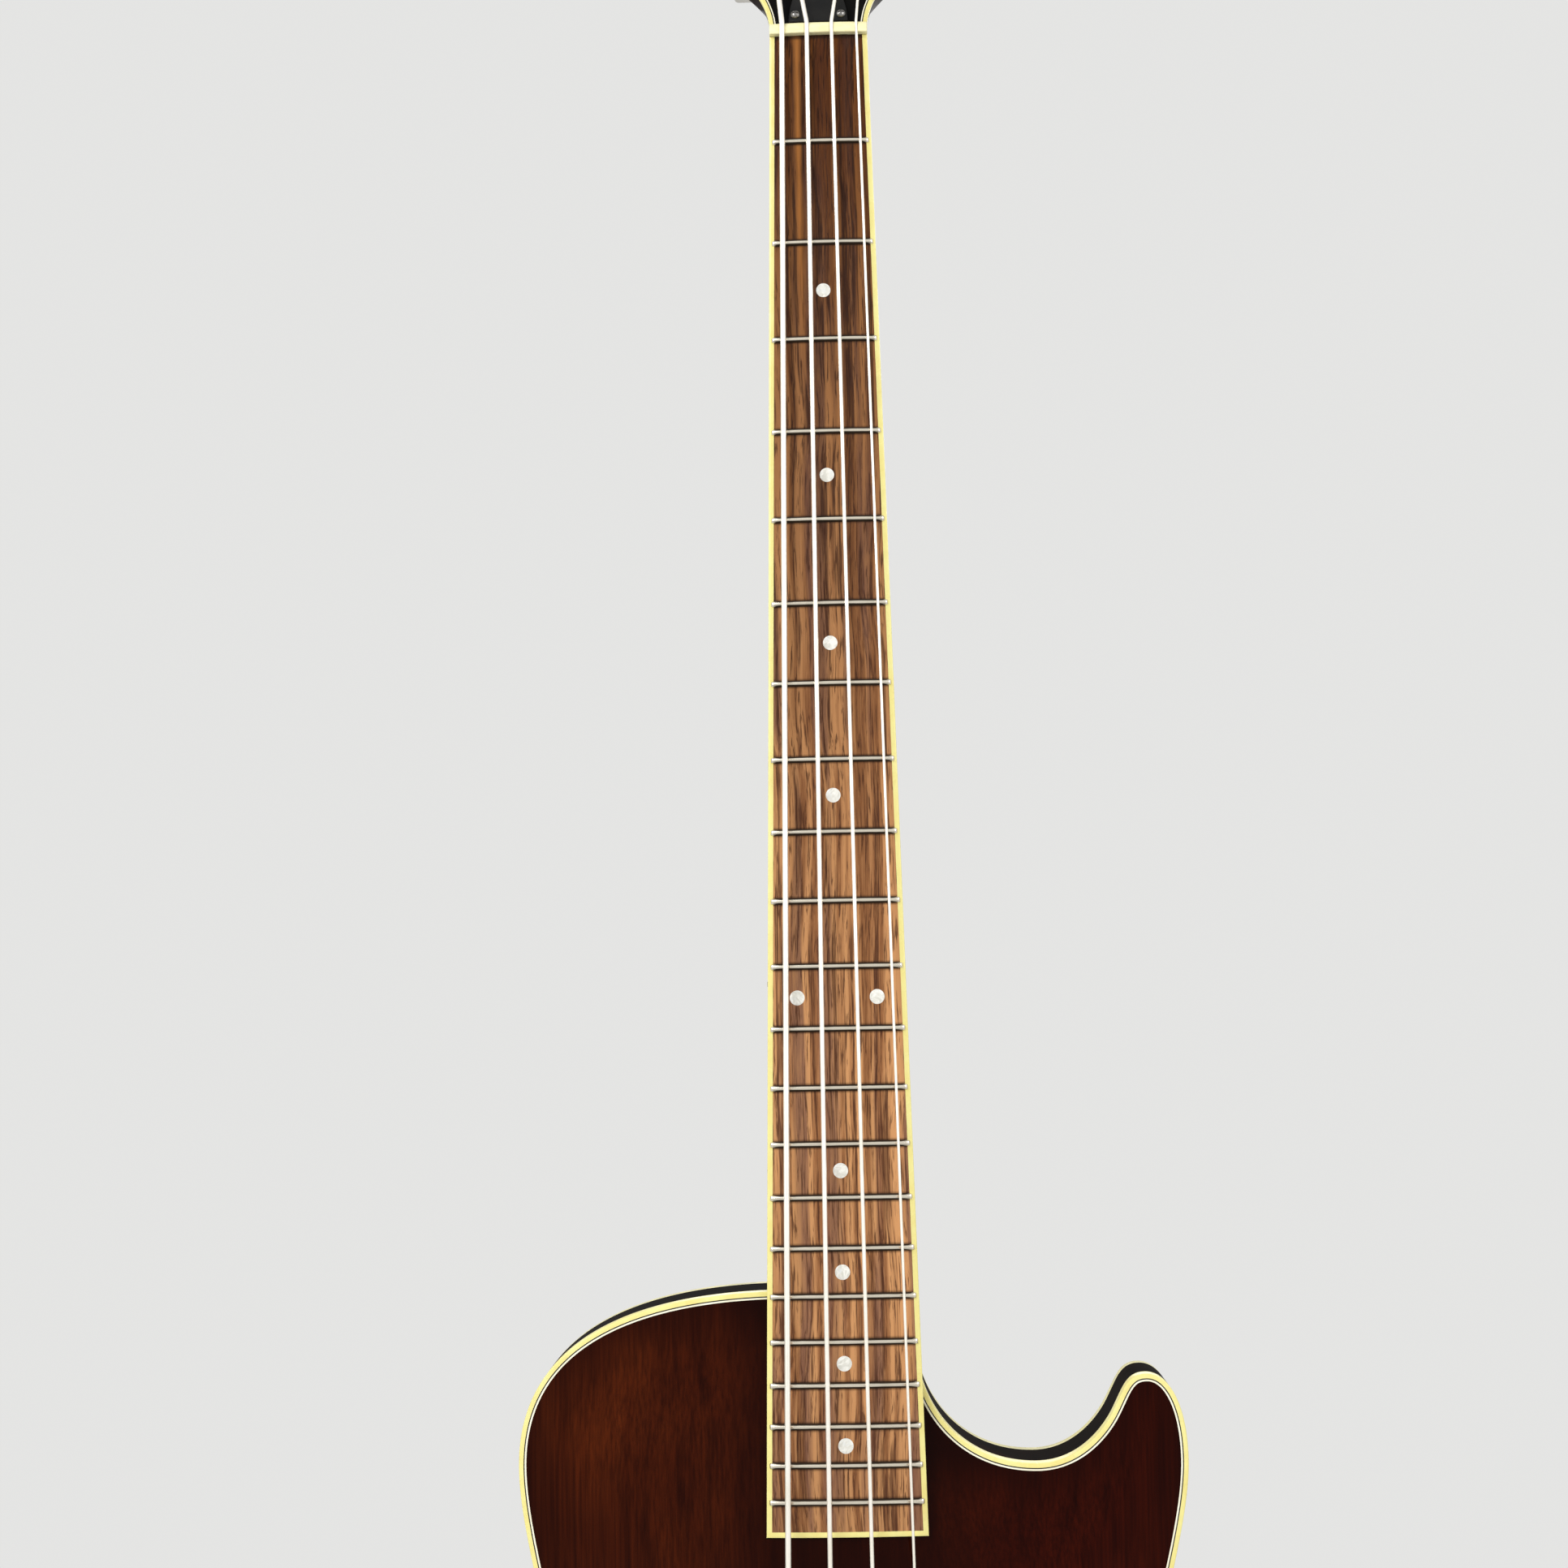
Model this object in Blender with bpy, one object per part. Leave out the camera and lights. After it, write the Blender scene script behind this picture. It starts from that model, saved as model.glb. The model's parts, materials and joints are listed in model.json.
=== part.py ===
# Hollow-body bass guitar, upright as it hangs: +Z runs up the neck, the front faces -Y, treble is +X.
# The origin is on the neck's centre line, on the fingerboard's face, at the nut.

import math

import bmesh
import bpy
import numpy as np
from mathutils import Matrix, Vector

# All sizes are in metres.
GAP = 0.0003                    # left between neighbouring pieces

# Scale, neck and fingerboard
SCALE_LENGTH = 0.8636
FRET_COUNT = 22
NECK_ANGLE = math.radians(4.0)  # the neck leans back from the body's face
NUT_WIDTH = 0.0426
NUT_THICK = 0.0053
BOARD_PAST_LAST_FRET = 0.0137
BOARD_END_WIDTH = 0.0651
BOARD_THICK = 0.006
BOARD_RADIUS = 0.305            # camber of the playing surface
BOARD_BINDING = 0.0022
FRET_WIDTH = 0.0026
FRET_HEIGHT = 0.0011
FRET_INSET = 0.0011             # from the board's edge to the fret's end
TANG_WIDTH = 0.0008
TANG_DEPTH = 0.0018
NECK_DEPTH_NUT = 0.0205         # from the board's face to the neck's back
NECK_DEPTH_HEEL = 0.0245
HEEL_LENGTH = 0.045
HEEL_RUN_OUT = 0.006
TONGUE_HALF_WIDTH = 0.024
TONGUE_DEPTH = 0.019
TONGUE_SINK = 0.0004            # its face below the neck's
TONGUE_ROOT = 0.009             # it starts this far inside the heel
TRUSS_ROD_RADIUS = 0.0024
TRUSS_ROD_LENGTH = 0.49
TRUSS_ROD_DEPTH = 0.0122        # its centre line, from the board's face
TRUSS_NUT_RADIUS = 0.0034
TRUSS_NUT_LENGTH = 0.010
TRUSS_KEY_RADIUS = 0.0019
TRUSS_POCKET_HALF_WIDTH = 0.0052
TRUSS_POCKET_LENGTH = 0.0265
TRUSS_POCKET_DEPTH = 0.0112
TRUSS_COVER_THICK = 0.0018

# Strings, from the bass side
STRING_NAMES = ("e", "a", "d", "g")
STRING_RADIUS = {"e": 0.0012, "a": 0.0010, "d": 0.00083, "g": 0.00058}
STRING_PITCH_NUT = 0.0108
STRING_PITCH_BRIDGE = 0.0187
STRING_SHIFT_NUT = 0.0004       # the set of strings lies a little to the treble side
STRING_SHIFT_BRIDGE = 0.0015
STRING_HEIGHT_NUT = 0.0017      # from the board's face to the strings' undersides
STRING_HEIGHT_BRIDGE = 0.0050
WINDING_STEP_GAP = 0.0005       # clear space between turns on a post
HEAVY_STRING_TURN_COUNT = 2     # of E and A round their posts
LIGHT_STRING_TURN_COUNT = 3     # of D and G
TURN_POINTS = 24

# Headstock
HEAD_ANGLE = math.radians(12.0)
HEAD_DROP = 0.0045              # from the board's face down to the head's face
HEAD_THICK = 0.0165
HEAD_LENGTH = 0.186
HEAD_SHOULDER_HALF_WIDTH = 0.0415
HEAD_SHOULDER_Z = 0.050
HEAD_END_HALF_WIDTH = 0.0370
HEAD_END_Z = 0.156

# Tuners: one pair near the nut for the outer strings, one pair above for the inner strings
TUNER_LOW_Z = 0.046
TUNER_HIGH_Z = 0.108
TUNER_LOW_X = 0.0265
TUNER_HIGH_X = 0.0285
POST_RADIUS = 0.0050
POST_TOP_RADIUS = 0.0063
POST_HEIGHT = 0.0185
SLEEVE_RADIUS = 0.0070
WINDING_EXIT_HEIGHT = 0.0068    # where the string leaves its post, above the head's face
GEAR_RADIUS = 0.0080
GEAR_THICK = 0.0040
WORM_RADIUS = 0.0030
WORM_LENGTH = 0.0090
KEY_SHAFT_RADIUS = 0.0020
CASE_WALL = 0.0013
CASE_HALF_WIDTH = 0.0115
CASE_DEPTH = 0.0112
CASE_STRIP_HALF_WIDTH = 0.0060
CASE_STRIP_THICK = 0.0022
KEY_REACH = 0.0120              # from the head's edge to the button
BUTTON_LENGTH = 0.0210
BUTTON_WIDTH = 0.0240
BUTTON_THICK = 0.0060

# Body
JOINT_TO_BRIDGE = 0.3236        # along the scale, from the body's upper edge
BOARD_RISE = 0.0065             # fingerboard face above the body's rim plane at the joint
RIM_DEPTH = 0.034
ARCH_TOP = 0.012
ARCH_BACK = 0.010
ARCH_REACH_WAIST = 0.050         # from the plate's edge to where the arch levels off
ARCH_REACH_LOWER = 0.066
EDGE_MARK_STEP = 0.0010         # close enough to measure from the plate's edge
ARCH_LAST_RING = 0.62           # part of the way in from the edge to the spine
ARCH_NECK_SHARE = 0.30          # the arch is carved low towards the neck
PLATE_THICK = 0.0040
SIDE_WALL = 0.0025
BODY_BINDING_WIDTH = 0.0027
BODY_BINDING_DEPTH = 0.0055
LINING_WIDTH = 0.0062
LINING_DEPTH = 0.0080
SHOULDER_RISE = 0.0029          # these heights are from the joint
UPPER_BOUT_BASS_X = -0.1336
UPPER_BOUT_TREBLE_X = 0.1386
UPPER_BOUT_DROP = 0.0665
CUTAWAY_WALL_X = 0.0297
CUTAWAY_WALL_DROP = 0.0208
CUTAWAY_FLOOR_X = 0.0775
CUTAWAY_FLOOR_DROP = 0.0676
HORN_FLANK_X = 0.1088
HORN_FLANK_DROP = 0.0468
HORN_FLANK_TURN = math.radians(62.5)
HORN_TIP_X = 0.1225
HORN_TIP_DROP = 0.0324
WAIST_BASS_X = -0.117
WAIST_TREBLE_X = 0.119
WAIST_RISE = 0.1480             # the waist above the bridge's line
LOWER_BOUT_BASS_X = -0.172
LOWER_BOUT_TREBLE_X = 0.174
LOWER_BOUT_DROP = 0.0010        # the widest place below the bridge's line
TAIL_DROP = 0.1200              # the body's end below the bridge's line
SPINE_RISE = 0.0910             # the spine's ends, from the bridge's line
SPINE_DROP = 0.0040
SPINE_SHIFT = 0.024
NECK_BLOCK_HALF_WIDTH = 0.044
NECK_BLOCK_LENGTH = 0.112
TAIL_BLOCK_HALF_WIDTH = 0.032
TAIL_BLOCK_LENGTH = 0.026
PATCH_HALF_LENGTH = 0.058        # glued under the top to carry the bridge
PATCH_HALF_WIDTH = 0.016
PATCH_DEPTH = 0.0120
SOUND_HOLE_X = 0.098
SOUND_HOLE_RISE = 0.0690        # its middle above the bridge's line
SOUND_HOLE_LENGTH = 0.118
SOUND_HOLE_LEAN = math.radians(9.0)
SOUND_HOLE_STEM = 0.0095
SOUND_HOLE_EYE_RADIUS = 0.0080

# Pickup
PICKUP_TO_BRIDGE = 0.1286       # along the scale
PICKUP_HALF_LENGTH = 0.042
PICKUP_HALF_WIDTH = 0.0192
PICKUP_DEPTH = 0.0190
PICKUP_STRING_GAP = 0.0035
PICKUP_RING_CLEARANCE = 0.0006
PICKUP_EAR_THICK = 0.0016
PICKUP_EAR_HALF_WIDTH = 0.0045
RING_HALF_LENGTH = 0.0510
RING_HALF_WIDTH = 0.0235
RING_REVEAL = 0.0022            # pickup standing above its ring

# Bridge and tailpiece
BRIDGE_HALF_LENGTH = 0.0500
BRIDGE_HALF_WIDTH = 0.0112
BRIDGE_THICK = 0.0095
BRIDGE_LIFT = 0.0078            # underside of the bridge above the top
BRIDGE_STUD_X = 0.0430
SADDLE_WIDTH = 0.0130
SADDLE_LENGTH = 0.0070
SADDLE_TRAVEL = 0.0040
SADDLE_POCKET_DEPTH = 0.0060
SADDLE_SET_BACK = {"e": 0.0032, "a": 0.0022, "d": 0.0014, "g": 0.0006}
WHEEL_RADIUS = 0.0075
WHEEL_THICK = 0.0024
STUD_RADIUS = 0.0040
POST_TIP_RADIUS = 0.0030
POST_TIP_LENGTH = 0.0020
POST_SHANK = 0.0110             # below the top's face
POST_BORE_DEPTH = 0.0150        # leaves room to screw the posts down
TAILPIECE_BACK = 0.0560         # from the saddle line to the tailpiece
TAILPIECE_HALF_LENGTH = 0.0520
TAILPIECE_WIDTH = 0.0150
TAILPIECE_THICK = 0.0100
TAILPIECE_LIFT = 0.0070
TAIL_ARM_X = 0.0340
TAIL_ARM_FOOT_X = 0.0090
TAIL_ARM_HALF_WIDTH = 0.0036
TAIL_ARM_THICK = 0.0026
TAIL_PLATE_HALF_WIDTH = 0.0150
TAIL_PLATE_THICK = 0.0024
TAIL_PLATE_DEPTH = 0.0240       # down the body's end
TAIL_FLAP_LENGTH = 0.0120       # over the top's edge
TAIL_LIFT = 0.0007              # clear of the binding and the sides
BALL_RADIUS = 0.0030
BALL_LENGTH = 0.0050

# Controls
KNOB_RADIUS = 0.0125
KNOB_HEIGHT = 0.0165
KNOB_LIFT = 0.0010
SHAFT_RADIUS = 0.0030
SHAFT_DEPTH = 0.0140            # below the top's face
VOLUME_X = 0.100
VOLUME_DROP = 0.0290            # below the bridge's line
TONE_X = 0.134
TONE_DROP = 0.0130
JACK_BORE_RADIUS = 0.0033
JACK_NECK_RADIUS = 0.0048
JACK_FLANGE_RADIUS = 0.0085
JACK_FLANGE_THICK = 0.0026
JACK_BARREL_RADIUS = 0.0075
JACK_BARREL_LENGTH = 0.0160

# Derived places
FULL_TURN = 2.0 * math.pi
BOARD_LENGTH = SCALE_LENGTH * (1.0 - 2.0 ** (-FRET_COUNT / 12.0)) + BOARD_PAST_LAST_FRET
BODY_JOINT = SCALE_LENGTH - JOINT_TO_BRIDGE
SHOULDER_Z = -BODY_JOINT + SHOULDER_RISE
UPPER_BOUT_Z = -BODY_JOINT - UPPER_BOUT_DROP
CUTAWAY_WALL_Z = -BODY_JOINT - CUTAWAY_WALL_DROP
CUTAWAY_FLOOR_Z = -BODY_JOINT - CUTAWAY_FLOOR_DROP
HORN_FLANK_Z = -BODY_JOINT - HORN_FLANK_DROP
HORN_TIP_Z = -BODY_JOINT - HORN_TIP_DROP
JOINT_FACE_Y = -BODY_JOINT * math.sin(NECK_ANGLE)
RIM_FRONT_Y = JOINT_FACE_Y + BOARD_RISE
RIM_BACK_Y = RIM_FRONT_Y + RIM_DEPTH
DECK_Y = RIM_FRONT_Y - ARCH_TOP                 # level middle of the top
BRIDGE_Z = -SCALE_LENGTH * math.cos(NECK_ANGLE) + STRING_HEIGHT_BRIDGE * math.sin(NECK_ANGLE)
PICKUP_AT = SCALE_LENGTH - PICKUP_TO_BRIDGE
TAILPIECE_Z = BRIDGE_Z - TAILPIECE_BACK
WAIST_Z = BRIDGE_Z + WAIST_RISE
LOWER_BOUT_Z = BRIDGE_Z - LOWER_BOUT_DROP
TAIL_Z = BRIDGE_Z - TAIL_DROP
SPINE_HIGH_Z = BRIDGE_Z + SPINE_RISE
SPINE_LOW_Z = BRIDGE_Z - SPINE_DROP
SOUND_HOLE_Z = BRIDGE_Z + SOUND_HOLE_RISE
KNOB_PLACES = {
    "knob_volume": (VOLUME_X, BRIDGE_Z - VOLUME_DROP),
    "knob_tone": (TONE_X, BRIDGE_Z - TONE_DROP),
}
NECK_MATRIX = Matrix.Rotation(-NECK_ANGLE, 4, "X")
HEAD_MATRIX = NECK_MATRIX @ Matrix.Translation((0.0, HEAD_DROP, NUT_THICK + GAP)) @ Matrix.Rotation(
    -HEAD_ANGLE, 4, "X")
CASE_FACE_Y = HEAD_THICK + GAP
GEAR_Y = CASE_FACE_Y + 0.5 * CASE_DEPTH
WORM_OFFSET = GEAR_RADIUS + WORM_RADIUS + GAP


# Helpers for meshes

def solid_box(low, high):
    bm = bmesh.new()
    low = Vector(low)
    high = Vector(high)
    size = high - low
    place = Matrix.Translation((low + high) * 0.5) @ Matrix.Diagonal((size.x, size.y, size.z, 1.0))
    bmesh.ops.create_cube(bm, size=1.0, matrix=place)
    return bm


def turned(profile, sides, ring=False):
    """Spin a list of (radius, height) about Z; a ring profile is a closed loop off the axis."""
    bm = bmesh.new()
    verts = [bm.verts.new((radius, 0.0, height)) for radius, height in profile]
    edges = [bm.edges.new(pair) for pair in zip(verts, verts[1:])]
    if ring:
        edges.append(bm.edges.new((verts[-1], verts[0])))
    bmesh.ops.spin(bm, geom=verts + edges, cent=(0, 0, 0), axis=(0, 0, 1), angle=FULL_TURN,
                   steps=sides, use_merge=True, use_duplicate=False)
    bmesh.ops.remove_doubles(bm, verts=bm.verts, dist=0.000001)
    return outward(bm)


def rod(radius, low, high, sides=12):
    return turned([(0.0, low), (radius, low), (radius, high), (0.0, high)], sides)


def bore(radius, low, high, sides=12):
    """A cutter whose flats clear a round piece of this radius by the gap."""
    return rod((radius + GAP) / math.cos(math.pi / sides), low, high, sides)


def slab(points, y_front, y_back):
    """Extrude an outline of (x, z) points along Y."""
    bm = bmesh.new()
    face = bm.faces.new([bm.verts.new((x, y_front, z)) for x, z in points])
    grown = bmesh.ops.extrude_face_region(bm, geom=[face])
    moved = [item for item in grown["geom"] if isinstance(item, bmesh.types.BMVert)]
    bmesh.ops.translate(bm, verts=moved, vec=(0.0, y_back - y_front, 0.0))
    return outward(bm)


def loft(rings, closed_path=False):
    """Skin a row of equal rings; the ends are capped unless the path closes on itself."""
    bm = bmesh.new()
    rows = [[bm.verts.new(point) for point in ring] for ring in rings]
    pairs = list(zip(rows, rows[1:]))
    if closed_path:
        pairs.append((rows[-1], rows[0]))
    for near, far in pairs:
        for i in range(len(near)):
            j = (i + 1) % len(near)
            bm.faces.new((near[i], near[j], far[j], far[i]))
    if not closed_path:
        bm.faces.new(rows[0])
        bm.faces.new(rows[-1])
    return outward(bm)


def outward(bm):
    bmesh.ops.recalc_face_normals(bm, faces=bm.faces)
    return bm


def moved(bm, matrix):
    bmesh.ops.transform(bm, matrix=matrix, verts=bm.verts)
    return bm


def rounded(bm, width, segments=1):
    bmesh.ops.bevel(bm, geom=list(bm.edges), offset=width, offset_type="OFFSET", segments=segments,
                    profile=0.5, affect="EDGES", clamp_overlap=True)
    return bm


def gathered(parts):
    """Put several separate solids in one mesh."""
    whole = bmesh.new()
    for part in parts:
        scratch = bpy.data.meshes.new("scratch")
        part.to_mesh(scratch)
        part.free()
        whole.from_mesh(scratch)
        bpy.data.meshes.remove(scratch)
    return whole


def axis_to(direction, origin):
    """A frame whose Z axis points along direction."""
    turn = Vector(direction).to_track_quat("Z", "Y")
    return Matrix.Translation(origin) @ turn.to_matrix().to_4x4()


# Helpers for objects

def paint(name, colour, roughness, metallic=0.0):
    material = bpy.data.materials.new(name)
    material.use_nodes = True
    material.diffuse_color = (*colour, 1.0)
    shader = material.node_tree.nodes["Principled BSDF"]
    shader.inputs["Base Color"].default_value = (*colour, 1.0)
    shader.inputs["Roughness"].default_value = roughness
    shader.inputs["Metallic"].default_value = metallic
    return material


def add_piece(name, bm, material, parent=None, place=None):
    mesh = bpy.data.meshes.new(name)
    bm.to_mesh(mesh)
    bm.free()
    mesh.shade_smooth()
    mesh.set_sharp_from_angle(angle=math.radians(35.0))
    piece = bpy.data.objects.new(name, mesh)
    bpy.context.collection.objects.link(piece)
    piece.data.materials.append(material)
    if parent is not None:
        piece.parent = parent
    if place is not None:
        piece.matrix_local = place
    return piece


def add_cutter(name, bm, parent=None):
    mesh = bpy.data.meshes.new(name)
    bm.to_mesh(mesh)
    bm.free()
    cutter = bpy.data.objects.new(name, mesh)
    bpy.context.collection.objects.link(cutter)
    cutter.parent = parent
    cutter.hide_render = True
    cutter.display_type = "WIRE"
    return cutter


def combine(piece, other, operation="DIFFERENCE"):
    step = piece.modifiers.new(other.name, "BOOLEAN")
    step.operation = operation
    step.solver = "EXACT"
    step.object = other


def add_frame(name, matrix, parent=None):
    frame = bpy.data.objects.new(name, None)
    bpy.context.collection.objects.link(frame)
    frame.parent = parent
    frame.matrix_local = matrix
    return frame


def add_tube(name, points, radius, shares, material):
    """A round wire along points; shares scale its radius at the first ones."""
    curve = bpy.data.curves.new(name, "CURVE")
    curve.dimensions = "3D"
    curve.twist_mode = "MINIMUM"
    curve.bevel_depth = radius
    curve.bevel_resolution = 1
    curve.use_fill_caps = True
    spline = curve.splines.new("POLY")
    spline.points.add(len(points) - 1)
    for slot, point in zip(spline.points, points):
        slot.co = (*point, 1.0)
    for slot, share in zip(spline.points, shares):
        slot.radius = share
    tube = bpy.data.objects.new(name, curve)
    bpy.context.collection.objects.link(tube)
    curve.materials.append(material)
    return tube


def tube_mesh(points, radius, sides=8):
    """A closed tube along a path, for cutting the way of a string."""
    radius = radius / math.cos(math.pi / sides)
    rings = []
    for i, point in enumerate(points):
        before = points[max(i - 1, 0)]
        after = points[min(i + 1, len(points) - 1)]
        along = (Vector(after) - Vector(before)).normalized()
        side = along.cross(Vector((0.0, 1.0, 0.0))).normalized()
        up = side.cross(along)
        ring = []
        for k in range(sides):
            angle = FULL_TURN * (k + 0.5) / sides
            ring.append(Vector(point) + radius * (math.cos(angle) * side + math.sin(angle) * up))
        rings.append(ring)
    return loft(rings)


# Outlines

def bezier_chain(nodes, closed):
    """Sample a chain of (x, z, direction, handle in, handle out, steps to the next node)."""
    points = []
    last = len(nodes) if closed else len(nodes) - 1
    for i in range(last):
        x0, z0, turn0, _, out0, steps = nodes[i]
        x3, z3, turn3, in3, _, _ = nodes[(i + 1) % len(nodes)]
        x1 = x0 + out0 * math.cos(turn0)
        z1 = z0 + out0 * math.sin(turn0)
        x2 = x3 - in3 * math.cos(turn3)
        z2 = z3 - in3 * math.sin(turn3)
        for k in range(steps):
            t = k / steps
            u = 1.0 - t
            x = u ** 3 * x0 + 3 * u * u * t * x1 + 3 * u * t * t * x2 + t ** 3 * x3
            z = u ** 3 * z0 + 3 * u * u * t * z1 + 3 * u * t * t * z2 + t ** 3 * z3
            points.append((x, z))
    if not closed:
        points.append((nodes[-1][0], nodes[-1][1]))
    return points


def drawn_in(points, distance):
    """Move a closed clockwise outline inwards by a distance."""
    result = []
    for i, (x, z) in enumerate(points):
        before = Vector(points[i - 1])
        after = Vector(points[(i + 1) % len(points)])
        here = Vector((x, z))
        first = (here - before).normalized()
        second = (after - here).normalized()
        along = (first + second).normalized()
        inward = Vector((along.y, -along.x))
        reach = distance / max(0.5, inward.dot(Vector((first.y, -first.x))))
        spot = here + inward * reach
        result.append((spot.x, spot.y))
    return result


def body_outline():
    """The rim seen from the front, clockwise from the neck."""
    east, south, west, north = 0.0, -math.pi / 2, math.pi, math.pi / 2
    nodes = [
        (-0.022, SHOULDER_Z, east, 0.0375, 0.049, 6),
        (CUTAWAY_WALL_X, CUTAWAY_WALL_Z, south, 0.020, 0.020, 6),
        (CUTAWAY_FLOOR_X, CUTAWAY_FLOOR_Z, east, 0.033, 0.0165, 4),
        (HORN_FLANK_X, HORN_FLANK_Z, HORN_FLANK_TURN, 0.0095, 0.0098, 3),
        (HORN_TIP_X, HORN_TIP_Z, east, 0.0076, 0.0098, 5),
        (UPPER_BOUT_TREBLE_X, UPPER_BOUT_Z, south, 0.0203, 0.030, 4),
        (WAIST_TREBLE_X, WAIST_Z, south, 0.030, 0.045, 5),
        (LOWER_BOUT_TREBLE_X, LOWER_BOUT_Z, south, 0.058, 0.068, 8),
        (0.0, TAIL_Z, west, 0.098, 0.098, 8),
        (LOWER_BOUT_BASS_X, LOWER_BOUT_Z, north, 0.068, 0.058, 5),
        (WAIST_BASS_X, WAIST_Z, north, 0.045, 0.030, 4),
        (UPPER_BOUT_BASS_X, UPPER_BOUT_Z, north, 0.030, 0.0637, 8),
    ]
    return bezier_chain(nodes, True)


OUTLINE = body_outline()
PLATE_EDGE = drawn_in(OUTLINE, BODY_BINDING_WIDTH + GAP)


def spine_point(x, z):
    """Where the arch is drawn in to; it moves over a little so that the horn's flank stays in sight."""
    upper = min(max((z - WAIST_Z) / 0.06, 0.0), 1.0)
    aside = min(max(x / 0.03, 0.0), 1.0)
    return Vector((SPINE_SHIFT * upper * aside, min(max(z, SPINE_LOW_Z), SPINE_HIGH_Z)))


def edge_marks():
    """Close marks along the plate's edge, each with the length of edge that it stands for."""
    marks = []
    for i, end in enumerate(PLATE_EDGE):
        start = Vector(PLATE_EDGE[i - 1])
        side = Vector(end) - start
        count = max(1, round(side.length / EDGE_MARK_STEP))
        for k in range(count):
            spot = start + side * ((k + 0.5) / count)
            marks.append((spot.x, spot.y, side.length / count))
    return np.array(marks)


EDGE_MARKS = edge_marks()


def edge_distance(x, z):
    """Distance from the plate's edge, eased where two edges are near so that the arch has no ridge."""
    square = (EDGE_MARKS[:, 0] - x) ** 2 + (EDGE_MARKS[:, 1] - z) ** 2
    pull = float(np.sum(EDGE_MARKS[:, 2] / square ** 3))
    return (pull * 8.0 / (3.0 * math.pi)) ** -0.2


def eased(share):
    share = min(max(share, 0.0), 1.0)
    return share * share * (3.0 - 2.0 * share)


def arch_share(x, z):
    """Height of the arch as a share of its full rise."""
    widening = eased((WAIST_Z - 0.030 - z) / 0.090)
    reach = ARCH_REACH_WAIST + (ARCH_REACH_LOWER - ARCH_REACH_WAIST) * widening
    level = ARCH_NECK_SHARE + (1.0 - ARCH_NECK_SHARE) * eased((SHOULDER_Z - 0.008 - z) / 0.120)
    return eased(edge_distance(x, z) / reach) * level


def top_y(x, z):
    return RIM_FRONT_Y - ARCH_TOP * arch_share(x, z)


def top_frame(x, z):
    """A frame on the top's surface, its Z axis standing straight out of the wood."""
    step = 0.004
    slope_x = (top_y(x + step, z) - top_y(x - step, z)) / (2 * step)
    slope_z = (top_y(x, z + step) - top_y(x, z - step)) / (2 * step)
    return axis_to((slope_x, -1.0, slope_z), (x, top_y(x, z), z))


def arched_plate(rim_y, arch, thickness, side, rings):
    """A carved plate: side is -1 for the top, whose outer face looks along -Y, and +1 for the back."""
    bm = bmesh.new()
    skins = []
    for inner in (False, True):
        rows = []
        for part_way in rings:
            row = []
            for x, z in PLATE_EDGE:
                spot = Vector((x, z)).lerp(spine_point(x, z), part_way)
                y = rim_y + side * arch * (arch_share(*spot) if part_way else 0.0)
                if inner:
                    y -= side * thickness
                row.append(bm.verts.new((spot.x, y, spot.y)))
            rows.append(row)
        skins.append(rows)
    count = len(PLATE_EDGE)
    for rows in skins:
        for near, far in zip(rows, rows[1:]):
            for i in range(count):
                j = (i + 1) % count
                bm.faces.new((near[i], near[j], far[j], far[i]))
        bm.faces.new(rows[-1])
    for i in range(count):
        j = (i + 1) % count
        bm.faces.new((skins[0][0][i], skins[0][0][j], skins[1][0][j], skins[1][0][i]))
    return outward(bm)


def rim_loop(section):
    """Carry a section of (inset, y) points round the whole rim."""
    insets = {inset: drawn_in(OUTLINE, inset) for inset, _ in section}
    rings = []
    for step in range(len(OUTLINE)):
        ring = []
        for inset, y in section:
            x, z = insets[inset][step]
            ring.append(Vector((x, y, z)))
        rings.append(ring)
    return loft(rings, closed_path=True)


def binding_section(y_front, y_back):
    return [(0.0, y_front), (0.0, y_back), (BODY_BINDING_WIDTH, y_back), (BODY_BINDING_WIDTH, y_front)]


# Places of frets and strings

def fret_at(number):
    return -SCALE_LENGTH * (1.0 - 2.0 ** (-number / 12.0))


def board_half_width(z):
    share = -z / BOARD_LENGTH
    return 0.5 * (NUT_WIDTH + (BOARD_END_WIDTH - NUT_WIDTH) * share)


def camber(x):
    """How far the playing surface falls away at x from the centre line."""
    return BOARD_RADIUS - math.sqrt(BOARD_RADIUS ** 2 - x * x)


def string_place(index, z):
    """Centre of a string in the neck's frame, at a distance z from the nut."""
    share = -z / SCALE_LENGTH
    name = STRING_NAMES[index]
    pitch = STRING_PITCH_NUT + (STRING_PITCH_BRIDGE - STRING_PITCH_NUT) * share
    shift = STRING_SHIFT_NUT + (STRING_SHIFT_BRIDGE - STRING_SHIFT_NUT) * share
    height = STRING_HEIGHT_NUT + (STRING_HEIGHT_BRIDGE - STRING_HEIGHT_NUT) * share
    x = shift + pitch * (index - 1.5)
    return Vector((x, -height - STRING_RADIUS[name], z))


def tuner_place(index):
    """Centre of a string's post on the head, and the side of the head it is on."""
    side = -1.0 if index < 2 else 1.0
    outer = index in (0, 3)
    if outer:
        return side * TUNER_LOW_X, TUNER_LOW_Z, side
    return side * TUNER_HIGH_X, TUNER_HIGH_Z, side


def saddle_z(index):
    return BRIDGE_Z - SADDLE_SET_BACK[STRING_NAMES[index]]


def saddle_crest(index):
    """World place of the string's centre over its saddle."""
    z_neck = saddle_z(index) / math.cos(NECK_ANGLE)
    return NECK_MATRIX @ string_place(index, z_neck)


TAIL_HOLE_Y = DECK_Y - TAILPIECE_LIFT - 0.5 * TAILPIECE_THICK


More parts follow.
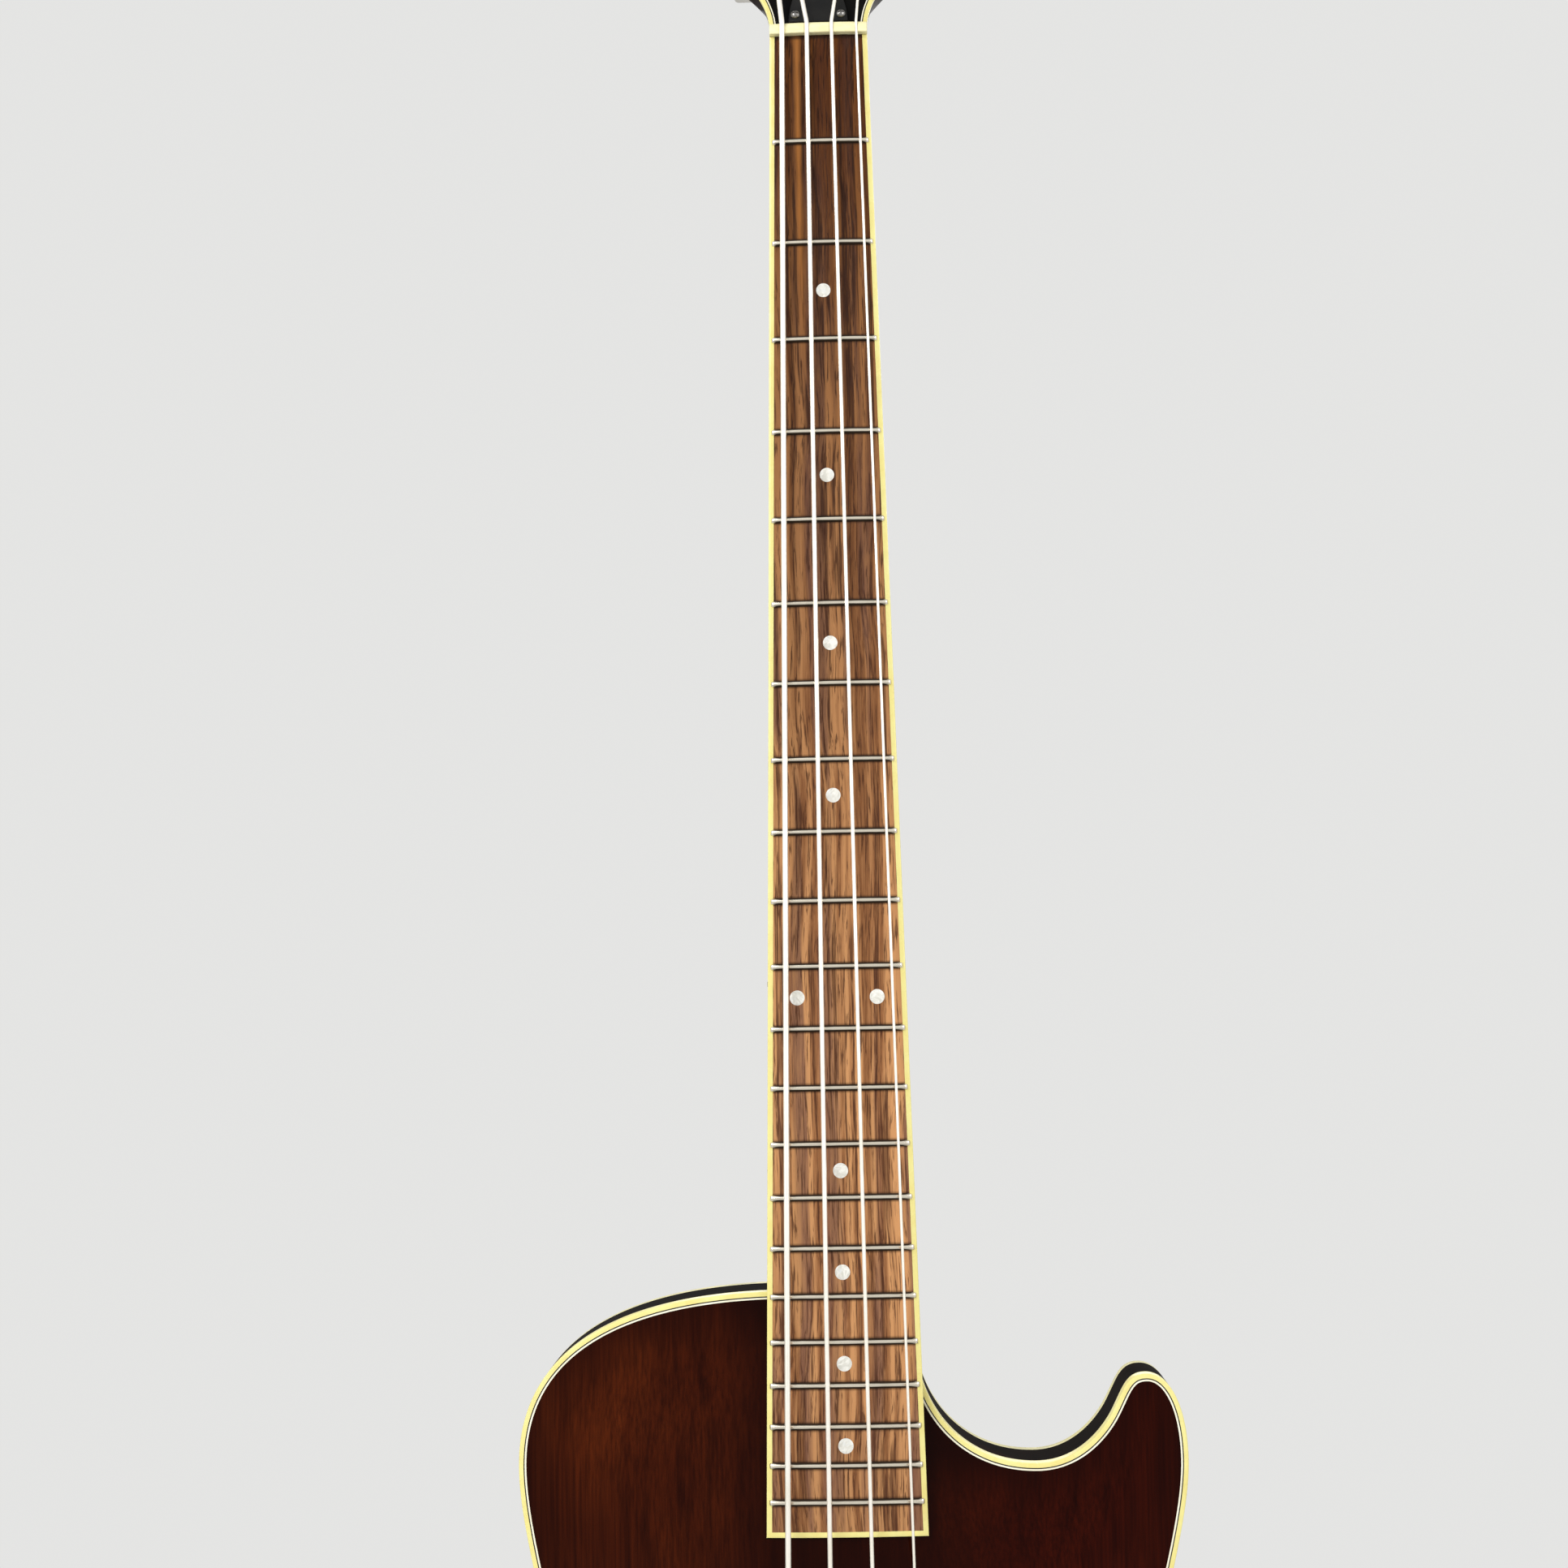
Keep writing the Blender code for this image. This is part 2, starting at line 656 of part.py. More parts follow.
def lower_string_path(index):
    """World points: the ball end's two faces, the way out of the tailpiece, the saddle and the nut."""
    crest = saddle_crest(index)
    end_z = TAILPIECE_Z - 0.5 * TAILPIECE_WIDTH
    ball = Vector((crest.x, TAIL_HOLE_Y, end_z + GAP))
    shoulder = Vector((crest.x, TAIL_HOLE_Y, ball.z + BALL_LENGTH))
    throat = Vector((crest.x, TAIL_HOLE_Y, shoulder.z + 0.0001))
    leave = Vector((crest.x, TAIL_HOLE_Y, TAILPIECE_Z + 0.5 * TAILPIECE_WIDTH + 0.002))
    rise = (crest - leave).normalized()
    nut_front = NECK_MATRIX @ string_place(index, 0.0)
    run = (nut_front - crest).normalized()
    bend = 0.0012
    return [ball, shoulder, throat, leave, crest - rise * bend, crest, crest + run * bend, nut_front]


def winding_path(index):
    """Head-frame points from the nut up to the post, round it and into its slot."""
    name = STRING_NAMES[index]
    radius = STRING_RADIUS[name]
    post_x, post_z, side = tuner_place(index)
    coil = POST_RADIUS + radius + GAP
    to_head = HEAD_MATRIX.inverted() @ NECK_MATRIX
    start = to_head @ string_place(index, NUT_THICK)
    start.y += 0.0004
    # the string meets the post on the side that faces the centre line
    dx = start.x - post_x
    dz = start.z - post_z
    distance = math.hypot(dx, dz)
    heading = math.atan2(dz, dx)
    meet = heading + (1.0 if side < 0 else -1.0) * math.acos(coil / distance)
    spin = 1.0 if side < 0 else -1.0
    step = 2.0 * radius + WINDING_STEP_GAP
    turns = HEAVY_STRING_TURN_COUNT if name in ("e", "a") else LIGHT_STRING_TURN_COUNT
    count = turns * TURN_POINTS
    points = [start]
    for k in range(count + 1):
        angle = meet + spin * FULL_TURN * k / TURN_POINTS
        height = WINDING_EXIT_HEIGHT + step * k / TURN_POINTS
        points.append(Vector((post_x + coil * math.cos(angle), -height, post_z + coil * math.sin(angle))))
    # leave the coil outwards, turn in through the slot and cross the post
    top = WINDING_EXIT_HEIGHT + step * turns + step
    last = meet + spin * FULL_TURN * turns
    bend = radius + 0.0018
    slot_turn = last + spin * math.radians(150.0)
    for k, share in enumerate((0.2, 0.4, 0.6, 0.8)):
        angle = last + spin * math.radians(112.0) * share
        out = coil + (POST_RADIUS + bend - coil + 0.0010) * share
        height = top - step + step * min(1.0, share * 1.1)
        points.append(Vector((post_x + out * math.cos(angle), -height, post_z + out * math.sin(angle))))
    radial = Vector((math.cos(slot_turn), 0.0, math.sin(slot_turn)))
    tangent = Vector((-radial.z, 0.0, radial.x)) * spin
    centre = Vector((post_x, -top, post_z))
    pivot = centre + radial * (POST_RADIUS + 0.0004) - tangent * bend
    for k in range(5):
        angle = math.radians(15.0 + 75.0 * k / 4.0)
        points.append(pivot + radial * bend * math.cos(angle) + tangent * bend * math.sin(angle))
    points.append(centre - radial * (POST_RADIUS - 0.0012))
    return points, slot_turn, top


def string_path(index):
    lower = lower_string_path(index)
    upper, _, _ = winding_path(index)
    return lower + [HEAD_MATRIX @ point for point in upper]


def least_gap(points, radius, skip):
    """Closest approach of a tube to itself between points that are not neighbours."""
    least = 1.0
    for i, here in enumerate(points):
        for there in points[i + skip:]:
            least = min(least, (here - there).length)
    return least - 2.0 * radius


# Body pieces

def sound_hole(side):
    """An f-shaped hole: a leaning stem whose ends curl round two eyes."""
    half = 0.5 * SOUND_HOLE_LENGTH
    eye = SOUND_HOLE_EYE_RADIUS
    stem = SOUND_HOLE_STEM
    nodes = []
    steps = 16
    for k in range(steps + 1):
        t = -1.0 + 2.0 * k / steps
        centre_x = 0.0085 * math.sin(t * math.pi * 0.62)
        width = 0.5 * stem * (1.0 - 0.55 * abs(t) ** 2.2)
        nodes.append((centre_x + width, t * (half - eye)))
    right = nodes
    left = []
    for k in range(steps, -1, -1):
        t = -1.0 + 2.0 * k / steps
        centre_x = 0.0085 * math.sin(t * math.pi * 0.62)
        width = 0.5 * stem * (1.0 - 0.55 * abs(t) ** 2.2)
        left.append((centre_x - width, t * (half - eye)))
    return right, left


def eye_cutter(x, z, y_front, y_back):
    circle = [(x + SOUND_HOLE_EYE_RADIUS * math.cos(FULL_TURN * k / 14),
               z + SOUND_HOLE_EYE_RADIUS * math.sin(FULL_TURN * k / 14)) for k in range(14)]
    return slab(circle, y_front, y_back)


def sound_hole_cutters(side):
    right, left = sound_hole(side)
    front = DECK_Y - 0.006
    back = RIM_FRONT_Y + PLATE_THICK + 0.003
    lean = side * SOUND_HOLE_LEAN
    place = Matrix.Translation((side * SOUND_HOLE_X, 0.0, SOUND_HOLE_Z)) @ Matrix.Rotation(lean, 4, "Y")
    mirror = Matrix.Diagonal((side, 1.0, 1.0, 1.0))
    end_x, end_z = right[-1]
    stem = slab(right + left, front, back)
    eyes = []
    for sign in (-1.0, 1.0):
        x = sign * (end_x - SOUND_HOLE_EYE_RADIUS * 0.72)
        eyes.append(eye_cutter(x, sign * end_z, front, back))
    pieces = [outward(moved(moved(bm, mirror), place)) for bm in [stem] + eyes]
    return pieces


def build_body(paints, neck_frame):
    rings_top = (0.0, 0.09, 0.20, 0.32, 0.46, ARCH_LAST_RING)
    rings_back = (0.0, 0.11, 0.25, 0.42, ARCH_LAST_RING)
    top = add_piece("body_top", arched_plate(RIM_FRONT_Y, ARCH_TOP, PLATE_THICK, -1.0, rings_top),
                    paints["top"])
    add_piece("body_back", arched_plate(RIM_BACK_Y, ARCH_BACK, PLATE_THICK, 1.0, rings_back),
              paints["dark_lacquer"])
    top_binding = add_piece(
        "top_binding", rim_loop(binding_section(RIM_FRONT_Y, RIM_FRONT_Y + BODY_BINDING_DEPTH)),
        paints["cream"])
    add_piece(
        "back_binding", rim_loop(binding_section(RIM_BACK_Y - BODY_BINDING_DEPTH, RIM_BACK_Y)),
        paints["cream"])

    # the sides carry their glued linings, front and back, as lips of one section
    wall_front = RIM_FRONT_Y + BODY_BINDING_DEPTH + GAP
    wall_back = RIM_BACK_Y - BODY_BINDING_DEPTH - GAP
    lip_front = RIM_FRONT_Y + PLATE_THICK + GAP
    lip_back = RIM_BACK_Y - PLATE_THICK - GAP
    ledge = BODY_BINDING_WIDTH + GAP
    lip = ledge + LINING_WIDTH
    section = [(0.0, wall_front), (0.0, wall_back), (ledge, wall_back), (ledge, lip_back),
               (lip, lip_back), (lip, lip_back - LINING_DEPTH), (SIDE_WALL, lip_back - LINING_DEPTH),
               (SIDE_WALL, lip_front + LINING_DEPTH), (lip, lip_front + LINING_DEPTH),
               (lip, lip_front), (ledge, lip_front), (ledge, wall_front)]
    sides = add_piece("body_sides", rim_loop(section), paints["dark_lacquer"])

    # blocks at the neck and the tail, shaped to the inside of the rim and glued to it
    core = add_cutter("core_shape", slab(drawn_in(OUTLINE, 0.5 * SIDE_WALL), lip_front, lip_back))
    plate_core = add_cutter("plate_core_shape", slab(drawn_in(OUTLINE, ledge + 0.5 * LINING_WIDTH),
                                                     lip_front, lip_back))
    low = SHOULDER_Z - NECK_BLOCK_LENGTH
    corners = (("neck_block_shape", -NECK_BLOCK_HALF_WIDTH, low, CUTAWAY_WALL_X, SHOULDER_Z),
               ("tail_block_shape", -TAIL_BLOCK_HALF_WIDTH, TAIL_Z, TAIL_BLOCK_HALF_WIDTH,
                TAIL_Z + TAIL_BLOCK_LENGTH))
    inset_front = wall_front + 0.0004
    inset_back = wall_back - 0.0004
    for name, x0, z0, x1, z1 in corners:
        deep = add_cutter(name, solid_box((x0, inset_front, z0), (x1, inset_back, z1)))
        combine(deep, core, "INTERSECT")
        combine(sides, deep, "UNION")
        box = solid_box((x0, lip_front - 0.001, z0), (x1, lip_back + 0.001, z1))
        faced = add_cutter(name + "_faces", box)
        combine(faced, plate_core, "INTERSECT")
        combine(sides, faced, "UNION")

    # a patch is glued under the top where the bridge's posts stand
    x_mid = STRING_SHIFT_BRIDGE
    patch_top = DECK_Y + 0.5 * PLATE_THICK
    patch_low = DECK_Y + PLATE_THICK + PATCH_DEPTH
    patch = solid_box((x_mid - PATCH_HALF_LENGTH, patch_top, BRIDGE_Z - PATCH_HALF_WIDTH),
                      (x_mid + PATCH_HALF_LENGTH, patch_low, BRIDGE_Z + PATCH_HALF_WIDTH))
    combine(top, add_cutter("bridge_patch", patch), "UNION")

    # the neck's tongue and the board's underside are let into the top
    slot = add_cutter("tongue_room", tongue_room(), neck_frame)
    for piece in (top, top_binding, sides):
        combine(piece, slot)

    # holes for the bridge's posts, the pickup and the controls
    openings = []
    for x, z in bridge_post_places():
        way = axis_to((0.0, -1.0, 0.0), (x, DECK_Y, z))
        openings.append(moved(bore(STUD_RADIUS, -POST_BORE_DEPTH, 0.004), way))
    z = -PICKUP_AT * math.cos(NECK_ANGLE)
    openings.append(solid_box((-RING_HALF_LENGTH + 0.0060, DECK_Y - 0.01, z - PICKUP_HALF_WIDTH - 0.002),
                              (RING_HALF_LENGTH - 0.0020, DECK_Y + 0.02, z + PICKUP_HALF_WIDTH + 0.002)))
    for x, z in KNOB_PLACES.values():
        openings.append(moved(bore(SHAFT_RADIUS, -0.012, 0.012), top_frame(x, z)))
    combine(top, add_cutter("top_holes", gathered(openings)))
    for side, label in ((-1.0, "bass"), (1.0, "treble")):
        for i, bm in enumerate(sound_hole_cutters(side)):
            combine(top, add_cutter(f"sound_hole_{label}_{i}", bm))


def tongue_room():
    """Space for the neck's tongue, with the board's width above it, in the neck's frame."""
    rings = []
    for z in (-BODY_JOINT + 0.022, -BOARD_LENGTH - GAP):
        wide = board_half_width(z) + GAP
        narrow = TONGUE_HALF_WIDTH + GAP
        shelf = BOARD_THICK + GAP
        deep = BOARD_THICK + GAP + TONGUE_DEPTH + GAP
        rings.append([(-wide, -0.03, z), (wide, -0.03, z), (wide, shelf, z), (narrow, shelf, z),
                      (narrow, deep, z), (-narrow, deep, z), (-narrow, shelf, z), (-wide, shelf, z)])
    return loft(rings)


def bridge_post_places():
    return [(side * BRIDGE_STUD_X + STRING_SHIFT_BRIDGE, BRIDGE_Z) for side in (-1.0, 1.0)]


# Neck and headstock

def head_outline():
    east_up = math.radians(83.0)
    north = math.pi / 2
    half = bezier_chain([
        (0.5 * NUT_WIDTH, 0.0006, east_up, 0.0, 0.020, 5),
        (HEAD_SHOULDER_HALF_WIDTH, HEAD_SHOULDER_Z, north, 0.020, 0.030, 4),
        (HEAD_END_HALF_WIDTH, HEAD_END_Z, math.radians(94.0), 0.030, 0.014, 5),
        (0.0, HEAD_LENGTH, math.pi, 0.018, 0.0, 0),
    ], False)
    mirrored = [(-x, z) for x, z in reversed(half[:-1])]
    return list(reversed(half + mirrored))


def neck_section(half_width, top, depth, z):
    """A rounded D section: flat under the board, full at the shoulders."""
    points = []
    steps = 10
    for k in range(steps + 1):
        angle = math.pi * k / steps
        x = half_width * math.cos(angle)
        y = top + (depth - top) * math.sin(angle) ** 0.86
        points.append(Vector((x, y, z)))
    return points


def build_neck(paints, neck_frame, head_frame):
    top = BOARD_THICK + GAP
    nut_end = NUT_THICK + GAP
    depth_slope = (NECK_DEPTH_HEEL - NECK_DEPTH_NUT) / (BODY_JOINT - HEEL_LENGTH)
    stations = []
    run_in = 0.022
    sink = math.tan(HEAD_ANGLE) * run_in
    stations.append((run_in, 0.5 * NUT_WIDTH - 0.0006, top + sink + 0.002, NECK_DEPTH_NUT + sink - 0.001))
    stations.append((nut_end, 0.5 * NUT_WIDTH - GAP, top, NECK_DEPTH_NUT))
    for z in (-0.04, -0.22, -0.40, -BODY_JOINT + HEEL_LENGTH):
        stations.append((z, board_half_width(z), top, NECK_DEPTH_NUT - depth_slope * z))
    # the heel sweeps back to the body's full depth and ends flat against the rim
    heel_back = BOARD_RISE + RIM_DEPTH - 0.001
    for share, swell in ((0.35, 0.06), (0.60, 0.28), (0.80, 0.60), (0.93, 0.88), (1.0, 1.0)):
        z = -BODY_JOINT + HEEL_RUN_OUT + HEEL_LENGTH * (1.0 - share)
        depth = NECK_DEPTH_HEEL + (heel_back - NECK_DEPTH_HEEL) * swell
        stations.append((z, board_half_width(z), top, depth))
    rings = [neck_section(half, face, depth, z) for z, half, face, depth in stations]
    for point in rings[-1]:
        point.z = (SHOULDER_Z + GAP + point.y * math.sin(NECK_ANGLE)) / math.cos(NECK_ANGLE)
    neck = add_piece("neck", loft(rings), paints["mahogany"], neck_frame)

    tongue = solid_box((-TONGUE_HALF_WIDTH, top + TONGUE_SINK, -BOARD_LENGTH),
                       (TONGUE_HALF_WIDTH, top + TONGUE_DEPTH, -BODY_JOINT + TONGUE_ROOT))
    combine(neck, add_cutter("tongue_shape", tongue, neck_frame), "UNION")
    head = slab(head_outline(), 0.0, HEAD_THICK)
    combine(neck, add_cutter("head_shape", head, head_frame), "UNION")

    # holes for the tuners' sleeves, the truss rod and the pocket over its nut
    bores = []
    for i in range(4):
        x, z, _ = tuner_place(i)
        way = axis_to((0.0, -1.0, 0.0), (x, 0.0, z))
        bores.append(moved(bore(SLEEVE_RADIUS, -HEAD_THICK - 0.004, 0.004), way))
    half = TRUSS_POCKET_HALF_WIDTH
    bores.append(solid_box((-half, -0.003, -0.0015), (half, TRUSS_POCKET_DEPTH, TRUSS_POCKET_LENGTH)))
    combine(neck, add_cutter("head_bores", gathered(bores), head_frame))
    rod_bore = bore(TRUSS_ROD_RADIUS, -TRUSS_ROD_LENGTH - GAP, NUT_THICK + 0.001, 10)
    moved(rod_bore, Matrix.Translation((0.0, TRUSS_ROD_DEPTH, 0.0)))
    combine(neck, add_cutter("rod_bore", rod_bore, neck_frame))


def build_truss(paints, neck_frame, head_frame):
    nut_low = NUT_THICK + 0.003
    nut_high = nut_low + TRUSS_NUT_LENGTH
    bar = turned([(0.0, -TRUSS_ROD_LENGTH), (TRUSS_ROD_RADIUS, -TRUSS_ROD_LENGTH),
                  (TRUSS_ROD_RADIUS, nut_low), (TRUSS_NUT_RADIUS, nut_low), (TRUSS_NUT_RADIUS, nut_high),
                  (TRUSS_KEY_RADIUS, nut_high), (TRUSS_KEY_RADIUS, nut_high - 0.006),
                  (0.0, nut_high - 0.006)], 10)
    place = Matrix.Translation((0.0, TRUSS_ROD_DEPTH, 0.0))
    add_piece("truss_rod", bar, paints["steel"], neck_frame, place)
    cover = slab(cover_outline(), -GAP - TRUSS_COVER_THICK, -GAP)
    add_piece("truss_rod_cover", cover, paints["black_gloss"], head_frame)


def cover_outline():
    """A bell with a flat foot, generic in shape."""
    half = bezier_chain([
        (0.0130, 0.0016, math.radians(90.0), 0.0, 0.010, 5),
        (0.0066, 0.0300, math.radians(100.0), 0.012, 0.008, 4),
        (0.0, 0.0480, math.pi, 0.006, 0.0, 0),
    ], False)
    return list(reversed(half + [(-x, z) for x, z in reversed(half[:-1])]))


def build_tuners(paints, head_frame):
    for i, name in enumerate(STRING_NAMES):
        x, z, side = tuner_place(i)
        out_of_face = axis_to((0.0, -1.0, 0.0), (x, 0.0, z))
        _, slot_turn, top = winding_path(i)
        # post with its worm wheel, turned about the post's own axis
        foot = -(GEAR_Y + 0.5 * GEAR_THICK)
        profile = [(0.0, foot - 0.0012), (0.0030, foot - 0.0012), (0.0030, foot), (GEAR_RADIUS, foot),
                   (GEAR_RADIUS, foot + GEAR_THICK), (POST_RADIUS, foot + GEAR_THICK),
                   (POST_RADIUS, POST_HEIGHT - 0.0014), (POST_TOP_RADIUS, POST_HEIGHT - 0.0008),
                   (POST_TOP_RADIUS, POST_HEIGHT - 0.0002), (POST_RADIUS, POST_HEIGHT), (0.0, POST_HEIGHT)]
        post = add_piece(f"tuner_post_{name}", turned(profile, 16), paints["nickel"], head_frame,
                         out_of_face)
        width = STRING_RADIUS[name] + 0.0004
        floor = top - STRING_RADIUS[name] - GAP
        cut = solid_box((-0.010, -width, floor), (0.010, width, POST_HEIGHT + 0.002))
        room = add_cutter(f"post_slot_{name}", moved(cut, turn_on_post(slot_turn)), head_frame)
        room.matrix_local = out_of_face
        combine(post, room)
        # key: worm and shaft in the housing, button outside the head's edge
        edge = head_half_width(z + WORM_OFFSET)
        reach = edge - abs(x) + KEY_REACH
        half = 0.5 * WORM_LENGTH
        worm = turned([(0.0, -half), (WORM_RADIUS, -half), (WORM_RADIUS, half), (KEY_SHAFT_RADIUS, half),
                       (KEY_SHAFT_RADIUS, reach - 0.004), (0.0034, reach - 0.0036), (0.0034, reach + 0.001),
                       (0.0, reach + 0.001)], 8)
        key_place = axis_to((side, 0.0, 0.0), (x, GEAR_Y, z + WORM_OFFSET))
        key = add_piece(f"tuner_key_{name}", worm, paints["nickel"], head_frame, key_place)
        grip = add_cutter(f"key_grip_{name}", moved(button_shape(), Matrix.Translation((0.0, 0.0, reach))),
                          head_frame)
        grip.matrix_local = key_place
        combine(key, grip, "UNION")

    # one housing for each side's pair: two boxed gear cases on a strip, each with its sleeve
    for label, pair in (("bass", (0, 1)), ("treble", (3, 2))):
        lows = [tuner_place(i) for i in pair]
        strip_x = 0.5 * (lows[0][0] + lows[1][0])
        between = CASE_HALF_WIDTH - 0.0030
        strip_low = (strip_x - CASE_STRIP_HALF_WIDTH, CASE_FACE_Y + 0.0003, lows[0][1] + between)
        strip_high = (strip_x + CASE_STRIP_HALF_WIDTH, CASE_FACE_Y + CASE_STRIP_THICK,
                      lows[1][1] - between)
        strip = solid_box(strip_low, strip_high)
        housing = add_piece(f"tuner_housing_{label}", strip, paints["nickel"], head_frame)
        cases = []
        rooms = []
        sleeves = []
        for x, z, side in lows:
            low = Vector((x - CASE_HALF_WIDTH, CASE_FACE_Y, z - CASE_HALF_WIDTH))
            high = Vector((x + CASE_HALF_WIDTH, CASE_FACE_Y + CASE_DEPTH, z + WORM_OFFSET + 0.0060))
            wall = Vector((CASE_WALL, CASE_WALL, CASE_WALL))
            cases.append(rounded(solid_box(low, high), 0.0010))
            rooms.append(solid_box(low + wall, high - wall))
            wall_x = x + side * (CASE_HALF_WIDTH - 0.002)
            way_out = axis_to((side, 0.0, 0.0), (wall_x, GEAR_Y, z + WORM_OFFSET))
            rooms.append(moved(bore(KEY_SHAFT_RADIUS, 0.0, 0.006, 8), way_out))
            out_of_face = axis_to((0.0, -1.0, 0.0), (x, 0.0, z))
            sleeves.append(moved(rod(SLEEVE_RADIUS, -CASE_FACE_Y - 0.0006, -0.0010), out_of_face))
            rooms.append(moved(bore(POST_RADIUS, -CASE_FACE_Y - 0.0020, 0.004), out_of_face))
        combine(housing, add_cutter(f"cases_{label}", gathered(cases), head_frame), "UNION")
        combine(housing, add_cutter(f"sleeves_{label}", gathered(sleeves), head_frame), "UNION")
        for k, room in enumerate(rooms):
            combine(housing, add_cutter(f"case_room_{label}_{k}", room, head_frame))


def turn_on_post(slot_turn):
    """Turn the slot's cutter, in the post's own frame, to the way the string crosses the post."""
    way = Vector((math.cos(slot_turn), 0.0, math.sin(slot_turn)))
    local = axis_to((0.0, -1.0, 0.0), (0.0, 0.0, 0.0)).inverted() @ way
    return Matrix.Rotation(math.atan2(local.y, local.x), 4, "Z")


def head_half_width(z):
    """Half the head's width at a height, read from its outline."""
    outline = head_outline()
    best = 0.0
    for (x0, z0), (x1, z1) in zip(outline, outline[1:]):
        if min(z0, z1) <= z <= max(z0, z1) and abs(z1 - z0) > 1e-9:
            best = max(best, x0 + (x1 - x0) * (z - z0) / (z1 - z0))
    return best


def button_shape():
    """A rounded grip that widens away from its shaft."""
    sections = []
    for share, width in ((0.0, 0.42), (0.22, 0.62), (0.60, 1.0), (0.85, 0.94), (1.0, 0.62)):
        half_w = 0.5 * BUTTON_WIDTH * width
        half_t = 0.5 * BUTTON_THICK * (0.75 + 0.25 * width)
        ring = []
        for k in range(8):
            angle = FULL_TURN * (k + 0.5) / 8
            ring.append(Vector((half_t * math.cos(angle), half_w * math.sin(angle), share * BUTTON_LENGTH)))
        sections.append(ring)
    return loft(sections)


# Fingerboard, frets and nut

def cambered_ring(half_width, z, y_bottom, lift=0.0, steps=4):
    ring = [Vector((half_width, y_bottom, z)), Vector((-half_width, y_bottom, z))]
    for k in range(steps + 1):
        x = -half_width + 2.0 * half_width * k / steps
        ring.append(Vector((x, camber(x) - lift, z)))
    return ring


def build_board(paints, neck_frame):
    inner_end = -BOARD_LENGTH + BOARD_BINDING + GAP
    inset = BOARD_BINDING + GAP
    rings = [cambered_ring(board_half_width(z) - inset, z, BOARD_THICK) for z in (-GAP, inner_end)]
    board = add_piece("fingerboard", loft(rings), paints["rosewood"], neck_frame)
    slots = []
    for number in range(1, FRET_COUNT + 1):
        z = fret_at(number)
        half = board_half_width(z) - FRET_INSET
        tang_half = board_half_width(z) - inset - 2 * GAP
        slots.append(solid_box((-half - 0.003, -0.004, z - 0.5 * TANG_WIDTH - GAP),
                               (half + 0.003, TANG_DEPTH + camber(half) + 2 * GAP,
                                z + 0.5 * TANG_WIDTH + GAP)))
        add_piece(f"fret_{number:02d}", fret_shape(z, half, tang_half), paints["nickel"], neck_frame)
    combine(board, add_cutter("fret_slots", gathered(slots), neck_frame))

    # a U of binding round both sides and the body end
    outer = []
    inner = []
    for z in (-GAP, -BOARD_LENGTH):
        outer.append(board_half_width(z))
    for z in (-GAP, -BOARD_LENGTH + BOARD_BINDING):
        inner.append(board_half_width(z) - BOARD_BINDING)
    low = -BOARD_LENGTH
    plan = [(-outer[0], -GAP), (-inner[0], -GAP), (-inner[1], low + BOARD_BINDING),
            (inner[1], low + BOARD_BINDING), (inner[0], -GAP), (outer[0], -GAP), (outer[1], low),
            (-outer[1], low)]
    binding = slab(plan, camber(outer[1]), BOARD_THICK)
    for vert in binding.verts:
        if vert.co.y < 0.5 * BOARD_THICK:
            vert.co.y = camber(vert.co.x)
    add_piece("fingerboard_binding", binding, paints["cream"], neck_frame)


def fret_shape(z, half, tang_half):
    """A crown bent to the board's camber; its tang stops short of the binding."""
    rows = []
    bm = bmesh.new()
    for x in (-half, -tang_half, -0.5 * half, 0.0, 0.5 * half, tang_half, half):
        base = camber(x) - GAP
        section = [(base, -0.5 * FRET_WIDTH), (base - 0.62 * FRET_HEIGHT, -0.34 * FRET_WIDTH),
                   (base - FRET_HEIGHT, 0.0), (base - 0.62 * FRET_HEIGHT, 0.34 * FRET_WIDTH),
                   (base, 0.5 * FRET_WIDTH), (base, 0.5 * TANG_WIDTH), (base, -0.5 * TANG_WIDTH),
                   (base + TANG_DEPTH, 0.5 * TANG_WIDTH), (base + TANG_DEPTH, -0.5 * TANG_WIDTH)]
        in_slot = abs(x) <= tang_half
        count = len(section) if in_slot else len(section) - 2
        rows.append([bm.verts.new((x, y, z + dz)) for y, dz in section[:count]])
    for near, far in zip(rows, rows[1:]):
        in_slot = len(near) == len(far)
        loop = (0, 1, 2, 3, 4, 5, 7, 8, 6) if in_slot else (0, 1, 2, 3, 4, 5, 6)
        for i, j in zip(loop, loop[1:] + loop[:1]):
            bm.faces.new((near[i], near[j], far[j], far[i]))
    for row in (rows[1], rows[-2]):
        bm.faces.new((row[5], row[7], row[8], row[6]))
    for row in (rows[0], rows[-1]):
        bm.faces.new(row)
    return outward(bm)


def build_nut(paints, neck_frame):
    half = 0.5 * NUT_WIDTH
    crown = STRING_HEIGHT_NUT + 2.0 * STRING_RADIUS["g"]
    low = BOARD_THICK
    rings = []
    for x in (-half, -half * 0.5, 0.0, half * 0.5, half):
        fall = camber(x)
        rings.append([Vector((x, low, 0.0)), Vector((x, -crown + fall, 0.0)),
                      Vector((x, -crown + fall, 0.4 * NUT_THICK)),
                      Vector((x, -crown + 0.0014 + fall, NUT_THICK)), Vector((x, low, NUT_THICK))])
    nut = add_piece("nut", loft(rings), paints["bone"], neck_frame)
    for i, name in enumerate(STRING_NAMES):
        inverse = NECK_MATRIX.inverted()
        path = [inverse @ point for point in string_path(i)[6:10]]
        before = path[1] + (path[0] - path[1]).normalized() * 0.006
        after = path[2] + (path[3] - path[2]).normalized() * 0.006
        channel = tube_mesh([before, path[1], path[2], after], STRING_RADIUS[name] + GAP)
        combine(nut, add_cutter(f"nut_slot_{name}", channel, neck_frame))


# Strings

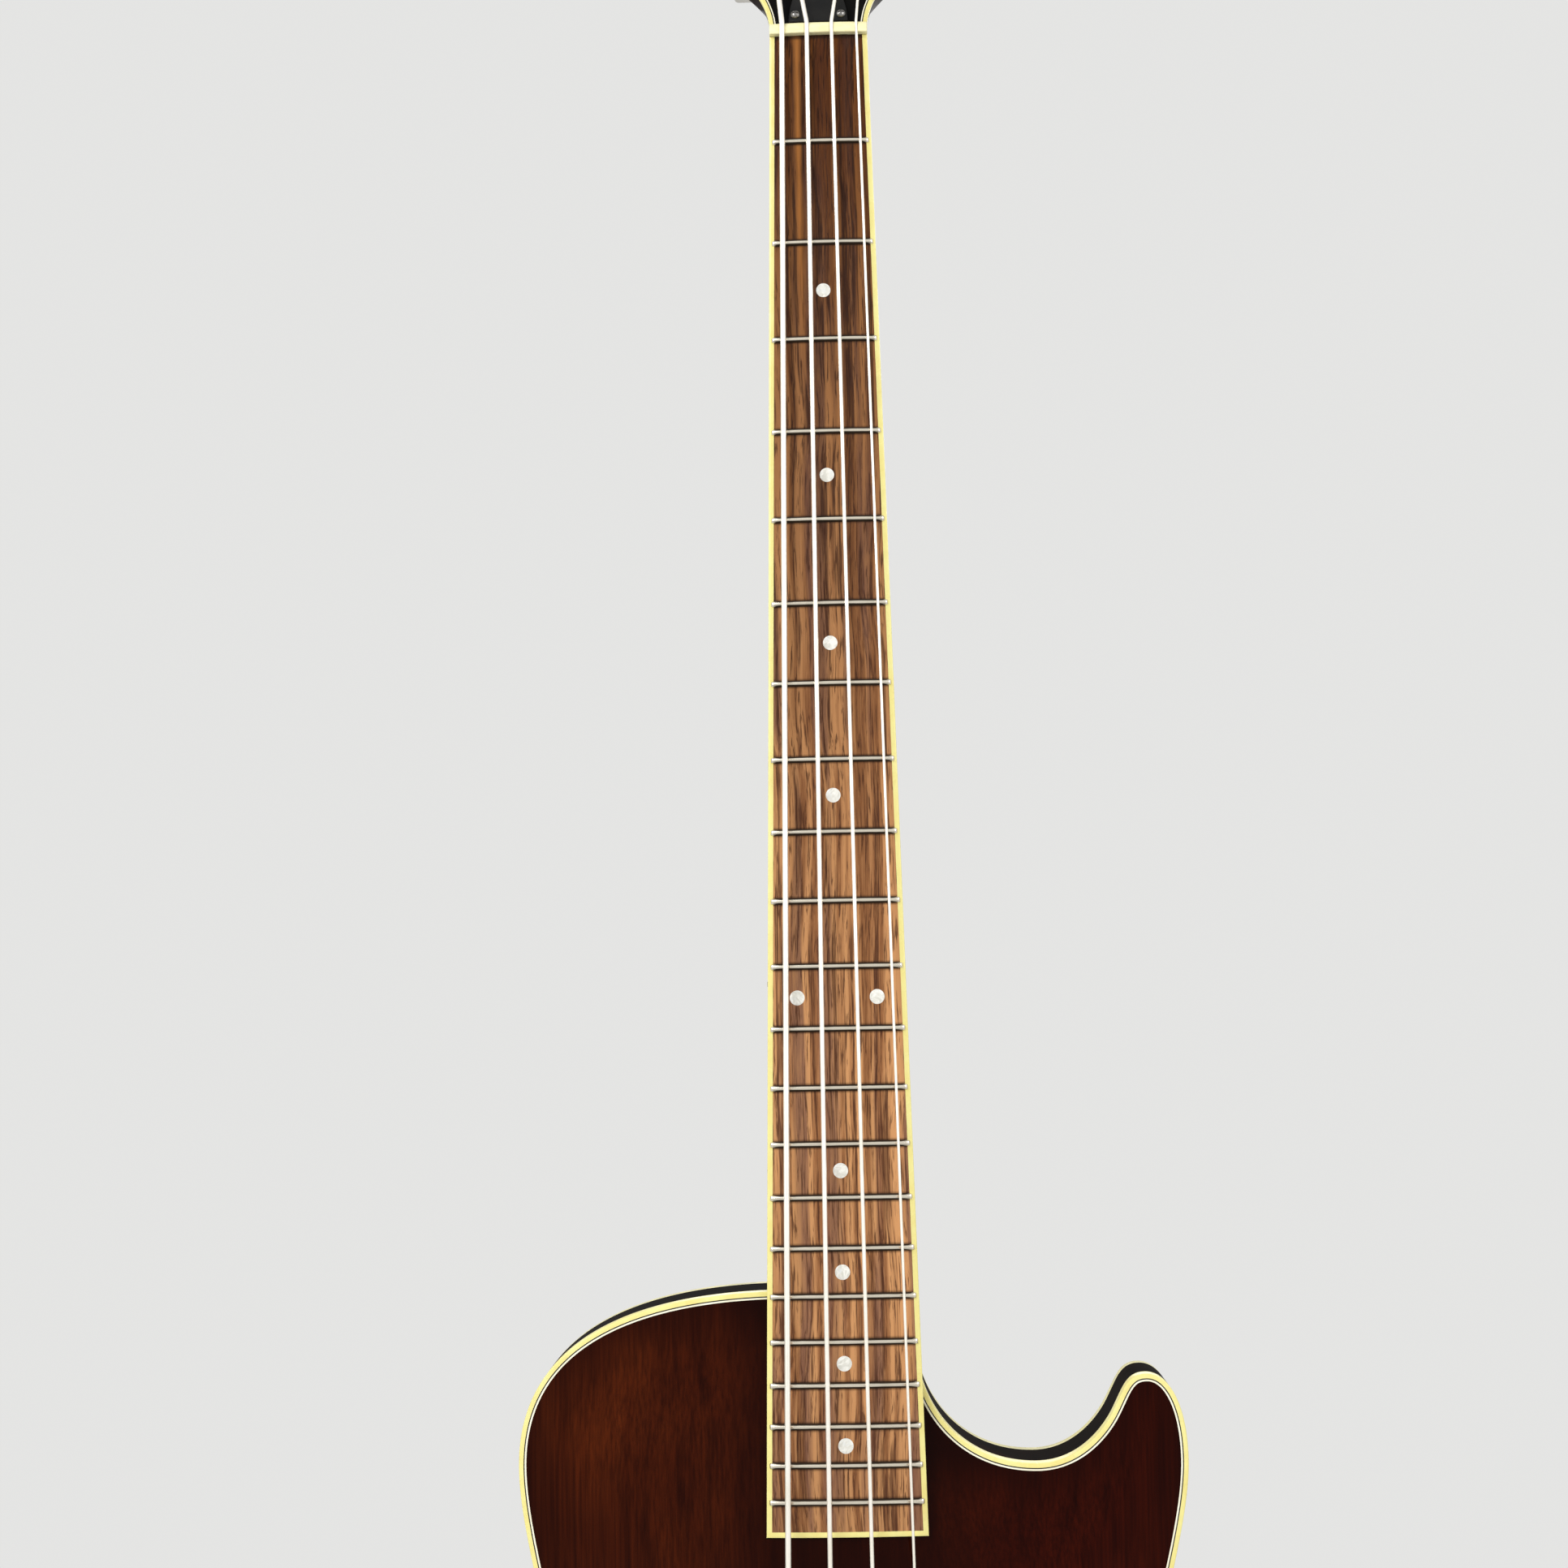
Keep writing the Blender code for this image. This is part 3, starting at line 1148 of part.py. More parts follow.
def build_strings(paints):
    for i, name in enumerate(STRING_NAMES):
        radius = STRING_RADIUS[name]
        ball = BALL_RADIUS / radius
        add_tube(f"string_{name}", string_path(i), radius, (ball, ball), paints["string"])
        coil = winding_path(i)[0][1:]
        clear = least_gap(coil, radius, TURN_POINTS // 2)
        print(f"string_{name}: least gap between turns {clear * 1000:.2f} mm")
        if clear < 0.0004:
            print(f"string_{name}: turns are closer than 0.4 mm")


# Pickup

def pickup_frame(at):
    """Centre of a pickup's top face, square to the strings."""
    height = STRING_HEIGHT_NUT + (STRING_HEIGHT_BRIDGE - STRING_HEIGHT_NUT) * at / SCALE_LENGTH
    shift = STRING_SHIFT_NUT + (STRING_SHIFT_BRIDGE - STRING_SHIFT_NUT) * at / SCALE_LENGTH
    return NECK_MATRIX @ Matrix.Translation((shift, -height + PICKUP_STRING_GAP, -at))


def build_pickup(paints):
    place = pickup_frame(PICKUP_AT)
    x_mid, _, z_mid = place.translation
    cover = rounded(solid_box((-PICKUP_HALF_LENGTH, 0.0, -PICKUP_HALF_WIDTH),
                              (PICKUP_HALF_LENGTH, PICKUP_DEPTH, PICKUP_HALF_WIDTH)), 0.0014)
    pickup = add_piece("pickup", cover, paints["nickel"], None, place)
    # ears reach out under the ring, where the height screws pass through them
    ear_low = PICKUP_DEPTH - 2.0 * PICKUP_EAR_THICK
    reach = RING_HALF_LENGTH - 0.0040
    ears = solid_box((-reach, ear_low, -PICKUP_EAR_HALF_WIDTH),
                     (reach, ear_low + PICKUP_EAR_THICK, PICKUP_EAR_HALF_WIDTH))
    ear_shape = add_cutter("pickup_ears", ears)
    ear_shape.matrix_local = place
    combine(pickup, ear_shape, "UNION")
    # ring: flat on the top, its upper face parallel to the strings
    base = DECK_Y - GAP
    corners = []
    for dz in (-RING_HALF_WIDTH, RING_HALF_WIDTH):
        lip = place @ Vector((0.0, RING_REVEAL, dz))
        z = z_mid + dz
        corners.append([Vector((x_mid - RING_HALF_LENGTH, base, z)),
                        Vector((x_mid - RING_HALF_LENGTH + 0.0008, lip.y, z)),
                        Vector((x_mid + RING_HALF_LENGTH - 0.0008, lip.y, z)),
                        Vector((x_mid + RING_HALF_LENGTH, base, z))])
    ring = add_piece("pickup_ring", loft(corners), paints["black_plastic"])
    clear = PICKUP_RING_CLEARANCE
    window = add_cutter("ring_window",
                        solid_box((-PICKUP_HALF_LENGTH - clear, -0.02, -PICKUP_HALF_WIDTH - clear),
                                  (PICKUP_HALF_LENGTH + clear, 0.03, PICKUP_HALF_WIDTH + clear)))
    window.matrix_local = place
    combine(ring, window)


# Bridge and tailpiece

def build_bridge(paints):
    x_mid = STRING_SHIFT_BRIDGE
    under = DECK_Y - BRIDGE_LIFT
    upper = under - BRIDGE_THICK
    z_mid = BRIDGE_Z - 0.0019
    base_bm = rounded(solid_box((x_mid - BRIDGE_HALF_LENGTH, upper, z_mid - BRIDGE_HALF_WIDTH),
                                (x_mid + BRIDGE_HALF_LENGTH, under, z_mid + BRIDGE_HALF_WIDTH)), 0.0011)
    base = add_piece("bridge_base", base_bm, paints["nickel"])
    pockets = []
    pocket_floor = upper + SADDLE_POCKET_DEPTH
    for i, name in enumerate(STRING_NAMES):
        crest = saddle_crest(i)
        z0 = saddle_z(i)
        pocket_half = 0.5 * SADDLE_LENGTH + SADDLE_TRAVEL + GAP
        pockets.append(solid_box((crest.x - 0.5 * SADDLE_WIDTH - GAP, upper - 0.002, z0 - pocket_half),
                                 (crest.x + 0.5 * SADDLE_WIDTH + GAP, pocket_floor, z0 + pocket_half)))
        # the saddle is a block with a roof-shaped crest, grooved for its string
        low_y = pocket_floor - GAP
        half_l = 0.5 * SADDLE_LENGTH
        profile = [(-half_l, low_y), (half_l, low_y), (half_l, crest.y + 0.0035), (0.0009, crest.y),
                   (-0.0009, crest.y), (-half_l, crest.y + 0.0035)]
        rings = []
        for x in (-0.5 * SADDLE_WIDTH, 0.5 * SADDLE_WIDTH):
            rings.append([Vector((x, y - crest.y, z)) for z, y in profile])
        place = Matrix.Translation((crest.x, crest.y, z0))
        saddle = add_piece(f"saddle_{name}", loft(rings), paints["nickel"], None, place)
        path = lower_string_path(i)[3:]
        channel = tube_mesh([path[1] + (path[0] - path[1]).normalized() * 0.008, path[1], path[2], path[3],
                             path[3] + (path[4] - path[3]).normalized() * 0.008],
                            STRING_RADIUS[name] + GAP)
        combine(saddle, add_cutter(f"saddle_groove_{name}", channel))
    combine(base, add_cutter("saddle_pockets", gathered(pockets)))

    sockets = []
    for (x, z), label in zip(bridge_post_places(), ("bass", "treble")):
        way = axis_to((0.0, -1.0, 0.0), (x, DECK_Y, z))
        wheel_top = BRIDGE_LIFT - GAP
        tip = wheel_top + POST_TIP_LENGTH
        post = turned([(0.0, -POST_SHANK), (STUD_RADIUS - 0.0008, -POST_SHANK),
                       (STUD_RADIUS, -POST_SHANK + 0.0008), (STUD_RADIUS, wheel_top - WHEEL_THICK),
                       (WHEEL_RADIUS, wheel_top - WHEEL_THICK), (WHEEL_RADIUS, wheel_top),
                       (POST_TIP_RADIUS, wheel_top), (POST_TIP_RADIUS, tip), (0.0, tip)], 12)
        add_piece(f"bridge_post_{label}", post, paints["nickel"], None, way)
        sockets.append(moved(bore(POST_TIP_RADIUS, 0.0, tip + GAP, 12), way))
    combine(base, add_cutter("bridge_sockets", gathered(sockets)))
    build_tailpiece(paints, x_mid)


def build_tailpiece(paints, x_mid):
    """A trapeze: the bar that holds the strings hangs from a plate screwed to the body's end."""
    back = DECK_Y - TAILPIECE_LIFT
    front = back - TAILPIECE_THICK
    mid_y = 0.5 * (front + back)
    half_w = 0.5 * TAILPIECE_WIDTH
    section = []
    for k in range(10):
        angle = FULL_TURN * (k + 0.5) / 10
        rise = math.copysign(abs(math.sin(angle)) ** 0.6, math.sin(angle))
        run = math.copysign(abs(math.cos(angle)) ** 0.6, math.cos(angle))
        section.append((0.5 * TAILPIECE_THICK * rise, half_w * run))
    rings = []
    for share, size in ((-1.0, 0.84), (-0.95, 1.0), (0.95, 1.0), (1.0, 0.84)):
        x = x_mid + share * TAILPIECE_HALF_LENGTH
        rings.append([Vector((x, mid_y + dy * size, TAILPIECE_Z + dz * size)) for dy, dz in section])
    bar = add_piece("tailpiece", loft(rings), paints["nickel"])
    flap_front = RIM_FRONT_Y - TAIL_LIFT - 2.0 * TAIL_PLATE_THICK
    flap_low = TAIL_Z - TAIL_LIFT - TAIL_PLATE_THICK
    flap_high = TAIL_Z + TAIL_FLAP_LENGTH
    plate = solid_box((-TAIL_PLATE_HALF_WIDTH, flap_front + 0.0004, flap_low),
                      (TAIL_PLATE_HALF_WIDTH, RIM_FRONT_Y + TAIL_PLATE_DEPTH, TAIL_Z - TAIL_LIFT))
    flap = solid_box((-TAIL_PLATE_HALF_WIDTH, flap_front, flap_low + 0.0003),
                     (TAIL_PLATE_HALF_WIDTH, flap_front + TAIL_PLATE_THICK, flap_high))
    combine(bar, add_cutter("tail_flap", flap), "UNION")
    combine(bar, add_cutter("tail_plate", plate), "UNION")
    for side, label in ((-1.0, "bass"), (1.0, "treble")):
        stations = ((x_mid + side * TAIL_ARM_X, mid_y + 0.0005, TAILPIECE_Z),
                    (x_mid + side * TAIL_ARM_X * 0.86, mid_y + 0.0012, TAILPIECE_Z - 0.012),
                    (side * TAIL_ARM_FOOT_X, flap_front + 0.0010, flap_high - 0.002),
                    (side * TAIL_ARM_FOOT_X, flap_front + 0.0012, flap_high - 0.008))
        rings = []
        for x, y, z in stations:
            wide = TAIL_ARM_HALF_WIDTH
            thick = 0.5 * TAIL_ARM_THICK
            rings.append([Vector((x - wide, y - thick, z)), Vector((x + wide, y - thick, z)),
                          Vector((x + wide, y + thick, z)), Vector((x - wide, y + thick, z))])
        combine(bar, add_cutter(f"tail_arm_{label}", loft(rings)), "UNION")
    cuts = []
    for i, name in enumerate(STRING_NAMES):
        x = saddle_crest(i).x
        flat = math.cos(math.pi / 8)
        hole = (STRING_RADIUS[name] + GAP) / flat
        seat = (BALL_RADIUS + GAP) / flat
        way = axis_to((0.0, 0.0, 1.0), (x, TAIL_HOLE_Y, TAILPIECE_Z))
        stop = -half_w + BALL_LENGTH + 2.0 * GAP
        cuts.append(moved(turned([(0.0, -half_w - 0.003), (seat, -half_w - 0.003),
                                  (seat, stop), (hole, stop), (hole, half_w + 0.003),
                                  (0.0, half_w + 0.003)], 8), way))
    combine(bar, add_cutter("string_holes", gathered(cuts)))


# Controls and jack

def build_controls(paints):
    for name, (x, z) in KNOB_PLACES.items():
        knob = turned([(0.0, KNOB_HEIGHT), (KNOB_RADIUS * 0.74, KNOB_HEIGHT),
                       (KNOB_RADIUS * 0.80, KNOB_HEIGHT - 0.001), (KNOB_RADIUS * 0.84, 0.0060),
                       (KNOB_RADIUS, 0.0030), (KNOB_RADIUS, KNOB_LIFT), (SHAFT_RADIUS, KNOB_LIFT),
                       (SHAFT_RADIUS, -SHAFT_DEPTH), (0.0, -SHAFT_DEPTH)], 16)
        add_piece(name, knob, paints["amber"], None, top_frame(x, z))

    mid_y = 0.5 * (RIM_FRONT_Y + RIM_BACK_Y)
    jack_place = axis_to((1.0, 0.0, 0.0), (LOWER_BOUT_TREBLE_X, mid_y, LOWER_BOUT_Z))
    seat = 0.0004
    wall_in = -SIDE_WALL - 0.0008
    end = wall_in - JACK_BARREL_LENGTH
    face = seat + JACK_FLANGE_THICK
    jack = turned([(JACK_BORE_RADIUS, 0.0044), (JACK_NECK_RADIUS, 0.0044),
                   (JACK_NECK_RADIUS, face), (JACK_FLANGE_RADIUS - 0.0008, face),
                   (JACK_FLANGE_RADIUS, seat + 0.0008), (JACK_FLANGE_RADIUS, seat), (JACK_NECK_RADIUS, seat),
                   (JACK_NECK_RADIUS, wall_in), (JACK_BARREL_RADIUS, wall_in), (JACK_BARREL_RADIUS, end),
                   (0.0, end), (0.0, end + 0.0012), (JACK_BORE_RADIUS, end + 0.0012)], 12, ring=True)
    add_piece("output_jack", jack, paints["nickel"], None, jack_place)
    sides = bpy.data.objects["body_sides"]
    hole = add_cutter("jack_hole", bore(JACK_NECK_RADIUS, -0.006, 0.006))
    hole.matrix_local = jack_place
    combine(sides, hole)
    room = add_cutter("jack_room", bore(JACK_BARREL_RADIUS, end - 0.002, -SIDE_WALL - 0.0002))
    room.matrix_local = jack_place
    combine(sides, room)


def main():
    for item in list(bpy.data.objects):
        bpy.data.objects.remove(item, do_unlink=True)
    paints = {
        "top": paint("top_lacquer", (0.075, 0.012, 0.006), 0.12),
        "dark_lacquer": paint("dark_lacquer", (0.012, 0.008, 0.007), 0.12),
        "mahogany": paint("neck_lacquer", (0.020, 0.010, 0.008), 0.18),
        "black_gloss": paint("black_gloss", (0.008, 0.008, 0.009), 0.10),
        "black_plastic": paint("black_plastic", (0.012, 0.012, 0.013), 0.30),
        "cream": paint("cream_binding", (0.84, 0.76, 0.40), 0.28),
        "bone": paint("bone_nut", (0.86, 0.82, 0.64), 0.35),
        "rosewood": paint("rosewood", (0.20, 0.085, 0.045), 0.48),
        "nickel": paint("nickel", (0.78, 0.77, 0.74), 0.20, 1.0),
        "steel": paint("dark_steel", (0.30, 0.30, 0.31), 0.35, 1.0),
        "string": paint("string_wire", (0.75, 0.74, 0.70), 0.28, 1.0),
        "amber": paint("amber_knob", (0.46, 0.22, 0.05), 0.15),
    }
    neck_frame = add_frame("neck_frame", NECK_MATRIX)
    head_place = NECK_MATRIX.inverted() @ HEAD_MATRIX
    head_frame = add_frame("head_frame", head_place, neck_frame)
    build_body(paints, neck_frame)
    build_neck(paints, neck_frame, head_frame)
    build_truss(paints, neck_frame, head_frame)
    build_tuners(paints, head_frame)
    build_board(paints, neck_frame)
    build_nut(paints, neck_frame)
    build_strings(paints)
    build_pickup(paints)
    build_bridge(paints)
    build_controls(paints)


main()
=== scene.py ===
# Looks of a hollow-body bass guitar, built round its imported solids.
# Metres; +Z runs up the neck, the front faces -Y and the treble side is +X.

import json
import math

import bmesh
import bpy
import numpy as np
from mathutils import Matrix, Vector
from mathutils.kdtree import KDTree

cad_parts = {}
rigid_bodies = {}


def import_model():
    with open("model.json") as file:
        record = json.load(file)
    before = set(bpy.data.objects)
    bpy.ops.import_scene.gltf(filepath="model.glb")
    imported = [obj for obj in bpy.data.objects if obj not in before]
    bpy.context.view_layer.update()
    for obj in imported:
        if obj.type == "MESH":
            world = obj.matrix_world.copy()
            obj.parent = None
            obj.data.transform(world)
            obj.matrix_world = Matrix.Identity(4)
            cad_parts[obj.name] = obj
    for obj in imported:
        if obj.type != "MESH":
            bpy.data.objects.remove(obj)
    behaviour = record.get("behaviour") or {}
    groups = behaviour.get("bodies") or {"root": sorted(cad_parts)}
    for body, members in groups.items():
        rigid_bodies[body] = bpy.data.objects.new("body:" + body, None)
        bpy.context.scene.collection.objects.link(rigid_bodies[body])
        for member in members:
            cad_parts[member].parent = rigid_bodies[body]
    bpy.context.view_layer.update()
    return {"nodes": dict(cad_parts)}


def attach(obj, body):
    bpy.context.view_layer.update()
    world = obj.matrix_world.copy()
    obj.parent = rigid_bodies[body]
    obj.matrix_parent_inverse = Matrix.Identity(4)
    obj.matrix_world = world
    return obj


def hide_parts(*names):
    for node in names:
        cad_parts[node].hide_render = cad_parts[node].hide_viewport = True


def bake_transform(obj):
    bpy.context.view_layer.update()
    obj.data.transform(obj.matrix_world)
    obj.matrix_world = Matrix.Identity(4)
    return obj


for item in list(bpy.data.objects):
    bpy.data.objects.remove(item, do_unlink=True)
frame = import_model()
scene = bpy.context.scene
fullTurn = 2.0 * math.pi
print("frame loaded,", len(frame["nodes"]), "nodes")


# layout that several pieces share

layout = dict(
    scaleLength=0.8636,
    neckAngle=math.radians(4.0),
    headAngle=math.radians(12.0),
    nutWidth=0.0426,
    nutThick=0.0053,
    boardLength=0.63497,
    boardEndWidth=0.0651,
    boardThick=0.006,
    boardRadius=0.305,
    stringNames=("e", "a", "d", "g"),
    stringRadius=dict(e=0.0012, a=0.0010, d=0.00083, g=0.00058),
    rimFrontY=-0.031168,
    rimBackY=0.002832,
    deckY=-0.043168,
    bridgeZ=-0.861148,
    shiftAtBridge=0.0015,
    pickupAlong=0.735,     # from the nut, along the board
)
neckPlace = Matrix.Rotation(-layout["neckAngle"], 4, "X")
headPlace = neckPlace @ Matrix.Translation((0.0, 0.0045, 0.0056)) @ Matrix.Rotation(
    -layout["headAngle"], 4, "X")


# finishes: shared effects

class Net:  # a node tree, with short calls that add to it and give back an output
    def __init__(self, tree):
        self.tree = tree

    def feed(self, value, socket):  # a number or colour is set, an output is linked
        if isinstance(value, bpy.types.NodeSocket):
            self.tree.links.new(value, socket)
        else:
            socket.default_value = value

    def add(self, kind, feeds, **settings):
        node = self.tree.nodes.new(kind)
        for label, value in settings.items():
            setattr(node, label, value)
        for slot, value in feeds:
            self.feed(value, node.inputs[slot])
        return node

    def sums(self, operation, *values):
        return self.add("ShaderNodeMath", enumerate(values), operation=operation).outputs[0]

    def times(self, first, second):
        return self.sums("MULTIPLY", first, second)

    def vectorSums(self, operation, *vectors):
        node = self.add("ShaderNodeVectorMath", enumerate(vectors), operation=operation)
        return node.outputs["Value" if operation == "DISTANCE" else "Vector"]

    def turned(self, vector, angle):  # the same spots, in the frame of a part that leans back
        feeds = (("Vector", vector), ("Rotation", (angle, 0.0, 0.0)))
        return self.add("ShaderNodeMapping", feeds).outputs[0]

    def split(self, vector):
        return self.add("ShaderNodeSeparateXYZ", ((0, vector),)).outputs

    def valueOf(self, name):
        return self.add("ShaderNodeAttribute", (), attribute_name=name).outputs["Fac"]

    def noise(self, vector, scale, detail=3.0, roughness=0.55, distortion=0.0):
        feeds = (("Vector", vector), ("Scale", scale), ("Detail", detail), ("Roughness", roughness),
                 ("Distortion", distortion))
        return self.add("ShaderNodeTexNoise", feeds).outputs[0]

    def stretched(self, vector, *scale):
        scale = self.add("ShaderNodeCombineXYZ", enumerate(scale)).outputs[0]
        return self.vectorSums("MULTIPLY", vector, scale)

    def streaks(self, vector, across, along, *texture):  # noise drawn out along the piece
        return self.noise(self.stretched(vector, across, across, along), 1.0, *texture)

    def sway(self, vector, amount):
        return self.times(self.sums("SUBTRACT", self.noise(vector, 7.0, 2.0), 0.5), amount)

    def ranged(self, value, fromLow, fromHigh, toLow=0.0, toHigh=1.0, kind="LINEAR"):
        feeds = enumerate((value, fromLow, fromHigh, toLow, toHigh))
        return self.add("ShaderNodeMapRange", feeds, interpolation_type=kind).outputs[0]

    def soft(self, value, low, high):
        return self.ranged(value, low, high, kind="SMOOTHSTEP")

    def blended(self, factor, first, second, blend="MIX"):
        first, second = [(*colour, 1.0) if isinstance(colour, tuple) else colour
                         for colour in (first, second)]
        feeds = ((0, factor), (6, first), (7, second))
        return self.add("ShaderNodeMix", feeds, data_type="RGBA", blend_type=blend).outputs[2]

    def over(self, colour, stain, mask, share):  # a stain laid over a colour where the mask is strong
        return self.blended(self.times(mask, share), colour, stain)

    def placed(self, group, where, **values):
        feeds = (("Vector", where), *values.items())
        return self.add("ShaderNodeGroup", feeds, node_tree=group).outputs


def newGroup(name, inputs, outputs):
    group = bpy.data.node_groups.new(name, "ShaderNodeTree")
    group.interface.new_socket(name="Vector", in_out="INPUT", socket_type="NodeSocketVector")
    for label, value in inputs.items():
        socket = group.interface.new_socket(name=label, in_out="INPUT", socket_type="NodeSocketFloat")
        socket.default_value = value
    for label in outputs:
        group.interface.new_socket(name=label, in_out="OUTPUT", socket_type="NodeSocketFloat")
    given = group.nodes.new("NodeGroupInput").outputs
    return Net(group), given["Vector"], given, group.nodes.new("NodeGroupOutput").inputs


def buildGrain():
    net, vector, given, out = newGroup("woodGrain", dict(Across=300.0, Along=8.0, Wander=0.4),
                                       ("Fibre", "Streak", "Patch"))
    laid = net.stretched(vector, given["Across"], given["Across"], given["Along"])
    laid = net.vectorSums("ADD", laid, net.sway(vector, given["Wander"]))
    net.feed(net.noise(laid, 1.0, 6.0, 0.62), out["Fibre"])
    net.feed(net.streaks(laid, 0.22, 0.30, 2.5, 0.5, 0.4), out["Streak"])
    net.feed(net.noise(vector, 9.0, 2.0), out["Patch"])
    return net.tree


def buildHandling():
    net, vector, given, out = newGroup("handledFinish", dict(Scale=40.0, Low=0.1, High=0.3),
                                       ("Roughness", "Scratch"))
    haze = net.soft(net.noise(vector, given["Scale"], 4.0, 0.6, 0.8), 0.38, 0.68)
    rough = net.ranged(haze, 0.0, 1.0, given["Low"], given["High"])
    line = net.ranged(net.streaks(vector, 900.0, 60.0, 2.0), 0.66, 0.74)
    net.feed(line, out["Scratch"])
    net.feed(net.sums("MULTIPLY_ADD", line, 0.06, rough), out["Roughness"])
    return net.tree


def buildAgeing():
    net, vector, given, out = newGroup("agedTone", dict(Scale=60.0), ("Tone", "Speck", "Grime"))
    net.feed(net.noise(vector, given["Scale"], 3.0), out["Tone"])
    dots = net.add("ShaderNodeTexVoronoi", (("Vector", vector), ("Scale", 420.0)))
    small = net.ranged(dots.outputs["Distance"], 0.10, 0.16, 1.0, 0.0)
    spread = net.ranged(net.noise(vector, 130.0, 2.0), 0.55, 0.65)
    net.feed(net.times(small, spread), out["Speck"])
    net.feed(net.soft(net.noise(vector, 28.0, 5.0, 0.7), 0.52, 0.75), out["Grime"])
    return net.tree


grainGroup = buildGrain()
handlingGroup = buildHandling()
ageingGroup = buildAgeing()


# finishes: the instrument's materials

class Finish(Net):  # a new material, given its colour, roughness and relief at the end
    def __init__(self, name, colour, roughness, **sockets):
        self.material = bpy.data.materials.new(name)
        self.material.use_nodes = True
        self.material.diffuse_color = (*colour, 1.0)
        super().__init__(self.material.node_tree)
        self.shader = self.tree.nodes["Principled BSDF"]
        self.shader.inputs["Base Color"].default_value = (*colour, 1.0)
        self.shader.inputs["Roughness"].default_value = roughness
        for label, value in sockets.items():
            self.shader.inputs[label].default_value = value
        self.where = self.tree.nodes.new("ShaderNodeTexCoord").outputs["Object"]

    def dress(self, colour, roughness=None, height=None, distance=0.00001, strength=0.3):
        self.feed(colour, self.shader.inputs["Base Color"])
        if roughness is not None:
            self.feed(roughness, self.shader.inputs["Roughness"])
        if height is not None:
            feeds = (("Strength", strength), ("Distance", distance), ("Height", height))
            self.feed(self.add("ShaderNodeBump", feeds).outputs[0], self.shader.inputs["Normal"])
        return self.material


def lacquerOnWood(name, darkest, middle, warm, sockets, shaded=False, lean=0.0):
    net = Finish(name, middle, 0.1, **sockets)
    along = net.turned(net.where, lean)
    grain = net.placed(grainGroup, along, Across=950.0, Along=10.0, Wander=1.6)
    figure = net.placed(grainGroup, along, Across=190.0, Along=3.2, Wander=0.6)
    handled = net.placed(handlingGroup, net.where, Scale=16.0, Low=0.07, High=0.17)
    colour = net.blended(net.soft(figure["Fibre"], 0.22, 0.58), darkest, middle)
    warmth = net.times(net.soft(grain["Patch"], 0.42, 0.66), net.soft(figure["Streak"], 0.38, 0.62))
    colour = net.blended(warmth, colour, warm)
    colour = net.over(colour, darkest, net.ranged(grain["Fibre"], 0.36, 0.64), 0.60)
    if shaded:  # painted shade: redder and deeper towards the treble side and darker beside the board; darker at the rim as well
        treble = net.soft(net.split(net.where)["X"], -0.02, 0.07)
        colour = net.blended(treble, colour, (0.72, 0.42, 0.40), "MULTIPLY")
        colour = net.blended(net.valueOf("shade"), colour, darkest)
    return net.dress(colour, handled["Roughness"], grain["Fibre"], 0.00002, 0.25)


def wornFinish(name, fresh, worn, low, high, sockets, scale=45.0, agedBy=2.0, tone=(0.35, 0.70),
               stain=None, strength=0.2):
    net = Finish(name, fresh, low, **sockets)
    handled = net.placed(handlingGroup, net.where, Scale=scale, Low=low, High=high)
    aged = net.placed(ageingGroup, net.where, Scale=scale * agedBy)
    colour = net.blended(net.ranged(aged["Tone"], *tone), fresh, worn)
    if stain:
        kind, share, shade = stain
        colour = net.over(colour, shade, aged[kind], share)
    return net.dress(colour, handled["Roughness"], handled["Scratch"], strength=strength)


def plated(name, bright, dull, low, high):
    return wornFinish(name, bright, dull, low, high, {"Metallic": 1.0}, 70.0, 1.7, (0.40, 0.75),
                      ("Speck", 0.5, tuple(0.45 * part for part in dull)), 0.3)


def boneFinish():
    pale = (0.830, 0.790, 0.480)
    net = Finish("boneNut", pale, 0.35, **{"Specular IOR Level": 0.4})
    grain = net.placed(grainGroup, net.stretched(net.where, 0.2, 1.0, 6.0), Across=900.0, Along=120.0,
                       Wander=0.4)
    aged = net.placed(ageingGroup, net.where, Scale=160.0)
    colour = net.blended(net.ranged(grain["Fibre"], 0.38, 0.66), pale, (0.760, 0.690, 0.370))
    colour = net.over(colour, (0.42, 0.32, 0.16), aged["Speck"], 0.45)
    return net.dress(colour, net.ranged(aged["Tone"], 0.3, 0.7, 0.28, 0.48), grain["Fibre"], 0.00002)


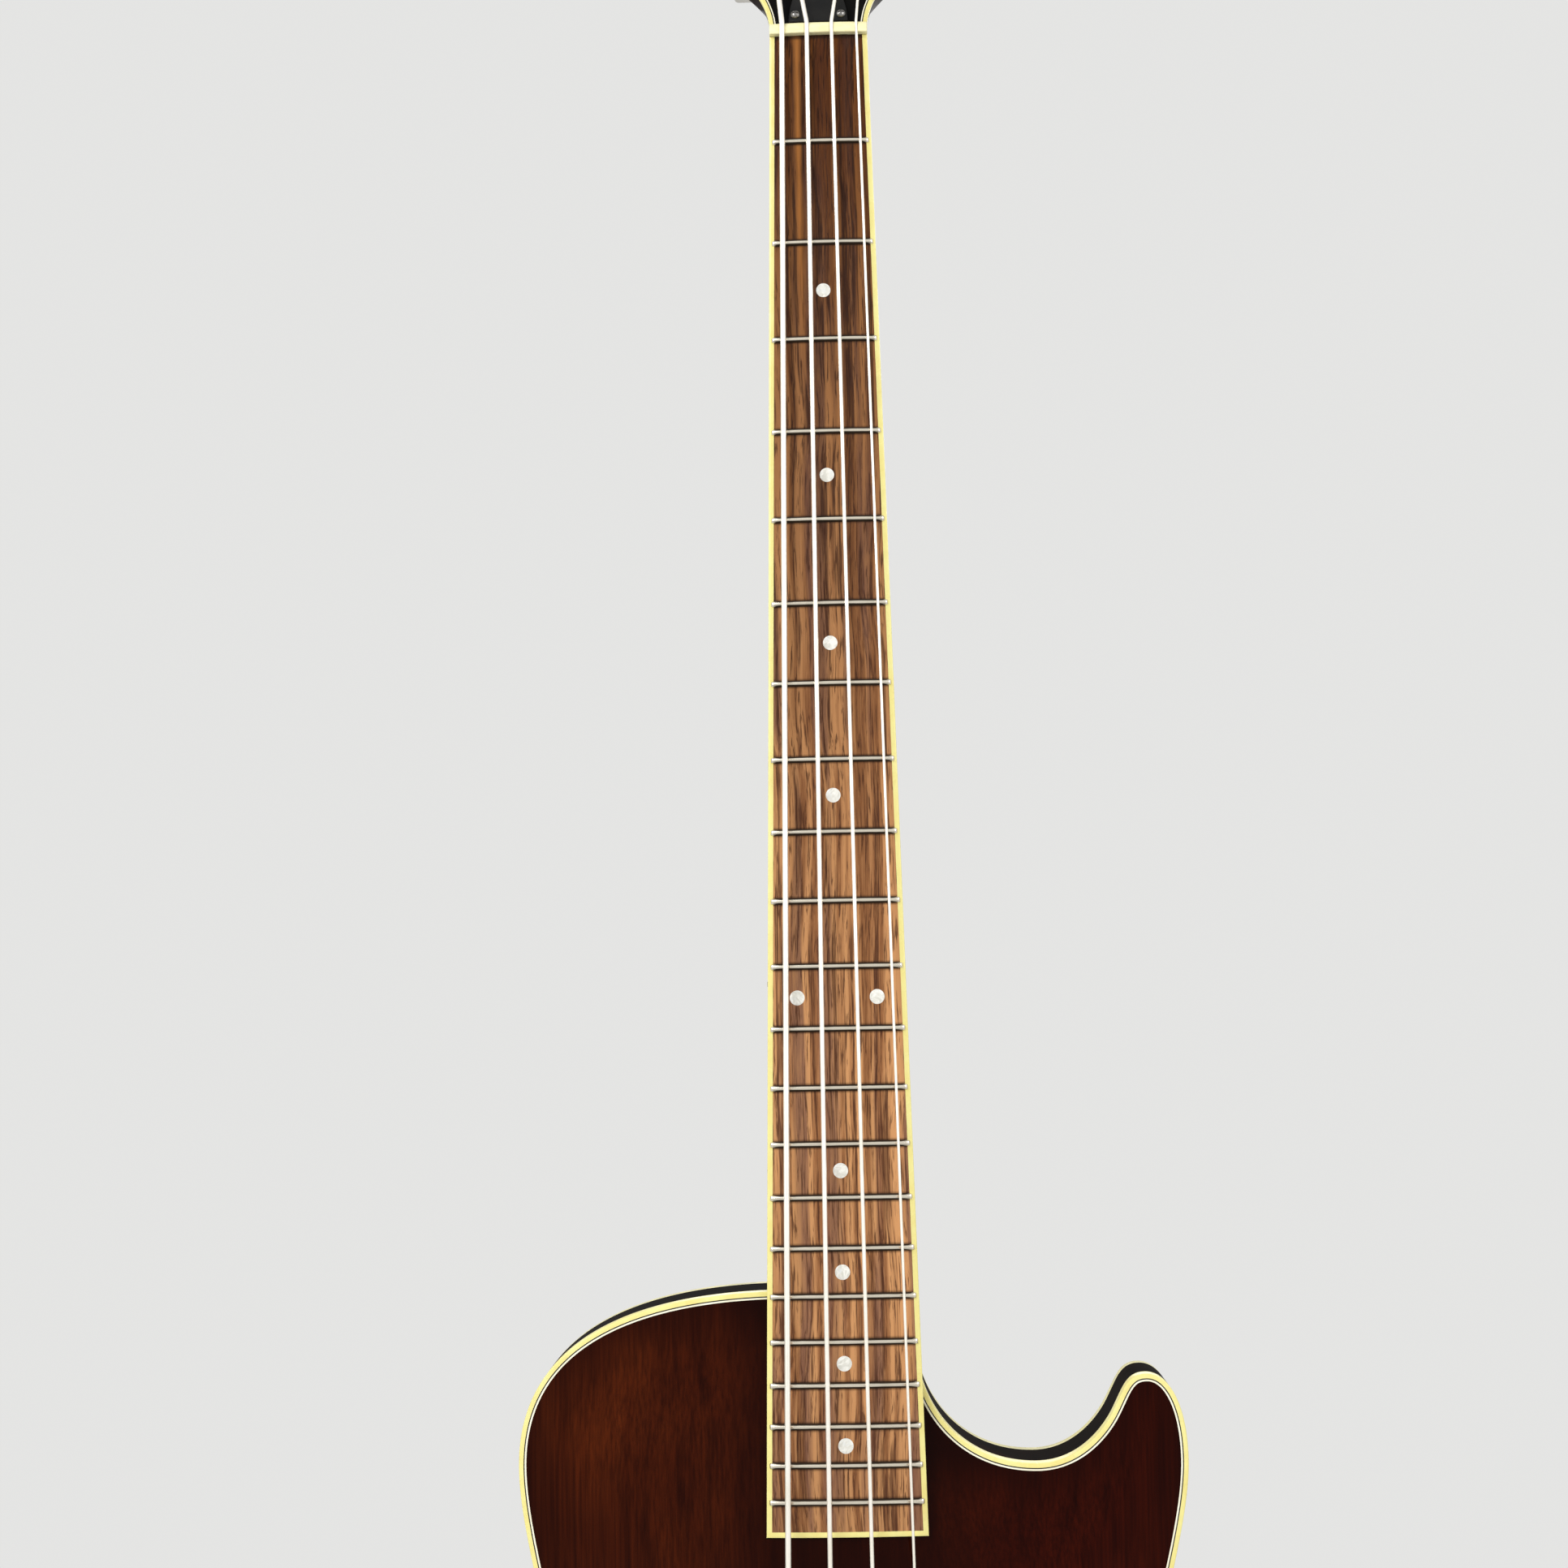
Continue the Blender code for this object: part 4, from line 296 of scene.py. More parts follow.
def rosewoodFinish():
    net = Finish("rosewood", (0.21, 0.09, 0.036), 0.5, **{"Specular IOR Level": 0.10})
    along = net.turned(net.where, layout["neckAngle"])
    spot = net.split(along)
    laid = net.vectorSums("ADD", along, net.sway(along, 0.010))
    # darker by the nut, tan towards the body: partly the wood's own tone, partly painted shade
    down = net.ranged(spot["Z"], -0.02, -0.44)
    base, light, dark, violet = [net.blended(down, *pair) for pair in (
        ((0.056, 0.0150, 0.0030), (0.255, 0.105, 0.040)),
        ((0.125, 0.0400, 0.0075), (0.545, 0.270, 0.112)),
        ((0.018, 0.0048, 0.0012), (0.074, 0.026, 0.012)),
        ((0.040, 0.0135, 0.0075), (0.190, 0.088, 0.056)))]
    colour = net.blended(net.soft(net.streaks(laid, 230.0, 1.6, 2.0, 0.45), 0.43, 0.57), base, light)
    colour = net.over(colour, violet, net.ranged(net.streaks(laid, 120.0, 3.2, 2.0), 0.52, 0.62), 0.8)
    vein = net.ranged(net.streaks(laid, 560.0, 4.0, 3.0, 0.55), 0.54, 0.62)
    colour = net.over(colour, dark, vein, 0.85)
    fine = net.streaks(laid, 1300.0, 62.0, 4.0, 0.6, 0.5)
    colour = net.blended(net.ranged(fine, 0.32, 0.50, 0.40, 0.0), colour, light)
    pores = net.ranged(fine, 0.54, 0.63)
    colour = net.over(colour, dark, pores, 0.85)
    colour = net.blended(net.ranged(spot["Z"], -0.55, -0.62, 0.0, 0.20), colour, dark)
    # one orange streak between the two heavy strings near the nut
    waver = net.streaks(along, 60.0, 22.0, 2.0)
    aside = net.sums("ABSOLUTE", net.sums("ADD", spot["X"], 0.0096))
    aside = net.ranged(net.sums("MULTIPLY_ADD", waver, 0.0036, aside), 0.0024, 0.0042, 1.0, 0.0)
    high = net.soft(spot["Z"], -0.16, -0.06)
    colour = net.over(colour, (0.330, 0.125, 0.028), net.times(aside, high), 0.85)
    # dirt and painted shade against each fret: the fret's number from the logarithm of what is left of the
    # scale
    left = net.sums("MULTIPLY_ADD", spot["Z"], 1.0 / layout["scaleLength"], 1.0)
    number = net.times(net.sums("LOGARITHM", left, 2.0), -12.0)
    off = net.sums("ABSOLUTE", net.sums("SUBTRACT", number, net.sums("ROUND", number)))
    off = net.times(off, net.times(left, layout["scaleLength"] * math.log(2.0) / 12.0))
    colour = net.blended(net.ranged(off, 0.0013, 0.0023, 0.70, 0.0), colour, (0.020, 0.0095, 0.0055))
    handled = net.placed(handlingGroup, net.where, Scale=24.0, Low=0.40, High=0.58)
    return net.dress(colour, net.sums("MULTIPLY_ADD", pores, 0.15, handled["Roughness"]),
                     net.sums("SUBTRACT", 1.0, pores), 0.00012, 0.6)


def pearlFinish():
    net = Finish("pearlDot", (0.78, 0.77, 0.70), 0.2, **{"Coat Weight": 0.3})
    swirl = net.noise(net.where, 260.0, 2.0, 0.5, 2.5)
    aged = net.placed(ageingGroup, net.where, Scale=300.0)
    colour = net.blended(net.ranged(swirl, 0.36, 0.66), (0.66, 0.65, 0.58), (0.86, 0.85, 0.79))
    colour = net.blended(net.ranged(aged["Tone"], 0.55, 0.75), colour, (0.74, 0.76, 0.74))
    return net.dress(colour, net.ranged(swirl, 0.3, 0.7, 0.16, 0.30))


def fretFinish():
    bright = (0.780, 0.720, 0.600)
    net = Finish("fretWire", bright, 0.26, Metallic=1.0)
    aged = net.placed(ageingGroup, net.where, Scale=110.0)
    crown = net.sums("MULTIPLY_ADD", aged["Tone"], 0.20, net.valueOf("crown"))
    crown = net.ranged(crown, 0.58, 0.82)
    worn = net.blended(net.ranged(aged["Grime"], 0.0, 1.0, 0.0, 0.5), bright, (0.520, 0.460, 0.370))
    # the flanks are painted dark as shade; the crown and the ends keep the metal's own colour
    colour = net.blended(crown, (0.055, 0.040, 0.028), worn)
    return net.dress(colour, net.ranged(crown, 0.0, 1.0, 0.60, 0.24), aged["Tone"], 0.00002)


def wireFinish():
    bright = (0.95, 0.91, 0.82)
    net = Finish("stringWire", bright, 0.34, Metallic=0.6)
    aged = net.placed(ageingGroup, net.where, Scale=50.0)
    colour = net.blended(net.ranged(aged["Tone"], 0.42, 0.74), bright, (0.80, 0.75, 0.64))
    # flat wrap: a shallow turn every half millimetre along the wire
    wrap = net.sums("SINE", net.times(net.valueOf("along"), fullTurn / 0.0005))
    return net.dress(colour, net.ranged(aged["Tone"], 0.3, 0.7, 0.28, 0.42), wrap, 0.000008, 0.35)


def rawWoodFinish():
    pale = (0.50, 0.33, 0.17)
    net = Finish("rawWood", pale, 0.75, **{"Specular IOR Level": 0.2})
    grain = net.placed(grainGroup, net.where, Across=420.0, Along=8.0, Wander=0.8)
    colour = net.blended(net.ranged(grain["Fibre"], 0.35, 0.66), pale, (0.36, 0.21, 0.10))
    return net.dress(colour, None, grain["Fibre"], 0.0001, 0.4)


def amberFinish():
    deep = (0.36, 0.135, 0.018)
    net = Finish("amberKnob", deep, 0.12, **{"Coat Weight": 0.4, "Coat Roughness": 0.05,
                                             "Subsurface Weight": 0.25, "Subsurface Scale": 0.004})
    handled = net.placed(handlingGroup, net.where, Scale=90.0, Low=0.10, High=0.26)
    cloud = net.ranged(net.noise(net.where, 160.0, 2.0), 0.35, 0.68)
    return net.dress(net.blended(cloud, deep, (0.50, 0.225, 0.040)), handled["Roughness"])


glossy = {"Specular IOR Level": 0.0, "Coat Weight": 0.10, "Coat Roughness": 0.04}
darkGloss = {**glossy, "Coat Weight": 0.045}
finishes = {  # each with the part slot that it stands for
    "top": (lacquerOnWood("topLacquer", (0.0090, 0.0008, 0.0002), (0.0430, 0.0060, 0.0009),
                          (0.0900, 0.0150, 0.0022), glossy, shaded=True), "top_lacquer"),
    "back": (lacquerOnWood("darkLacquer", (0.0025, 0.0017, 0.0013), (0.0080, 0.0048, 0.0034),
                           (0.0180, 0.0062, 0.0036), darkGloss), "dark_lacquer"),
    "neck": (lacquerOnWood("neckLacquer", (0.0060, 0.0026, 0.0017), (0.0150, 0.0060, 0.0036),
                           (0.0260, 0.0088, 0.0042), glossy, lean=layout["neckAngle"]), "neck_lacquer"),
    "blackGloss": (wornFinish("blackGloss", (0.0045, 0.0043, 0.0041), (0.0090, 0.0086, 0.0080), 0.07, 0.18,
                              darkGloss, 20.0), "black_gloss"),
    "blackPlastic": (wornFinish("blackPlastic", (0.008, 0.008, 0.008), (0.016, 0.015, 0.014), 0.26, 0.42,
                                {"Specular IOR Level": 0.15}), "black_plastic"),
    "blackPly": (wornFinish("blackPly", (0.010, 0.009, 0.008), (0.024, 0.020, 0.015), 0.22, 0.36,
                            {"Specular IOR Level": 0.3}), "black_plastic"),
    "whitePly": (wornFinish("whitePly", (0.850, 0.830, 0.680), (0.780, 0.740, 0.560), 0.22, 0.36,
                            {"Specular IOR Level": 0.35}), "cream_binding"),
    "cream": (wornFinish("creamBinding", (0.800, 0.735, 0.290), (0.770, 0.670, 0.230), 0.18, 0.36,
                         {"Specular IOR Level": 0.35}, 60.0, 1.5, (0.36, 0.68),
                         ("Grime", 0.30, (0.560, 0.430, 0.140)), 0.3), "cream_binding"),
    "bone": (boneFinish(), "bone_nut"),
    "rosewood": (rosewoodFinish(), "rosewood"),
    "pearl": (pearlFinish(), "bone_nut"),
    "nickel": (plated("nickel", (0.62, 0.60, 0.56), (0.48, 0.45, 0.39), 0.14, 0.30), "nickel"),
    "fretWire": (fretFinish(), "nickel"),
    "steel": (plated("darkSteel", (0.28, 0.27, 0.26), (0.16, 0.14, 0.12), 0.28, 0.48), "dark_steel"),
    "wire": (wireFinish(), "string_wire"),
    "rawWood": (rawWoodFinish(), "dark_lacquer"),
    "amber": (amberFinish(), "amber_knob"),
}
print("finishes ready")


# shaping helpers

def placeFacing(direction, origin):
    turn = Vector(direction).to_track_quat("Z", "Y")
    return Matrix.Translation(origin) @ turn.to_matrix().to_4x4()


def facingFront(x=0.0, z=0.0, y=0.0):
    return placeFacing((0.0, -1.0, 0.0), (x, y, z))


def facingBack(x, z, y):
    return placeFacing((0.0, 1.0, 0.0), (x, y, z))


def shifted(bm, place):
    if place is not None:
        bmesh.ops.transform(bm, matrix=place, verts=bm.verts)
    return bm


def laidFlat(bm):  # a sheet drawn on (x, z), into the frame of a piece that faces the front
    return shifted(bm, facingFront().inverted())


def skin(rows, closed=False):  # quads laid round each row and on to the next; open ends are capped
    rows = [list(row) + list(row[:1]) for row in rows]
    if closed:
        rows.append(rows[0])
    bm = bmesh.new()
    bmesh.ops.create_grid(bm, x_segments=len(rows[0]) - 1, y_segments=len(rows) - 1, size=1.0)
    for vert, spot in zip(bm.verts, [spot for row in rows for spot in row]):
        vert.co = spot
    bmesh.ops.remove_doubles(bm, verts=bm.verts, dist=0.0000002)
    if not closed:
        bmesh.ops.holes_fill(bm, edges=bm.edges, sides=0)
    bmesh.ops.recalc_face_normals(bm, faces=bm.faces)
    return bm


def spun(profile, steps=40, place=None, ring=False):  # (radius, height) about Z
    bm = bmesh.new()
    verts = [bm.verts.new((radius, 0.0, height)) for radius, height in profile]
    edges = [bm.edges.new(pair) for pair in zip(verts, verts[1:])]
    if ring:
        edges.append(bm.edges.new((verts[-1], verts[0])))
    bmesh.ops.spin(bm, geom=verts + edges, cent=(0, 0, 0), axis=(0, 0, 1), angle=fullTurn, steps=steps,
                   use_merge=True, use_duplicate=False)
    bmesh.ops.remove_doubles(bm, verts=bm.verts, dist=0.0000005)
    bmesh.ops.recalc_face_normals(bm, faces=bm.faces)
    return shifted(bm, place)


def rodOf(radius, start, end, place=None, steps=32):
    return spun([(0.0, start), (radius, start), (radius, end), (0.0, end)], steps, place)


def bevelled(bm, edges, width, segments=2):
    bmesh.ops.bevel(bm, geom=edges, offset=width, offset_type="OFFSET", segments=segments, profile=0.5,
                    affect="EDGES", material=-1, clamp_overlap=True)
    return bm


def thickened(bm, faces, depth):
    grown = bmesh.ops.extrude_face_region(bm, geom=faces)
    moved = [item for item in grown["geom"] if isinstance(item, bmesh.types.BMVert)]
    bmesh.ops.translate(bm, verts=moved, vec=(0.0, depth, 0.0))
    bmesh.ops.recalc_face_normals(bm, faces=bm.faces)


def sheetOf(points, low, high, bevel=0.0, segments=2):  # an outline of (x, z), extruded along Y
    bm = bmesh.new()
    face = bm.faces.new([bm.verts.new((x, low, z)) for x, z in points])
    thickened(bm, [face], high - low)
    if bevel:
        rims = [edge for edge in bm.edges if abs(edge.verts[0].co.y - edge.verts[1].co.y) < 0.0000001]
        bevelled(bm, rims, bevel, segments)
    return bm


def blockOf(low, high, bevel=0.0, segments=2):
    bm = bmesh.new()
    size = Vector(high) - Vector(low)
    place = Matrix.Translation((Vector(low) + Vector(high)) * 0.5) @ Matrix.Diagonal((*size, 1.0))
    bmesh.ops.create_cube(bm, size=1.0, matrix=place)
    if bevel:
        bevelled(bm, list(bm.edges), bevel, segments)
    return bm


def softened(node, width, segments=2):  # a merged copy of a solid, its edges broken
    bm = bmesh.new()
    bm.from_mesh(frame["nodes"][node].data)
    bmesh.ops.remove_doubles(bm, verts=bm.verts, dist=0.000001)
    bmesh.ops.dissolve_limit(bm, angle_limit=math.radians(1.0), verts=bm.verts, edges=bm.edges)
    sharp = [edge for edge in bm.edges if edge.is_manifold and edge.calc_face_angle() > math.radians(25.0)]
    return bevelled(bm, sharp, width, segments)


def meshOf(name, bm):
    mesh = bpy.data.meshes.new(name)
    bm.to_mesh(mesh)
    bm.free()
    return mesh


def linked(name, data):
    item = bpy.data.objects.new(name, data)
    scene.collection.objects.link(item)
    return item


def carved(bm, cutters, operation="DIFFERENCE"):
    items = [linked("scratch", meshOf("scratch", part)) for part in [bm] + cutters]
    for cutter in items[1:]:
        step = items[0].modifiers.new("carve", "BOOLEAN")
        step.operation = operation
        step.solver = "EXACT"
        step.object = cutter
    result = bmesh.new()
    result.from_object(items[0], bpy.context.evaluated_depsgraph_get())
    for item in items:
        mesh = item.data
        bpy.data.objects.remove(item, do_unlink=True)
        bpy.data.meshes.remove(mesh)
    return result


def together(parts):
    whole = bmesh.new()
    for part in parts:
        mesh = meshOf("scratch", part)
        whole.from_mesh(mesh)
        bpy.data.meshes.remove(mesh)
    return whole


def finished(name, bm, finish, node=None, body="instrument", place=None, sharpAngle=35.0):
    mesh = meshOf(name, shifted(bm, place))
    mesh.shade_smooth()
    mesh.set_sharp_from_angle(angle=math.radians(sharpAngle))
    piece = linked(name, mesh)
    keys = [finish] if isinstance(finish, str) else finish
    for key in keys:
        mesh.materials.append(finishes[key][0])
    if body:
        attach(piece, body)
    if node:
        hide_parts(node)
    return piece


def screwPrototype():  # unit radius, crossed slot
    head = spun([(0.0, 0.62), (0.30, 0.60), (0.62, 0.47), (0.88, 0.24), (1.0, 0.0), (1.0, -0.25),
                 (0.0, -0.25)], 24)
    arms = [blockOf((-x, -y, 0.22), (x, y, 1.0)) for x, y in ((0.62, 0.12), (0.12, 0.62))]
    return meshOf("screwHead", carved(head, arms))


screwHead = screwPrototype()


def screwAt(radius, place):
    bm = bmesh.new()
    bm.from_mesh(screwHead)
    return shifted(bm, place @ Matrix.Diagonal((radius, radius, radius, 1.0)))


def circleOf(radius, count, x=0.0, z=0.0, turn=-fullTurn):
    return [(x + radius * math.cos(angle), z + radius * math.sin(angle))
            for angle in turn * np.arange(count) / count]


def roundAngles(count):
    return fullTurn * (np.arange(count) + 0.5) / count


def roundedBox(count, across, along):  # a unit circle, pushed out the more the lower its two powers are
    return [(math.copysign(abs(x) ** across, x), math.copysign(abs(y) ** along, y))
            for x, y in ((math.cos(a), math.sin(a)) for a in roundAngles(count))]


def chain(nodes, closed, density):  # (x, z, direction, handle in, handle out, steps to the next)
    points = []
    for i in range(len(nodes) if closed else len(nodes) - 1):
        x0, z0, turn0, _, out0, steps = nodes[i]
        x3, z3, turn3, in3, _, _ = nodes[(i + 1) % len(nodes)]
        a = Vector((x0, z0))
        b = a + out0 * Vector((math.cos(turn0), math.sin(turn0)))
        d = Vector((x3, z3))
        c = d - in3 * Vector((math.cos(turn3), math.sin(turn3)))
        for k in range(steps * density):
            t = k / (steps * density)
            u = 1.0 - t
            points.append(tuple(u ** 3 * a + 3 * u * u * t * b + 3 * u * t * t * c + t ** 3 * d))
    return points if closed else points + [nodes[-1][:2]]


def mirrored(half):  # from the left foot over the tip to the right: clockwise from the front
    return [(-x, z) for x, z in half[:-1]] + half[::-1]


def drawnIn(points, distance, closed=True):  # a clockwise outline, moved inwards
    spots = np.array(points)
    along = np.roll(spots, -1, 0) - np.roll(spots, 1, 0)
    if not closed:
        along[0] = spots[1] - spots[0]
        along[-1] = spots[-1] - spots[-2]
    along /= np.linalg.norm(along, axis=1, keepdims=True)
    inward = np.stack((along[:, 1], -along[:, 0]), 1)
    return [tuple(spot) for spot in spots + inward * distance]


def swept(outline, section, closed=True):  # a section of (inset, y) carried round an outline
    loops = [drawnIn(outline, inset, closed) for inset, _ in section]
    return skin([[(loop[step][0], y, loop[step][1]) for loop, (_, y) in zip(loops, section)]
                 for step in range(len(outline))], closed)


def nearestTo(points, closed=True):  # measures how far a spot lies from an outline
    corners = [Vector((x, z, 0.0)) for x, z in points]
    spots = []
    for start, end in zip(corners, corners[1:] + (corners[:1] if closed else [])):
        count = max(1, math.ceil((end - start).length / 0.0002))
        spots += [start.lerp(end, k / count) for k in range(count)]
    tree = KDTree(len(spots))
    for number, spot in enumerate(spots):
        tree.insert(spot, number)
    tree.balance()
    return lambda x, z: tree.find((x, z, 0.0))[2]


def paintPlies(ring, face, away, black, white):  # strips of the flat face, by how far each lies from the edge
    for item in ring.faces:
        middle = item.calc_center_median()
        item.material_index = 0
        if abs(middle.y - face) < 0.00005:
            distance = away(middle.x, middle.z)
            item.material_index = (distance > black) + (distance > white)


def camber(x):
    return layout["boardRadius"] - math.sqrt(layout["boardRadius"] ** 2 - x * x)


def boardHalfWidth(z):
    grow = layout["boardEndWidth"] - layout["nutWidth"]
    return 0.5 * (layout["nutWidth"] - grow * z / layout["boardLength"])


def fretAt(number):
    return -layout["scaleLength"] * (1.0 - 2.0 ** (-number / 12.0))


# body

body = dict(
    archTop=0.012, archBack=0.010,      # rise of the two carved plates
    reachWaist=0.050, reachLower=0.066, # from the edge to where the arch levels off
    neckShare=0.30,                     # the arch is carved low towards the neck
    plateThick=0.004, wall=0.0025,
    creamPly=0.00195, blackPly=0.00242, whitePly=0.00310,  # outer limits of the plies, from the rim
    bindingDepth=0.0055, bindingRound=0.0006,
    liningWidth=0.0062, liningDepth=0.0080, liningTaper=0.0030,
    shoulderZ=-0.5371, boardRoomZ=-0.518,
    shadeTreble=0.055, shadeBass=0.022, # how far the painted shade beside the board reaches
    shadeRim=0.022, shadeEndZ=-0.70,
    widenFrom=0.030, widenOver=0.090,   # below the waist the arch takes up its longer reach
    levelFrom=0.008, levelOver=0.120,   # below the shoulder it takes up its full height
    markInset=0.0030, markStep=0.001,
    gridHalf=(0.180, 0.232), gridZ=-0.760,
    cell=0.0035,
    density=8,
    postHole=0.0043, knobHole=0.0034, jackHole=0.0051, jackX=0.174,
    pickupRoom=(-0.045, 0.049, 0.0212), # left, right and half its height
    neckBlock=((-0.044, -0.6491), (0.0297, -0.5371)), tailBlock=(0.032, 0.026),
    patchHalf=(0.058, 0.016), patchDepth=(0.0041, 0.016),
    fit=0.00008, seam=0.00005,
)
soundHole = dict(half=0.059, eye=0.0080, stem=0.0095, sway=0.0085, x=0.098, z=layout["bridgeZ"] + 0.069,
                 lean=math.radians(9.0), steps=48)
waistZ = layout["bridgeZ"] + 0.148
lowerBoutZ = layout["bridgeZ"] - 0.001
tailZ = layout["bridgeZ"] - 0.120


def bodyOutline(density):
    east, south, west, north = 0.0, -math.pi / 2, math.pi, math.pi / 2
    return chain([
        (-0.022, body["shoulderZ"], east, 0.0375, 0.049, 6),
        (0.0297, -0.5608, south, 0.020, 0.020, 6),
        (0.0775, -0.6076, east, 0.033, 0.0165, 4),
        (0.1088, -0.5868, math.radians(62.5), 0.0095, 0.0098, 3),
        (0.1225, -0.5724, east, 0.0076, 0.0098, 5),
        (0.1386, -0.6065, south, 0.0203, 0.030, 4),
        (0.119, waistZ, south, 0.030, 0.045, 5),
        (0.174, lowerBoutZ, south, 0.058, 0.068, 8),
        (0.0, tailZ, west, 0.098, 0.098, 8),
        (-0.172, lowerBoutZ, north, 0.068, 0.058, 5),
        (-0.117, waistZ, north, 0.045, 0.030, 4),
        (-0.1336, -0.6065, north, 0.030, 0.0637, 8),
    ], True, density)


rim = bodyOutline(body["density"])
fromRim = nearestTo(rim)


def edgeMarks():  # close marks along the plate's edge, each with its length
    edge = np.array(drawnIn(bodyOutline(2), body["markInset"]))
    marks = []
    for a, b in zip(np.roll(edge, 1, 0), edge):
        count = max(1, round(float(np.linalg.norm(b - a)) / body["markStep"]))
        for k in range(count):
            marks.append((*(a + (b - a) * (k + 0.5) / count), np.linalg.norm(b - a) / count))
    return np.array(marks)


plateMarks = edgeMarks()


def eased(share):
    share = np.clip(share, 0.0, 1.0)
    return share * share * (3.0 - 2.0 * share)


def edgeDistance(spots):  # eased where two edges are near, so that the arch has no ridge
    result = np.empty(len(spots))
    for start in range(0, len(spots), 4000):
        part = spots[start:start + 4000]
        square = ((part[:, None, :] - plateMarks[None, :, :2]) ** 2).sum(2) + 1e-12
        pull = (plateMarks[None, :, 2] / square ** 3).sum(1)
        result[start:start + 4000] = (pull * 8.0 / (3.0 * math.pi)) ** -0.2
    return result


def archShare(spots):
    z = spots[:, 1]
    widening = eased((waistZ - body["widenFrom"] - z) / body["widenOver"])
    reach = body["reachWaist"] + (body["reachLower"] - body["reachWaist"]) * widening
    falling = eased((body["shoulderZ"] - body["levelFrom"] - z) / body["levelOver"])
    return eased(edgeDistance(spots) / reach) * (body["neckShare"] + (1.0 - body["neckShare"]) * falling)


def topY(x, z):
    return layout["rimFrontY"] - body["archTop"] * float(archShare(np.array([[x, z]]))[0])


def topPlace(x, z, step=0.004):
    slopeX = (topY(x + step, z) - topY(x - step, z)) / (2 * step)
    slopeZ = (topY(x, z + step) - topY(x, z - step)) / (2 * step)
    return placeFacing((slopeX, -1.0, slopeZ), (x, topY(x, z), z))


def archedPlate(rimY, rise, side, cutters):
    across, along = body["gridHalf"]
    place = (Matrix.Translation((0.0, 0.0, body["gridZ"])) @ Matrix.Rotation(math.pi / 2, 4, "X")
             @ Matrix.Diagonal((across, along, 1.0, 1.0)))
    bm = bmesh.new()
    bmesh.ops.create_grid(bm, x_segments=round(2 * across / body["cell"]),
                          y_segments=round(2 * along / body["cell"]), size=1.0, matrix=place)
    thickened(bm, list(bm.faces), body["plateThick"])
    edge = sheetOf(drawnIn(rim, body["whitePly"] + 0.00002), -0.05, 0.05)
    bm = carved(carved(bm, [edge], "INTERSECT"), cutters)
    spots = np.array([(vert.co.x, vert.co.z) for vert in bm.verts])
    layer = bm.verts.layers.float.new("shade")
    for vert, (x, z), lift, away in zip(bm.verts, spots, archShare(spots), edgeDistance(spots)):
        vert.co.y = rimY + side * (rise * lift - vert.co.y)
        # the colour is darker at the rim, and painted shade darkens it beside the board, reaching farther on
        # the treble side
        rimShade = 1.0 - min(1.0, away / body["shadeRim"])
        spread = body["shadeTreble"] if x > 0.0 else body["shadeBass"]
        boardShade = max(0.0, 1.0 - max(0.0, abs(x) - 0.030) / spread)
        boardShade *= min(1.0, max(0.0, (z - body["shadeEndZ"]) / 0.05))
        vert[layer] = min(1.0, 0.55 * rimShade ** 1.5 + 0.80 * boardShade)
    bm.normal_update()
    bmesh.ops.recalc_face_normals(bm, faces=bm.faces)
    bm.normal_update()
    for face in bm.faces:  # lacquer outside, bare wood inside, dark walls in the holes
        outside = face.normal.y * side
        face.material_index = 0 if outside > 0.5 else (2 if outside < -0.5 else 1)
    return bm


def soundHoleCutters(side):
    eye, steps = soundHole["eye"], soundHole["steps"]
    reach = soundHole["half"] - eye
    flanks = ([], [])
    for k in range(steps + 1):
        t = -1.0 + 2.0 * k / steps
        middle = soundHole["sway"] * math.sin(t * math.pi * 0.62)
        width = 0.5 * soundHole["stem"] * (1.0 - 0.55 * abs(t) ** 2.2)
        flanks[0].append((middle + width, t * reach))
        flanks[1].append((middle - width, t * reach))
    outlines = [flanks[0] + flanks[1][::-1]]
    endX, endZ = flanks[0][-1]
    outlines += [circleOf(eye, 40, sign * (endX - eye * 0.72), sign * endZ, fullTurn) for sign in (-1.0, 1.0)]
    place = (Matrix.Translation((side * soundHole["x"], 0.0, soundHole["z"]))
             @ Matrix.Rotation(side * soundHole["lean"], 4, "Y") @ Matrix.Diagonal((side, 1.0, 1.0, 1.0)))
    parts = [shifted(sheetOf(outline, -0.03, 0.03), place) for outline in outlines]
    for part in parts:
        bmesh.ops.recalc_face_normals(part, faces=part.faces)
    return parts


def boardOpening():  # straight through the top plate, where the board lies in it
    rows = []
    for z in (body["boardRoomZ"], -layout["boardLength"]):
        wide = boardHalfWidth(z) + body["fit"]
        low = z * math.cos(layout["neckAngle"]) - 0.0006
        rows.append([(-wide, -0.06, low), (wide, -0.06, low), (wide, 0.06, low), (-wide, 0.06, low)])
    return skin(rows)


def tongueRoom():  # the board's width above the tongue's, in the neck's frame
    rows = []
    half, step, floor = 0.0243, 0.0063, 0.0256
    for z in (body["boardRoomZ"], -layout["boardLength"] - 0.0001):
        wide = boardHalfWidth(z) + body["fit"]
        rows.append([(-wide, -0.03, z), (wide, -0.03, z), (wide, step, z), (half, step, z),
                     (half, floor, z), (-half, floor, z), (-half, step, z), (-wide, step, z)])
    return shifted(skin(rows), neckPlace)


knobSpots = {"volume": (0.100, layout["bridgeZ"] - 0.029), "tone": (0.134, layout["bridgeZ"] - 0.013)}
postSpots = [(side * 0.0430 + layout["shiftAtBridge"], layout["bridgeZ"]) for side in (-1.0, 1.0)]
pickupZ = -layout["pickupAlong"] * math.cos(layout["neckAngle"])
jackPlace = placeFacing((1.0, 0.0, 0.0), (body["jackX"], 0.5 * (layout["rimFrontY"] + layout["rimBackY"]),
                                          lowerBoutZ))


def holesFor(spots, radius):
    return [rodOf(radius, -0.05, 0.05, facingFront(x, z)) for x, z in spots]


